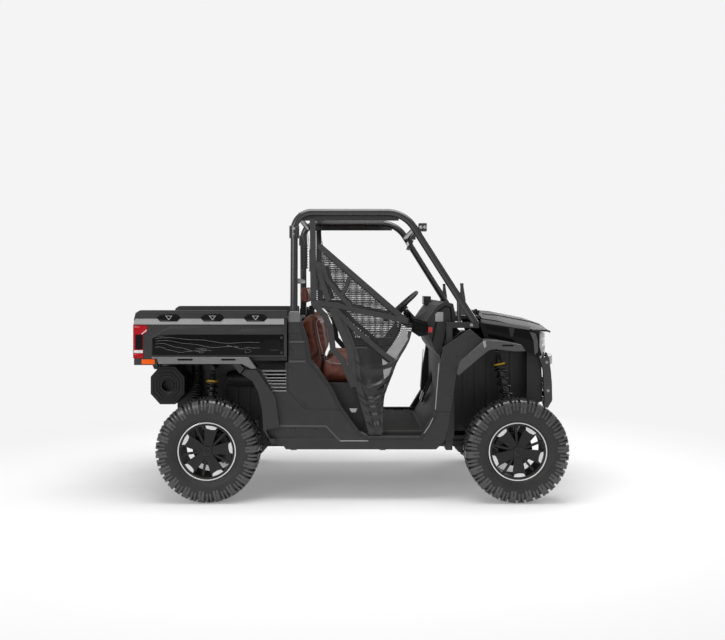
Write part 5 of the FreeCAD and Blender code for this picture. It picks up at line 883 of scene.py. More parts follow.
for end, name, side, x, y, width in corners():
    part = merge(caliper_parts(152 if end == "front" else 28))
    part = moved(part if side > 0 else mirror_part(part), (x, y - 0.026 * side, AXLE_Z))
    add_piece("caliper_" + name, [part], "cast metal", "knuckle_left",
              "knuckle_" + name[6:] if end == "front" else "chassis", 0.002)
tell()

# %% [markdown]
# ## Springs and dampers
# Each corner has a coil spring round a damper. A coil is a wire carried along a helix; its end turns
# lie closer, as ground coils do. The yellow ring sets the spring's preload, and a cup at the foot
# holds the coil. The damper's rod is the only bright part.


# %% Shapes along a slanted line
def line_frame(foot, head):
    """Direction from foot to head with two directions square to it, and the distance."""
    run = np.asarray(head, float) - np.asarray(foot, float)
    axis = unit(run)
    side = unit(np.cross(axis, (1.0, 0.0, 0.0)))
    return axis, side, np.cross(axis, side), float(np.linalg.norm(run))


def turned_along(profile, foot, head, count=28):
    """Body of revolution on a slanted line; the profile is pairs of radius and distance from foot."""
    axis, side, other, _ = line_frame(foot, head)
    points, faces = lathe(profile, (0, 0, 0), "z", count)
    return np.asarray(foot) + points @ np.stack([side, other, axis]), faces


def coil(foot, head, start, end, radius, wire, turns):
    """Wire on a helix: turn 2 pi k t round the line while the height runs from start to end, slowly
    over the first and last turn."""
    axis, side, other, _ = line_frame(foot, head)
    t = np.linspace(0, 1, int(turns * 26))
    slow, first = 0.9 / turns, wire * 1.1 / (end - start)
    rise = np.interp(t, [0, slow, 1 - slow, 1], [0, first, 1 - first, 1])
    angle = 2 * math.pi * turns * t[:, None]
    path = (np.asarray(foot) + axis * (start + (end - start) * rise)[:, None]
            + radius * (np.cos(angle) * side + np.sin(angle) * other))
    return sweep(path, circle(wire / 2, 10), axis)


print("a coil of 8 turns has", len(coil((0, 0, 0), (0, 0, 1), 0.3, 0.8, 0.04, 0.01, 8)[1]), "faces")

# %% The four struts
STRUTS = (((1.144, 0.470, 0.3140), (1.005, 0.400, 0.9777), 8),
          ((-1.000, 0.470, 0.3280), (-0.981, 0.400, 0.8297), 6.5))
SPRING_FOOT, SPRING_HEAD = 0.31, 0.83
EYE = [(0.0055, -0.017), (0.0135, -0.017), (0.0135, 0.017), (0.0055, 0.017)]
springs, bodies, rods, preload = [], [], [], []
for foot, head, turns in STRUTS:
    length = line_frame(foot, head)[3]
    low, high = SPRING_FOOT * length, SPRING_HEAD * length
    springs.append(coil(foot, head, low, high, 0.0375, 0.0125, turns))
    barrel = [(0.0, 0.46 * length), (0.019, 0.46 * length), (0.023, 0.475 * length), (0.023, 0.90 * length),
              (0.019, 0.93 * length), (0.013, 0.97 * length), (0.0, 0.97 * length)]
    cup = [(0.009, low - 0.030), (0.020, low - 0.026), (0.043, low - 0.010), (0.044, low), (0.036, low + 0.001),
           (0.012, low - 0.008)]
    top = [(0.022, high + 0.004), (0.043, high + 0.004), (0.043, high + 0.011), (0.030, high + 0.016),
           (0.022, high + 0.016)]
    bodies += [turned_along(profile, foot, head) for profile in (barrel, cup, top)]
    bodies += [lathe(EYE, place, "x", 24) for place in (foot, head)]
    rod = [(0.0, 0.010), (0.008, 0.010), (0.008, 0.5 * length), (0.0, 0.5 * length)]
    rods.append(turned_along(rod, foot, head, 20))
    ring = [(0.023, high + 0.017), (0.040, high + 0.017), (0.042, high + 0.019), (0.042, high + 0.029),
            (0.040, high + 0.031), (0.023, high + 0.031)]
    preload.append(turned_along(ring, foot, head, 36))
add_piece("coil_springs", both(springs), "spring paint", "shock_absorbers", replaces=("shock_absorbers",))
add_piece("dampers", both(bodies), "dark steel", "shock_absorbers", edge=(0.0012, 1))
add_piece("damper_rods", both(rods), "zinc steel", "shock_absorbers")
add_piece("preload_rings", both(preload), "ring yellow", "shock_absorbers")
tell()

# %% [markdown]
# ## Cargo bed trim
# The bed's sides are charcoal mouldings. Over them lie a bright strip under the rail, a gloss black
# panel in its recess, and a silver lip over the wheel. Each is a thin prism of its own side-view
# outline with its edges rounded, so that it reads as a separate part clipped to the one behind it.


# %% Outlines and shallow dishes
def grown(outline, by):
    """Outline with every corner moved outwards so that each side shifts by the same distance: the
    corner goes along the sum of its two sides' normals, divided by one plus their dot product."""
    outline = np.asarray(outline, float)
    run = unit(np.roll(outline, -1, 0) - outline)
    area = np.sum(outline[:, 0] * np.roll(outline[:, 1], -1) - np.roll(outline[:, 0], -1) * outline[:, 1])
    normal = np.column_stack([run[:, 1], -run[:, 0]]) * (1.0 if area > 0 else -1.0)
    before = np.roll(normal, 1, 0)
    return outline + by * (normal + before) / (1 + np.sum(normal * before, 1))[:, None]


def dish(outline, steps):
    """Rings of one outline, each grown by the first number of its step and at the second's y, joined
    into a closed shape: a rim with a sunk or raised middle."""
    return ringed([at_y(grown(outline, by), y) for by, y in steps])


def clip_on(outline, back, edge, top, inset=0.003):
    """Thin cover: straight sides from its back to its edge, then a slanted rim up to the top face."""
    return dish(outline, [(0, back), (0, edge), (-inset, top)])


def rectangle(x0, x1, z0, z1):
    """Four corners in the side view."""
    return [(x0, z0), (x1, z0), (x1, z1), (x0, z1)]


def long_six(x0, x1, z, half, slant):
    """Long six-sided outline, pointed at both ends."""
    return [(x0, z), (x0 + slant, z - half), (x1 - slant, z - half), (x1, z), (x1 - slant, z + half),
            (x0 + slant, z + half)]


def ribbon(path, width, thick, y, closed=False):
    """Flat line on a side panel: a thin oblong carried along a side-view path at one y."""
    return sweep(at_y(path, y), oblong(width, thick, 0.3), (0, 1, 0), closed)


print("corner of a unit square grown by a tenth:", grown(rectangle(0, 1, 0, 1), 0.1)[0])

# %% Strips, panels and lips
STRIP = [(-1.461, 1.178), (-0.458, 1.178), (-0.458, 1.2178), (-1.4445, 1.2178)]
GLOSS_PANEL = side_view([(-0.878, 1.78), (-0.82, 1.81), (-0.025, 1.81), (-0.025, 1.642), (-0.878, 1.642)])
UPPER_BAND = [(-1.212, 1.1745), (-0.460, 1.1745), (-0.460, 1.117), (-1.264, 1.117), (-1.333, 1.084),
              (-1.333, 1.102)]
BAND_STEP = [(-0.735, 1.150), (-0.460, 1.150), (-0.460, 1.122), (-0.772, 1.122)]
CATCH = [(-0.602, 1.086), (-0.478, 1.086), (-0.478, 0.992), (-0.560, 0.992), (-0.602, 1.034)]
BED_LIP = [(-1.298, 0.9650), (-1.290, 0.9170), (-0.735, 0.9170), (-0.672, 0.8850), (-0.640, 0.8880),
           (-0.692, 0.9620)]
LIP_TAB = [(-1.342, 0.9625), (-1.250, 0.9625), (-1.262, 0.9500), (-1.335, 0.9500)]
LIP_SLOTS = ((-1.163, -1.058), (-0.873, -0.774))
SLOT_FACES = (0.7550, 0.7568, 0.7570, 0.0015)
BED = ("bed_sides", "cargo_bed")
add_piece("bed_strips", both([prism(STRIP, BED_RAIL_Y, 0.7335)]), "silver trim", *BED, 0.0022)
gloss_panel = clip_on(grown(GLOSS_PANEL, -0.003), 0.7180, 0.7196, 0.7205)
add_piece("bed_gloss_panels", both([gloss_panel]), "gloss black", *BED)
add_piece("bed_bands", both([clip_on(UPPER_BAND, 0.7220, 0.7265, 0.7290, 0.004),
                             clip_on(BAND_STEP, 0.7270, 0.7295, 0.7315, 0.004)]), "charcoal moulding", *BED)
add_piece("bed_catches", both([dish(CATCH, [(0, 0.7190), (0, 0.7225), (-0.006, 0.7240), (-0.014, 0.7240),
                                            (-0.017, 0.7215)])]), "gloss black", *BED)
bed_lips = [prism(BED_LIP, BED_RAIL_Y, 0.7562), prism(LIP_TAB, BED_RAIL_Y, 0.7330)]
add_piece("bed_lips", both(bed_lips), "lip silver", *BED, (0.006, 3))
lip_slots = [clip_on(long_six(x0, x1, 0.9465, 0.006, 0.006), *SLOT_FACES) for x0, x1 in LIP_SLOTS]
add_piece("lip_slots", both(lip_slots), "gloss black", *BED)
tell()

# %% Rail plates and their marks
PLATE_CENTRES, PLATE_HALF, PLATE_MIDDLE, PLATE_SLANT = (-1.223, -0.933, -0.647), 0.080, 1.222, 0.024
PLATE_STEPS = [(0, 0.7200), (0, 0.7365), (-0.002, 0.7378), (-0.006, 0.7378), (-0.010, 0.7345)]
MARK = np.array([(-0.025, 1.2375), (0, 1.2065), (0.025, 1.2375)])


def frame_ring(outline, width, y0, y1):
    """Flat band along an outline, the given width inwards: four rings closed on themselves."""
    steps = ((0, y0), (-width, y0), (-width, y1), (0, y1))
    return ringed([at_y(grown(outline, by), y) for by, y in steps], True)


plates = [dish(long_six(c - PLATE_HALF, c + PLATE_HALF, PLATE_MIDDLE, PLATE_SLANT, PLATE_SLANT), PLATE_STEPS)
          for c in PLATE_CENTRES]
add_piece("rail_plates", both(plates), "gloss black", *BED)
marks = [frame_ring(MARK + (c, 0), 0.0045, 0.7340, 0.7352) for c in PLATE_CENTRES]
add_piece("rail_marks", both(marks), "piping", *BED)
tell()

# %% [markdown]
# ## Line pattern on the gloss panels
# The gloss panels carry thin printed lines, like heights on a map. These are a made-up set: waves of
# unlike lengths that part as they run forwards, and a few closed rings. Each line is a ribbon
# 0.6 mm thick, so it keeps crisp edges at any distance, which a texture would not.

# %% Printed lines
LINE_Y, LINE_THICK, LINE_BAND = 0.7208, 0.0006, (0.984, 1.098)
WAVES = ((-1.315, -0.62, 1.080, -0.020, 0.0105, 0.4), (-1.315, -0.76, 1.062, -0.034, 0.0105, 0.6),
         (-1.315, -0.94, 1.044, -0.044, 0.0100, 0.8), (-1.315, -1.08, 1.022, -0.030, 0.0080, 1.0),
         (-0.84, -0.62, 1.040, -0.030, 0.0090, 2.6))
RINGS = ((-1.010, 1.006, 0.015, 2.2, 0.0), (-1.010, 1.006, 0.008, 2.4, 0.5), (-0.700, 1.002, 0.012, 1.6, 2.0))


def drift_line(start, end, base, rise, swing, phase):
    """Wave between two stations: height = base + rise t + swing sin(6 t + phase) + a third of it at
    sin(17 t - phase)."""
    t = np.linspace(0, 1, 70)
    z = base + rise * t + swing * np.sin(6 * t + phase) + swing / 3 * np.sin(17 * t - phase)
    return np.column_stack([start + (end - start) * t, np.clip(z, *LINE_BAND)])


def ring_line(x, z, radius, stretch, phase):
    """Closed wavy ring: radius 1 + 0.18 sin(3 a + phase), stretched along the panel."""
    angle = np.linspace(0, 2 * math.pi, 48, endpoint=False)
    r = radius * (1 + 0.18 * np.sin(3 * angle + phase))
    return np.column_stack([x + stretch * r * np.cos(angle), z + r * np.sin(angle)])


lines = [ribbon(drift_line(*wave), 0.0015, LINE_THICK, LINE_Y) for wave in WAVES]
lines += [ribbon(ring_line(*ring), 0.0012, LINE_THICK, LINE_Y, True) for ring in RINGS]
add_piece("panel_lines", both(lines), "decal lines", *BED)
tell()

# %% [markdown]
# ## Tail lamps
# A tail lamp is several windows behind one cover: a wide red one on top, a stack of dark louvres, a
# clear strip for reversing and a red reflector below. Each window is its own shallow dish, so that
# its rim throws a small shadow on its neighbours.

# %% Lamp windows
LAMP = ("tail_lamps", "cargo_bed")
TOP_WINDOW = [(-1.4600, 1.112), (-1.395, 1.112), (-1.368, 1.128), (-1.368, 1.170), (-1.4600, 1.170)]
SLASH = [(-1.408, 1.114), (-1.400, 1.114), (-1.369, 1.138), (-1.369, 1.145)]
LOW_FACES = (0.7270, 0.7300, 0.7318)
louvres = [box_part((-1.4470, 0.7270, 1.012), (-1.3970, 0.7288, 1.110))]
louvres += [box_part((-1.4470, 0.7280, 1.018 + 0.0155 * k), (-1.3970, 0.7315, 1.0255 + 0.0155 * k))
            for k in range(6)]
add_piece("tail_top_windows", both([clip_on(TOP_WINDOW, 0.7250, 0.7295, 0.7312)]), "lamp red", *LAMP)
add_piece("tail_slashes", both([prism(SLASH, 0.7300, 0.7320)]), "lamp white", *LAMP)
add_piece("tail_louvres", both(louvres), "gloss black", *LAMP, 0.0015)
white_window = clip_on(rectangle(-1.4570, -1.3960, 0.988, 1.007), *LOW_FACES)
add_piece("tail_white_windows", both([white_window]), "lamp white", *LAMP)
reflector = clip_on(rectangle(-1.4540, -1.3970, 0.957, 0.984), *LOW_FACES)
add_piece("tail_reflectors", both([reflector]), "lamp red", *LAMP)
tell()

# %% [markdown]
# ## Inside the bed and on its tailgate
# Sheet this wide would drum, so ribs are pressed into the floor and panels into the tailgate. The
# tailgate also carries its latch handle.

# %% Floor ribs, tailgate panels and handle
RIB = [(-1.385, 0.9575), (-0.485, 0.9575), (-0.497, 0.9640), (-1.373, 0.9640)]
GATE_SPANS = ((-0.60, -0.22), (-0.18, 0.18), (0.22, 0.60))


def rear_dish(y0, y1, z0, z1, steps):
    """Shallow oblong on the rear face: rings at each inset and x."""
    return ringed([np.array([(x, y0 + by, z0 + by), (x, y1 - by, z0 + by), (x, y1 - by, z1 - by),
                             (x, y0 + by, z1 - by)]) for by, x in steps])


ribs = [prism(RIB, y - 0.022, y + 0.022) for y in -0.56 + 0.112 * np.arange(11)]
add_piece("bed_floor_ribs", ribs, "charcoal moulding", "bed_tub", "cargo_bed", 0.003)
gate = [rear_dish(y0, y1, 1.010, 1.185, [(0, -1.4575), (0, -1.4606), (0.012, -1.4606), (0.018, -1.4590)])
        for y0, y1 in GATE_SPANS]
add_piece("tailgate_panels", gate, "charcoal moulding", "tailgate", "tailgate", 0.001)
handle = rear_dish(-0.075, 0.075, 1.120, 1.170, [(0, -1.4595), (0, -1.4625), (0.006, -1.4640)])
add_piece("tailgate_handle", [handle], "gloss black", "tailgate", "tailgate", 0.002)
tell()

# %% [markdown]
# ## Door nets
# Each doorway is closed by a knitted net cut to a leaning shield shape, with a gathered cloth skirt
# below and webbing sewn over the joins. The net is one flat grid between its two edges, and its holes
# are cut by the material. The skirt is a second grid whose folds are ridges that sag between the
# edges. Flat webbing is a ribbon along its own line, a little proud of the net.

# %% The leaning plane of the net
NET_FOOT, NET_LEAN = 0.690, 0.0881
NET_REAR = np.array([(0.9965, 0.358), (1.39, 0.295), (1.61, 0.287), (1.831, 0.243), (2.004, 0.195),
                     (2.042, 0.108), (2.071, 0.095), (2.92, 0.09)])
NET_FRONT = np.array([(0.9965, 0.414), (1.31, 0.421), (1.594, 0.482), (1.744, 0.534), (1.88, 0.553),
                      (1.901, 0.534), (2.653, 0.13), (2.92, 0.11)])
SKIRT_TOP, NET_TOP = 1.020, level(2.92)


def net_side(z, proud=0.0):
    """Distance of the net from the middle of the vehicle: it leans in by NET_LEAN for each metre up."""
    return NET_FOOT - (z - FLOOR_Z) * NET_LEAN + proud


def edge_at(shares, z):
    """Where an edge of the net lies along the vehicle at each height."""
    return np.interp(z, level(shares[:, 0]), station(shares[:, 1]))


def net_grid(z_low, z_high, columns, proud):
    """Grid between the two edges: u runs from the rear edge to the front one, v up."""
    z = np.linspace(z_low, z_high, 90)[:, None]
    u = np.linspace(0, 1, columns)[None, :]
    x = edge_at(NET_REAR, z) * (1 - u) + edge_at(NET_FRONT, z) * u
    z = z + 0 * u
    return np.stack([x, net_side(z, proud(u, (z - z_low) / (z_high - z_low))), z], axis=-1)


print("the net leans in by", round(float(NET_LEAN * (NET_TOP - FLOOR_Z)), 3), "m from foot to top")

# %% Folds, slack and cloth measure
FOLDS = ((0.86, 0.019, 0.05, 0.10), (0.70, 0.027, 0.045, 0.16), (0.50, 0.020, 0.035, 0.12),
         (0.41, 0.018, 0.030, 0.10), (0.30, 0.012, 0.03, 0.08), (0.16, 0.014, 0.05, 0.06))


def skirt_folds(u, v):
    """Ridges that sag between the edges: height exp(-((v - v0 + sag 4u(1-u)) / width)^2)."""
    out = 0.002 + 0.006 * np.sin(math.pi * u) * np.sin(9 * u + 5 * v)
    for place, height, width, sag in FOLDS:
        off_line = (v - place + sag * (4 * u * (1 - u)) ** 0.8) / width
        out = out + height * np.exp(-off_line ** 2) * (0.35 + 0.65 * u)
    return out


def net_billow(u, v):
    """Slight slack between the edges."""
    return 0.002 + 0.005 * np.sin(math.pi * u) * np.sin(math.pi * v) + 0.0012 * np.sin(23 * u + 11 * v)


def read_points(mesh, kind="co"):
    """Places, or normals, of a mesh's points as rows."""
    flat = np.empty(len(mesh.vertices) * 3)
    mesh.vertices.foreach_get(kind, flat)
    return flat.reshape(-1, 3)


def cloth_map(mesh):
    """UV map in metres of cloth: x along the vehicle, height over the cosine of the lean upwards."""
    points, corner = read_points(mesh), np.empty(len(mesh.loops), dtype=np.int64)
    mesh.loops.foreach_get("vertex_index", corner)
    place = np.column_stack([points[:, 0], points[:, 2] * math.hypot(1, NET_LEAN)])[corner]
    mesh.uv_layers.new(name="cloth").data.foreach_set("uv", place.astype(np.float32).ravel())


def surface_area(part):
    """Area of a part of four-sided faces: half the cross product of each face's diagonals."""
    a, b, c, d = part[0][np.array(part[1])].transpose(1, 0, 2)
    return float(np.linalg.norm(np.cross(c - a, d - b), axis=1).sum() / 2)


print("folds:", len(FOLDS))

# %% Net and skirt on each side
mesh_part = grid_part(net_grid(SKIRT_TOP - 0.03, NET_TOP, 36, net_billow))
skirt_part = grid_part(net_grid(0.4345, SKIRT_TOP, 44, skirt_folds))
for side_name, part in (("right", mirror_part), ("left", lambda p: p)):
    net = add_piece("door_net_" + side_name, [part(mesh_part)], "net cloth", "door_nets")
    skirt = add_piece("door_skirt_" + side_name, [part(skirt_part)], "skirt cloth", "door_nets",
                      replaces=["door_nets"])
    for made, thick in ((net, 0.0012), (skirt, 0.0018)):
        cloth_map(made.data)
        shell = made.modifiers.new("cloth_thickness", "SOLIDIFY")
        shell.thickness, shell.offset = thick, 0
    surface_area(mesh_part)
    surface_area(skirt_part)
print("net %.3f m2, skirt %.3f m2 on each side" % (surface_area(mesh_part), surface_area(skirt_part)))
tell()


# %% Webbing and stiff panels
def net_ribbon(path, width, thick, proud):
    """Webbing along a line on the net."""
    path = np.asarray(path, float)
    steps = np.linspace(0, len(path) - 1, 8 * (len(path) - 1) + 1)
    x, z = (np.interp(steps, np.arange(len(path)), path[:, k]) for k in (0, 1))
    return sweep(np.column_stack([x, net_side(z, proud), z]), oblong(width, thick, 0.4), (0, 1, NET_LEAN))


def net_patch(outline, thick, proud):
    """Stiff panel in the net's plane, its outline given from the side."""
    rings = []
    for by, out in ((0, 0.0), (0, thick), (-0.0015, thick + 0.0004)):
        x, z = grown(outline, by).T
        rings.append(np.column_stack([x, net_side(z, proud + out), z]))
    return ringed(rings)


def along_edge(shares, low, high, count, inset):
    """Side-view line that follows an edge of the net, set in from it."""
    heights = np.linspace(low, high, count)
    return np.column_stack([edge_at(shares, heights) + inset, heights])


STRAPS = (
    (along_edge(NET_REAR, 0.450, NET_TOP - 0.01, 24, 0.020), 0.040, 0.0022, 0.0075),
    (along_edge(NET_FRONT, 0.450, level(1.83), 14, -0.012), 0.024, 0.0022, 0.0080),
    (along_edge(NET_FRONT, level(1.905), level(2.64), 12, -0.010), 0.038, 0.0022, 0.0078),
    ([(-0.284, 1.315), (-0.189, 1.312), (-0.091, 1.299), (0.041, 1.265), (0.243, 1.224), (0.371, 1.194)],
     0.034, 0.0024, 0.0110),
    ([(-0.128, 1.285), (0.016, 1.140), (0.209, 0.974), (0.282, 0.922)], 0.034, 0.0022, 0.0135),
    ([(-0.142, 1.285), (-0.078, 1.140), (-0.020, 1.003), (0.007, 0.756)], 0.048, 0.0022, 0.0130),
    ([(-0.211, 1.597), (-0.175, 1.474), (-0.088, 1.368), (-0.011, 1.292)], 0.028, 0.0022, 0.0125),
    ([(-0.027, 1.495), (-0.051, 1.420), (-0.081, 1.366)], 0.024, 0.0022, 0.0100),
    ([(-0.241, 1.597), (-0.210, 1.461), (-0.166, 1.332)], 0.036, 0.0022, 0.0105),
    ([(-0.258, 1.307), (-0.189, 1.231), (-0.152, 1.150), (-0.135, 1.009), (-0.071, 0.936), (0.003, 0.756)],
     0.040, 0.0022, 0.0115))
add_piece("net_straps", both([net_ribbon(*strap) for strap in STRAPS]), "strap webbing", "door_nets")
UPPER_WINDOW = [(0.353, 1.154), (0.371, 1.076), (0.287, 0.942), (0.219, 0.979)]
LOWER_WINDOW = [(0.195, 0.946), (0.264, 0.896), (0.213, 0.762)]
FOOT_TAB = [(-0.025, 0.615), (0.028, 0.615), (0.017, 0.590), (-0.010, 0.590)]
BUCKLE = [(0.412, 1.218), (0.496, 1.194), (0.513, 1.157), (0.499, 1.103), (0.445, 1.093), (0.391, 1.130)]
BUCKLE_TOP = [(0.415, 1.204), (0.479, 1.187), (0.482, 1.144), (0.422, 1.150)]
BUTTON = [(0.508, 1.157), (0.536, 1.154), (0.533, 1.120), (0.506, 1.123)]
for name, patches, look, edge in (
        ("net_windows", [(UPPER_WINDOW, 0.0015, 0.0085), (LOWER_WINDOW, 0.0015, 0.0085)], "window cloth", None),
        ("net_foot_tabs", [(FOOT_TAB, 0.003, 0.014)], "light grey cap", None),
        ("net_buckles", [(BUCKLE, 0.010, 0.004), (BUCKLE_TOP, 0.004, 0.014)], "gloss black", 0.002),
        ("net_buttons", [(BUTTON, 0.012, 0.004)], "switch red", None)):
    add_piece(name, both([net_patch(*patch) for patch in patches]), look, "door_nets", edge=edge)
tell()

# %% [markdown]
# ## Seats
# The seats are foam under a vinyl cover. Each pad starts as its own outline drawn in by a centimetre,
# is cut into small squares and blown up as a cloth bag, so it crowns between its corners. How far a
# point may move is capped. The sewn channels come afterwards, pressed in along their lines, and the
# light piping is laid on the finished surface.


# %% Blowing up a pad
def in_squares(name, part, voxel):
    """Object whose mesh is the part cut into small squares."""
    points, faces = part
    mesh = bpy.data.meshes.new(name)
    mesh.from_pydata(points.tolist(), [], faces)
    made = bpy.data.objects.new(name, mesh)
    bpy.context.scene.collection.objects.link(made)
    cut = made.modifiers.new("squares", "REMESH")
    cut.mode, cut.voxel_size = "VOXEL", voxel
    seen = made.evaluated_get(bpy.context.evaluated_depsgraph_get())
    made.data = bpy.data.meshes.new_from_object(seen)
    made.modifiers.clear()
    return made


BAG_FRAMES, BAG_PRESSURE = 16, 4.0


def blown_up(made):
    """Points after the cloth simulation has blown the closed form up, with gravity off."""
    bag = made.modifiers.new("bag", "CLOTH")
    bag.settings.use_pressure = True
    bag.settings.uniform_pressure_force = BAG_PRESSURE
    bag.settings.effector_weights.gravity = 0
    bag.settings.quality = 4
    calm = made.modifiers.new("calm", "SMOOTH")
    calm.factor, calm.iterations = 0.5, 8
    bag.point_cache.frame_end = BAG_FRAMES
    for number in range(1, BAG_FRAMES + 1):
        bpy.context.scene.frame_set(number)
    points = read_points(made.evaluated_get(bpy.context.evaluated_depsgraph_get()).data)
    made.modifiers.clear()
    bpy.context.scene.frame_set(1)
    return points


def put_points(made, points):
    """Gives an object's mesh new places for its points."""
    made.data.vertices.foreach_set("co", points.ravel())
    made.data.update()


def swollen(name, part, voxel, cap, low, high):
    """Crowned closed form: each point's move is cut to the cap, then kept inside a box."""
    made = in_squares(name, part, voxel)
    points = read_points(made.data)
    move = blown_up(made) - points
    far = np.maximum(np.linalg.norm(move, axis=1, keepdims=True), 1e-9)
    points = points + move * np.minimum(1.0, cap / far)
    put_points(made, np.clip(points, low, high))
    return made


print("frames for blowing up a pad:", BAG_FRAMES)


# %% Seams, cover and piping
def press_channels(made, facing, along, places, inside, depth=0.007, width=0.009):
    """Sewn channels: points that face one way sink along it by depth exp(-(d / width)^2), where d is
    the distance from the nearest line. They fade out at the ends of the inside span."""
    points, normals = read_points(made.data), read_points(made.data, "normal")
    away = np.min(np.abs(points[:, along][:, None] - np.array(places)[None, :]), axis=1)
    sink = depth * np.exp(-(away / width) ** 2) * np.clip((normals[:, facing] - 0.25) / 0.5, 0, 1)
    other, low, high = inside
    sink *= np.clip((points[:, other] - low) / 0.02, 0, 1) * np.clip((high - points[:, other]) / 0.02, 0, 1)
    points[:, facing] -= sink
    put_points(made, points)


def covered(made, replaces=()):
    """Finished pad: smooth shading, one subdivision, its cover and its place on the chassis."""
    made.data.polygons.foreach_set("use_smooth", np.ones(len(made.data.polygons), bool))
    made.data.materials.append(finish["seat vinyl"])
    finer = made.modifiers.new("finer", "SUBSURF")
    finer.levels = finer.render_levels = 1
    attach(made, "chassis")
    if replaces:
        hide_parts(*replaces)


def laid_on(made, path, direction, calm=7):
    """Path points dropped along a direction on to a surface and, round a closed path, evened out over
    their neighbours. A point that misses keeps its place."""
    tree = BVHTree.FromPolygons(read_points(made.data).tolist(),
                                [tuple(face.vertices) for face in made.data.polygons])
    hits = [tree.ray_cast(point, direction)[0] for point in np.asarray(path).tolist()]
    laid = np.array([tuple(hit) if hit is not None else tuple(point) for hit, point in zip(hits, path)])
    return sum(np.roll(laid, shift, 0) for shift in range(-calm, calm + 1)) / (2 * calm + 1)


def rounded_loop(a0, a1, b0, b1, corner=0.045):
    """Oblong with rounded corners, as pairs, each run between two points cut in six."""
    turns = []
    for a, b, start in ((a1 - corner, b1 - corner, 0), (a0 + corner, b1 - corner, 90),
                        (a0 + corner, b0 + corner, 180), (a1 - corner, b0 + corner, 270)):
        angle = np.radians(np.linspace(start, start + 90, 9))
        turns.append(np.column_stack([a + corner * np.cos(angle), b + corner * np.sin(angle)]))
    loop = np.vstack(turns + [turns[0][:1]])
    steps = np.linspace(0, len(loop) - 1, 6 * (len(loop) - 1), endpoint=False)
    return np.column_stack([np.interp(steps, np.arange(len(loop)), loop[:, k]) for k in (0, 1)])


print("points round a piping line:", len(rounded_loop(0, 1, 0, 1)))

# %% Seat cushions
CUSHION = side_view([(0.136, 1.4105), (0.423, 1.4105), (0.43, 1.54), (0.41, 1.588), (0.141, 1.597)])
PAD_SPANS = {"right": (-0.570, 0.059), "left": (0.071, 0.570)}
SEAMS = {"right": (0.2, 0.4, 0.6, 0.8), "left": (0.24, 0.5, 0.76)}
PAD_FOOT, PAD_INSET, PIPING_RADIUS, PIPING_LIFT = level(1.41) + 0.0006, 0.014, 0.0030, 0.0015


def sewn(pad, side_name, facing, other, reach):
    """Channels along a pad between two cross seams, then the cross seams themselves."""
    y0, y1 = PAD_SPANS[side_name]
    press_channels(pad, facing, 1, [y0 + (y1 - y0) * share for share in SEAMS[side_name]], (other, *reach))
    press_channels(pad, facing, other, reach, (1, y0 + 0.05, y1 - 0.05))


pipings = []
for side_name, (y0, y1) in PAD_SPANS.items():
    started = prism(grown(CUSHION, -0.012), y0 + PAD_INSET, y1 - PAD_INSET)
    pad = swollen("seat_cushion_" + side_name, started, 0.008, 0.024, (-0.2240, y0, PAD_FOOT),
                  (0.2300, y1, 0.952))
    sewn(pad, side_name, 2, 0, (-0.16, 0.165))
    covered(pad, ["seat_cushions"])
    loop = rounded_loop(-0.195, 0.196, y0 + 0.024, y1 - 0.024)
    above = np.column_stack([loop, np.full(len(loop), 1.10)])
    pipings.append(tube(laid_on(pad, above, (0, 0, -1)) + (0, 0, PIPING_LIFT), PIPING_RADIUS, 8, closed=True))
    print(pad.name, "squares:", len(pad.data.polygons))
add_piece("cushion_piping", pipings, "piping", "seat_cushions")
tell()

# %% Seat backs
BACK = side_view([(0.062, 1.4105), (0.135, 1.4105), (0.14, 1.6), (0.157, 1.66), (0.128, 1.97), (0.075, 1.98),
                  (0.057, 1.9)])
CUSHION_TOP, CUSHION_REAR = 0.955, -0.2255
pipings = []
for side_name, (y0, y1) in PAD_SPANS.items():
    started = prism(grown(BACK, -0.011), y0 + PAD_INSET, y1 - PAD_INSET)
    pad = swollen("seat_back_" + side_name, started, 0.008, 0.022, (-0.3480, y0, PAD_FOOT), (-0.170, y1, 1.262))
    points = read_points(pad.data)
    points[:, 0] = np.where(points[:, 2] < CUSHION_TOP, np.minimum(points[:, 0], CUSHION_REAR), points[:, 0])
    pad.data.vertices.foreach_set("co", points.ravel())
    sewn(pad, side_name, 0, 2, (0.985, 1.19))
    covered(pad, ["seat_backs"])
    loop = rounded_loop(y0 + 0.028, y1 - 0.028, 0.965, 1.222)
    ahead = np.column_stack([np.full(len(loop), 0.1), loop])
    laid = laid_on(pad, ahead, (-1, 0, 0)) + (PIPING_LIFT, 0, 0)
    pipings.append(tube(laid, PIPING_RADIUS, 8, (1, 0, 0), True))
    print(pad.name, "squares:", len(pad.data.polygons))
add_piece("back_piping", pipings, "piping", "seat_backs")
tell()

# %% Head pads on their posts
HEAD = side_view([(0.044, 2.07), (0.083, 2.05), (0.088, 2.15), (0.079, 2.23), (0.05, 2.235)])
HEAD_PLACES = {"right": -0.4128, "middle": -0.0982, "left": 0.3205}
started = prism(grown(HEAD, -0.008), -0.117, 0.117)
first = swollen("head_pad_right", started, 0.006, 0.014, (-0.385, -0.128, 1.300), (-0.285, 0.128, 1.442))
press_channels(first, 0, 2, (1.335, 1.405), (1, -0.09, 0.09), 0.004, 0.007)
head_shape = read_points(first.data)
for side_name, y in HEAD_PLACES.items():
    pad = first if side_name == "right" else bpy.data.objects.new("head_pad_" + side_name, first.data.copy())
    if pad is not first:
        bpy.context.scene.collection.objects.link(pad)
        pad.data.materials.clear()
    put_points(pad, head_shape + (0, y, 0))
    covered(pad)
posts = [tube([(-0.318, y + side, 1.165), (-0.318, y + side, 1.335)], 0.006, 14)
         for y in HEAD_PLACES.values() for side in (-0.06, 0.06)]
add_piece("head_posts", posts, "zinc steel", "seat_backs")
tell()
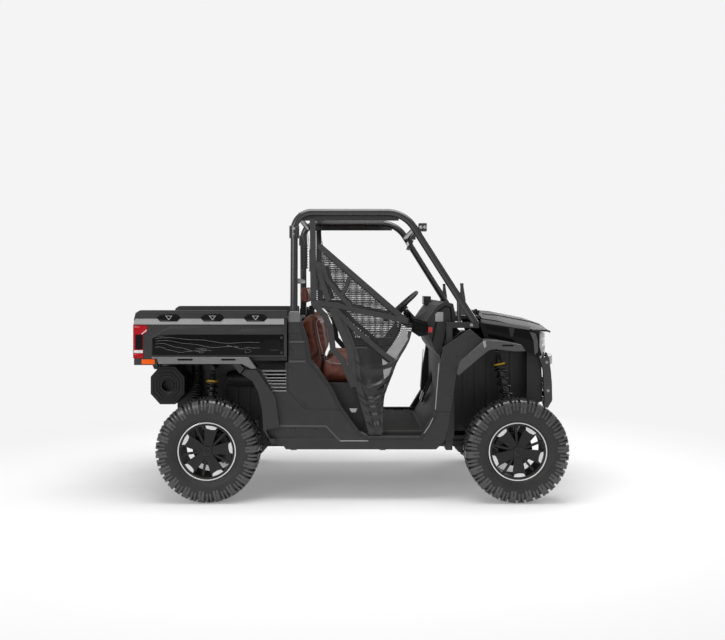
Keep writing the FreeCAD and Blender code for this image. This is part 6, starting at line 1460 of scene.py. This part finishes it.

# %% [markdown]
# ## Side panels and fenders
# The big mouldings are plain charcoal. What makes them read as real are the parts clipped to them: a
# pale cap under the pillar, a raised lip round the doorway, thin bright strips at the sill, the grey
# flare over the front wheel and the screws that hold it all. A thin silver line on the doorway lip and
# a pale patch at each flare's top corner are painted highlights.

# %% Caps, strips and the doorway lip
CAP = [(-0.432, 1.192), (-0.351, 1.192), (-0.351, 1.248), (-0.364, 1.266), (-0.418, 1.266), (-0.432, 1.250)]
DOORWAY = side_view([(0.047, 1.977), (0.087, 1.763), (0.101, 1.605), (0.138, 1.52), (0.192, 1.386),
                     (0.232, 1.241), (0.313, 1.033), (0.353, 0.995), (0.581, 0.995), (0.639, 1.167)])
TRIMS = ([(-0.425, 1.061), (-0.322, 1.061)], [(-0.425, 0.930), (-0.318, 0.930)],
         [(-0.489, 0.500), (-0.180, 0.497), (-0.088, 0.402)])
VENT_FRONT = -0.446
VENT_ROWS = ((-0.605, 0.867), (-0.600, 0.844), (-0.586, 0.821), (-0.574, 0.802), (-0.562, 0.781),
             (-0.548, 0.758), (-0.536, 0.734))
# The first two silver lines are strips on the panel; the third, on the doorway lip, is a painted highlight
# along the lip's inner edge.
SILVER_LINES_AND_LIP_HIGHLIGHT = (([(-0.088, 0.400), (0.102, 0.400)], 0.7012), ([(0.574, 0.920), (0.550, 0.610)], 0.7012),
          ([(0.474, 0.452), (0.506, 0.497), (0.534, 0.553)], 0.7054))
FILLER = [(-0.680, 0.9235), (-0.452, 0.9235), (-0.452, 0.876), (-0.612, 0.876), (-0.640, 0.890)]


def moved_aside(path, by):
    """Path shifted sideways to the right of its run."""
    run = unit(np.gradient(path, axis=0))
    return path + by * np.column_stack([run[:, 1], -run[:, 0]])


lip = sweep(at_y(moved_aside(DOORWAY, 0.012), 0.7005), oblong(0.022, 0.009, 0.4), (0, 1, 0))
for name, parts, look, edge in (
        ("pillar_caps", [clip_on(CAP, 0.6990, 0.7060, 0.7100, 0.005)], "cap grey", 0.003),
        ("doorway_lips", [lip], "dark vinyl moulding", None),
        ("panel_trims", [ribbon(path, 0.013, 0.003, 0.7010) for path in TRIMS], "grey flare", None),
        ("vent_louvres", [ribbon([(x, z), (VENT_FRONT, z)], 0.0060, 0.004, 0.7008) for x, z in VENT_ROWS],
         "light grey cap", None),
        ("bright_lines", [ribbon(path, 0.0055, 0.0025, y) for path, y in SILVER_LINES_AND_LIP_HIGHLIGHT], "silver trim", None),
        ("panel_fillers", [clip_on(FILLER, 0.6990, 0.7012, 0.7020)], "gloss black", None),
        ("vent_backs", [box_part((-0.605, 0.6370, 0.700), (-0.455, 0.6408, 0.872))], "dark vinyl moulding",
         None)):
    add_piece(name, both(parts), look, "side_panels", edge=edge)
tell()

# %% Front flares and their slots
FRONT_FLARE = side_view([(0.752, 1.594), (0.859, 1.759), (0.872, 1.766), (0.924, 1.759), (1.077, 1.729),
                         (1.147, 1.679), (0.988, 1.679), (0.908, 1.694), (0.883, 1.691), (0.86, 1.664),
                         (0.808, 1.584), (0.768, 1.523), (0.746, 1.487), (0.738, 1.5)])
FLARE_SLOT = [(0.985, 1.040), (0.992, 1.0345), (1.058, 1.0345), (1.064, 1.040), (1.058, 1.0455),
              (0.992, 1.0455)]
# The pale patch high on each flare's corner is a painted highlight, not a separate part.
FLARE_HIGHLIGHT_PATCH = [(0.858, 1.068), (0.876, 1.072), (0.882, 1.034), (0.868, 1.022)]
for name, part, look, edge in (
        ("front_flare_skins", prism(grown(FRONT_FLARE, 0.0010), 0.5585, 0.7563), "grey flare", (0.005, 3)),
        ("flare_slots", clip_on(FLARE_SLOT, *SLOT_FACES), "gloss black", None),
        ("flare_corners", prism(FLARE_HIGHLIGHT_PATCH, 0.7555, 0.7580), "light grey cap", 0.001)):
    add_piece(name, both([part]), look, "front_fenders", edge=edge)
tell()


# %% Screws
def screw(x, y, z, radius=0.0085, rise=0.0035):
    """Domed head on a washer, facing outwards."""
    profile = [(0.0, -0.001), (radius * 1.25, -0.001), (radius * 1.25, 0.0008), (radius, 0.0012),
               (radius * 0.92, rise * 0.7), (radius * 0.55, rise), (radius * 0.42, rise * 0.6),
               (0.0, rise * 0.6)]
    return lathe(profile, (x, y, z), "y", 14)


PANEL_SCREWS = ((-0.330, 0.640), (-0.395, 0.470), (-0.250, 0.470), (0.060, 0.420), (0.300, 0.418),
                (0.480, 0.420), (-0.415, 1.130), (-0.415, 0.995), (-0.415, 0.880), (0.620, 0.560),
                (0.610, 0.720))
FENDER_SCREWS = ((0.640, 0.690), (0.615, 0.905), (0.690, 0.960), (0.760, 1.060), (0.800, 1.120))
BED_SCREWS = ((-0.475, 1.090), (-0.475, 0.990), (-1.345, 1.140), (-1.345, 1.000))
for name, places, y, radius, where in (
        ("panel_screws", PANEL_SCREWS, PANEL_Y, 0.0085, ("side_panels", "chassis")),
        ("fender_screws", FENDER_SCREWS, PANEL_Y, 0.0085, ("front_fenders", "chassis")),
        ("bed_screws", BED_SCREWS, BED_SKIN_Y, 0.007, BED)):
    add_piece(name, both([screw(x, y, z, radius) for x, z in places]), "dark steel", *where)
tell()

# %% [markdown]
# ## Nose
# The nose is a gloss moulding with a grey band, a pale strip at each corner and lamps sunk behind
# lenses. In a lamp, three bowls of bright metal stand round small pale discs, as they do in a lamp
# with separate light sources.

# %% Nose sides
NOSE_SIDE = [(0.905, 1.170), (1.050, 1.150), (1.215, 1.127), (1.228, 1.060), (1.236, 0.968), (1.050, 1.052),
             (0.925, 1.086)]
NOSE_BAND = [(0.870, 1.2080), (1.205, 1.1560), (1.205, 1.1340), (0.872, 1.1830)]
NOSE_CORNER = [(1.206, 1.120), (1.248, 1.108), (1.262, 1.060), (1.262, 0.985), (1.240, 0.962), (1.232, 1.060)]
NOSE_GROOVE = [(1.064, 1.150), (1.104, 1.144), (1.090, 1.088), (1.072, 1.090)]
GROOVE_STEPS = [(0, 0.5600), (0, 0.5630), (-0.005, 0.5636), (-0.010, 0.5622)]
for name, part, look in (("nose_gloss_sides", clip_on(NOSE_SIDE, 0.5590, 0.5608, 0.5616), "gloss black"),
                         ("nose_bands", clip_on(NOSE_BAND, 0.5590, 0.5615, 0.5630), "cap grey"),
                         ("nose_corners", clip_on(NOSE_CORNER, 0.5590, 0.5618, 0.5632), "grey flare"),
                         ("nose_grooves", dish(NOSE_GROOVE, GROOVE_STEPS), "dark vinyl moulding")):
    add_piece(name, both([part]), look, "front_fascia")
tell()


# %% Lamp bowls and bumper screws
def nose_front(y):
    """How far forward the nose reaches at a distance from the middle: a parabola between its tip and
    its sides."""
    return 1.397 - (1.397 - 1.2735) * (y / 0.560) ** 2


LAMP_YS, LAMP_Z, BUMPER_Y = (0.298, 0.373, 0.448), 1.0435, 0.3800
BOWL = [(0.0, -0.024), (0.012, -0.0235), (0.020, -0.015), (0.0245, -0.006), (0.0262, -0.006), (0.022, -0.017),
        (0.013, -0.0252), (0.0, -0.0254)]
SOURCE = [(0.0, -0.0235), (0.0065, -0.0235), (0.0065, -0.019), (0.004, -0.0175), (0.0, -0.0170)]
for name, profile, count, look in (("lamp_bowls", BOWL, 28, "machined rim"),
                                   ("lamp_sources", SOURCE, 18, "lamp white")):
    parts = [lathe(profile, (nose_front(y), y, LAMP_Z), "x", count) for y in LAMP_YS]
    add_piece(name, both(parts), look, "headlamps")
BUMPER_SCREWS = ((1.336, 0.960), (1.360, 0.900), (1.368, 0.700), (1.352, 0.560))
bumper_screws = [screw(x, BUMPER_Y, z, 0.009) for x, z in BUMPER_SCREWS]
add_piece("bumper_screws", both(bumper_screws), "zinc steel", "front_bumper")
joint = ribbon([(1.322, 0.726), (1.385, 0.726)], 0.004, 0.002, 0.3805)
add_piece("bumper_joints", both([joint]), "grey flare", "front_bumper")
tell()

# %% [markdown]
# ## Cage fittings
# The cage is bolted up from tubes. Clamp blocks with screws sit at its joints, belt reels hang inside
# the rear pillars, and the webbing of each belt runs from its reel down to the seat.

# %% Blocks and screws
CAGE_BLOCKS = (((0.447, 0.535, 1.806), (0.502, 0.588, 1.862)), ((-0.432, 0.536, 1.770), (-0.372, 0.601, 1.838)),
               ((0.7245, 0.603, 1.436), (0.748, 0.621, 1.4535)))
CAGE_SCREWS = ((0.462, 0.588, 1.834), (0.488, 0.588, 1.834), (-0.402, 0.601, 1.822), (-0.402, 0.601, 1.786),
               (0.660, 0.634, 1.170), (0.800, 0.634, 1.170))
cage_blocks = [box_part(*block) for block in CAGE_BLOCKS]
add_piece("cage_blocks", both(cage_blocks), "cage paint", "cage_sides", edge=0.004)
cage_screws = [screw(*place, 0.009, 0.005) for place in CAGE_SCREWS]
add_piece("cage_screws", both(cage_screws), "zinc steel", "cage_sides")
tell()

# %% Reels and belts
FOLD_PITCH = 0.0185
reel = [(0.0, 0.0), (0.020, 0.0)]
for foot in FOLD_PITCH * np.arange(9):
    reel += [(0.024, 0.004 + foot), (0.024, 0.012 + foot), (0.019, 0.014 + foot), (0.019, 0.0205 + foot)]
reel += [(0.020, 0.174), (0.0, 0.174)]
add_piece("belt_reels", both([lathe(reel, (-0.331, 0.570, 1.552), "z", 24)]), "duct rubber", "cage_sides")
BELT = [(-0.331, 0.566, 1.720), (-0.345, 0.560, 1.800), (-0.330, 0.552, 1.830), (-0.305, 0.546, 1.760),
        (-0.286, 0.545, 1.450), (-0.262, 0.560, 1.160), (-0.225, 0.578, 0.955), (-0.232, 0.585, 0.800)]
GUIDE = [(-0.268, 1.406), (-0.240, 1.406), (-0.246, 1.597), (-0.266, 1.597)]
TONGUES = (((-0.300, 0.540, 1.240), (-0.262, 0.562, 1.300)), ((-0.250, 0.576, 0.7782), (-0.212, 0.596, 0.860)))
add_piece("belt_guides", both([clip_on(GUIDE, 0.5560, 0.5600, 0.5612)]), "light grey cap", "seat_backs")
belt = sweep(smooth_line(BELT, 6), oblong(0.0022, 0.046, 0.4), (0, 1, 0))
add_piece("seat_belts", both([belt]), "strap webbing", "seat_backs")
tongues = [box_part(*tongue) for tongue in TONGUES]
add_piece("belt_tongues", both(tongues), "gloss black", "seat_backs", edge=0.004)
tell()

# %% [markdown]
# ## Cab details
# The driver reads a screen above the column, shifts with a lever and stands on two pedals. The floor
# is ribbed so that wet boots grip. The mirror is a simple plate with glass let into one face.

# %% Dash
DASH_PANELS = (((0.545, 0.245, 1.292), (0.600, 0.415, 1.356)), ((0.484, -0.480, 1.124), (0.500, -0.130, 1.172)),
               ((0.484, 0.060, 1.124), (0.500, 0.210, 1.172)))
END_PLATE = [(0.560, 1.192), (0.614, 1.192), (0.614, 1.256), (0.574, 1.256), (0.560, 1.240)]
DASH_SEAM = side_view([(0.640, 1.74), (0.668, 1.99), (0.700, 2.035), (0.722, 2.02), (0.728, 1.90)])
KNOB = [(0.0, -0.028), (0.013, -0.026), (0.021, -0.012), (0.022, 0.004), (0.016, 0.018), (0.0, 0.022)]
switches = [box_part((0.4795, 0.068 + 0.034 * k, 1.134), (0.486, 0.092 + 0.034 * k, 1.162)) for k in range(4)]
seams = [ribbon(DASH_SEAM, 0.012, 0.004, 0.5755),
         ribbon([(0.595, 0.935), (0.640, 1.160)], 0.010, 0.004, 0.5755)]
lever = [tube([(0.510, 0.150, 1.112), (0.470, 0.150, 1.150), (0.425, 0.150, 1.205)], 0.0065, 12),
         lathe(KNOB, (0.418, 0.150, 1.222), "z", 22)]
for name, parts, look, edge in (
        ("dash_panels", [box_part(*panel) for panel in DASH_PANELS], "dark vinyl moulding", 0.004),
        ("dash_screen", [box_part((0.5435, 0.255, 1.300), (0.546, 0.405, 1.348))], "gloss black", None),
        ("dash_switches", switches, "gloss black", 0.003),
        ("dash_end_plates", both([clip_on(END_PLATE, 0.5740, 0.5775, 0.5790, 0.004)]), "light grey cap", None),
        ("dash_end_seams", both(seams), "gloss black", None),
        ("shift_lever", lever, "gloss black", None)):
    add_piece(name, parts, look, "dashboard", edge=edge)
tell()

# %% Pedals and floor
RIB_FOOT, SILL_MARKS = 0.4330, (0.262, 0.356, 0.450)
STEP_BARS = ((0.205, 0.330, 0.575), (0.205, 0.270, 0.548), (0.285, 0.330, 0.548), (0.350, 0.365, 0.560),
             (0.378, 0.392, 0.560), (0.405, 0.455, 0.575), (0.405, 0.440, 0.548))
PEDAL = [(0.522, 0.545), (0.536, 0.540), (0.556, 0.612), (0.543, 0.617)]
PEDALS = ((0.270, 0.030), (0.395, 0.048))
pedals = [tube([(0.625, y, 0.830), (0.600, y, 0.700), (0.545, y, 0.585)], 0.0085, 12) for y, _ in PEDALS]
pedals += [prism(PEDAL, y - half, y + half) for y, half in PEDALS]
mat = [box_part((0.050, y, 0.4325), (0.470, y + 0.016, 0.4375)) for y in np.arange(-0.56, 0.56, 0.036)]
sills = [box_part((0.100, 0.600, RIB_FOOT), (0.480, 0.608, 0.4420))]
sills += [box_part((x - 0.030, 0.612, RIB_FOOT), (x + 0.030, 0.620, 0.4400)) for x in SILL_MARKS]
add_piece("foot_pedals", pedals, "dark steel", "floor_pan", edge=0.002)
add_piece("floor_ribs", mat, "duct rubber", "floor_pan", edge=0.0015)
add_piece("sill_strips", both(sills), "silver trim", "floor_pan")
tell()

# %% Mirror glass and step bars
GLASS_TILT, GLASS_DEPTH, MIRROR_X, MIRROR_Z = math.radians(20), -0.0108, 0.4219, 1.738
y, z = oblong(0.236, 0.054, 0.4).T
turned = np.column_stack([GLASS_DEPTH * math.cos(GLASS_TILT) - z * math.sin(GLASS_TILT), y,
                          GLASS_DEPTH * math.sin(GLASS_TILT) + z * math.cos(GLASS_TILT)])
glass = ringed([turned + (MIRROR_X + step, 0, MIRROR_Z) for step in (0.0, -0.0012)])
add_piece("mirror_glass", [glass], "mirror glass", "cabin_mirror")
bars = [box_part((x0, y, RIB_FOOT), (x1, y + 0.016, 0.4400)) for x0, x1, y in STEP_BARS]
add_piece("step_bars", both(bars), "cap grey", "floor_pan")
tell()

# %% [markdown]
# ## Roof and hood pressings
# A flat roof drums in the wind, so shallow ribs are pressed along it. The hood has two creases that
# run forward to its tip. They are laid on the hood by dropping their lines on to it.

# %% Roof ribs and hood creases
ROOF_RIB = [(-0.262, 1.9405), (0.222, 1.9405), (0.205, 1.9475), (-0.245, 1.9475)]
roof_ribs = [prism(ROOF_RIB, y - 0.035, y + 0.035) for y in (-0.405, -0.243, -0.081, 0.081, 0.243, 0.405)]
add_piece("roof_ribs", roof_ribs, "charcoal moulding", "roof_panel", edge=0.003)
creases, run = [], np.linspace(0, 1, 40)
for side in (-1, 1):
    line = np.column_stack([0.915 + 0.415 * run, side * (0.330 - 0.075 * run), np.full(40, 1.6)])
    laid = laid_on(bpy.data.objects["hood"], line, (0, 0, -1), 0)
    creases.append(sweep(laid, oblong(0.026, 0.007, 0.45), (0, 0, 1)))
add_piece("hood_creases", creases, "hood moulding", "hood", "hood")
tell()

# %% [markdown]
# ## Inner liners
# Behind each front wheel a pressed liner keeps mud off the radiator bay, and behind each rear wheel a
# shorter one covers the engine. Both are flat plates with ribs, and a shroud stands beside the bumper.
# A round air canister hangs beside the duct.

# %% Liners and air canister
LINER_YS, LINER_RIB_YS, SHROUD_YS = (0.2210, 0.2250), (0.2245, 0.2310), (0.3260, 0.3438)
FRONT_LINER = [(0.660, 0.430), (0.900, 0.430), (0.930, 0.520), (1.232, 0.520), (1.232, 0.985), (1.190, 1.030),
               (0.760, 1.030), (0.660, 0.960)]
REAR_LINER = [(-1.262, 0.560), (-1.060, 0.470), (-0.590, 0.470), (-0.590, 0.852), (-1.262, 0.852)]
SHROUD = [(1.225, 0.560), (1.328, 0.620), (1.338, 0.700), (1.326, 0.950), (1.300, 1.000), (1.225, 1.000)]
CANISTER = [(0.0, -0.125), (0.044, -0.125), (0.050, -0.117), (0.050, -0.080), (0.055, -0.076), (0.055, 0.070),
            (0.050, 0.074), (0.050, 0.112), (0.042, 0.120), (0.0, 0.120)]
liners = [prism(FRONT_LINER, *LINER_YS), prism(REAR_LINER, *LINER_YS), prism(SHROUD, *SHROUD_YS)]
for start, end, low, high in ((0.700, 1.200, 0.560, 0.960), (-1.020, -0.620, 0.500, 0.800)):
    liners += [prism(rectangle(x, x + 0.030, low, high), *LINER_RIB_YS) for x in np.arange(start, end, 0.085)]
add_piece("bay_liners", both(liners), "frame paint", "main_frame", edge=0.002)
add_piece("air_canister", [lathe(CANISTER, (-0.770, -0.285, 0.775), "x", 40)], "duct rubber", "main_frame")
tell()

# %% [markdown]
# ## Muffler end, duct and drive boots
# The muffler's end is three nested rims and a lip round its outlet. The duct and the boots over the
# shaft joints are bellows, so each is one profile of folds turned round its axis.

# %% Muffler end
OUTLET_X, OUTLET_Z, MUFFLER_END = -1.274, 0.752, 0.5185
EIGHT_SIDES = np.radians(np.arange(22.5, 360, 45))
MUFFLER = np.column_stack([0.112 * np.cos(EIGHT_SIDES), 0.124 * np.sin(EIGHT_SIDES)])
rings = [frame_ring(MUFFLER * size + (OUTLET_X, OUTLET_Z), 0.008, MUFFLER_END, MUFFLER_END + rise)
         for size, rise in ((1.0, 0.0060), (0.78, 0.0095), (0.60, 0.0065))]
add_piece("muffler_rings", [mirror_part(ring) for ring in rings], "muffler coat", "exhaust_muffler",
          edge=0.0015)
OUTLET_LIP = [(0.0392, 0.004), (0.0445, 0.004), (0.0445, -0.009), (0.0425, -0.011), (0.0400, -0.011),
              (0.0392, -0.009)]
outlet_lip = lathe(OUTLET_LIP, (OUTLET_X, -0.5200, OUTLET_Z), "y", 40)
add_piece("muffler_lip", [outlet_lip], "dark steel", "exhaust_muffler")
tell()


# %% Bellows
def bellows(start, end, radius, depth, folds):
    """Profile of folds along an axis, wide and narrow by turns, closed at both ends."""
    steps = np.linspace(start, end, 2 * folds + 1)
    wide = radius - depth * (np.arange(2 * folds + 1) % 2)
    return [(radius - depth * 1.4, start)] + list(zip(wide, steps)) + [(radius - depth * 1.4, end)]


duct = lathe(bellows(0.640, 0.862, 0.0385, 0.006, 13), (-1.111, -0.2906, 0.0), "z", 40)
add_piece("duct_bellows", [duct], "duct rubber", "intake_duct")
boots = [lathe(bellows(0.285, 0.345, 0.044, 0.008, 4), (x, 0.0, AXLE_Z), "y", 32)
         for x in (FRONT_AXLE_X, REAR_AXLE_X)]
add_piece("shaft_boots", both(boots), "duct rubber", "half_shafts")
tell()

# %% Sizes of the dressed model
low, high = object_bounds()
print("dressed model from", tuple(round(v, 3) for v in low), "to", tuple(round(v, 3) for v in high))
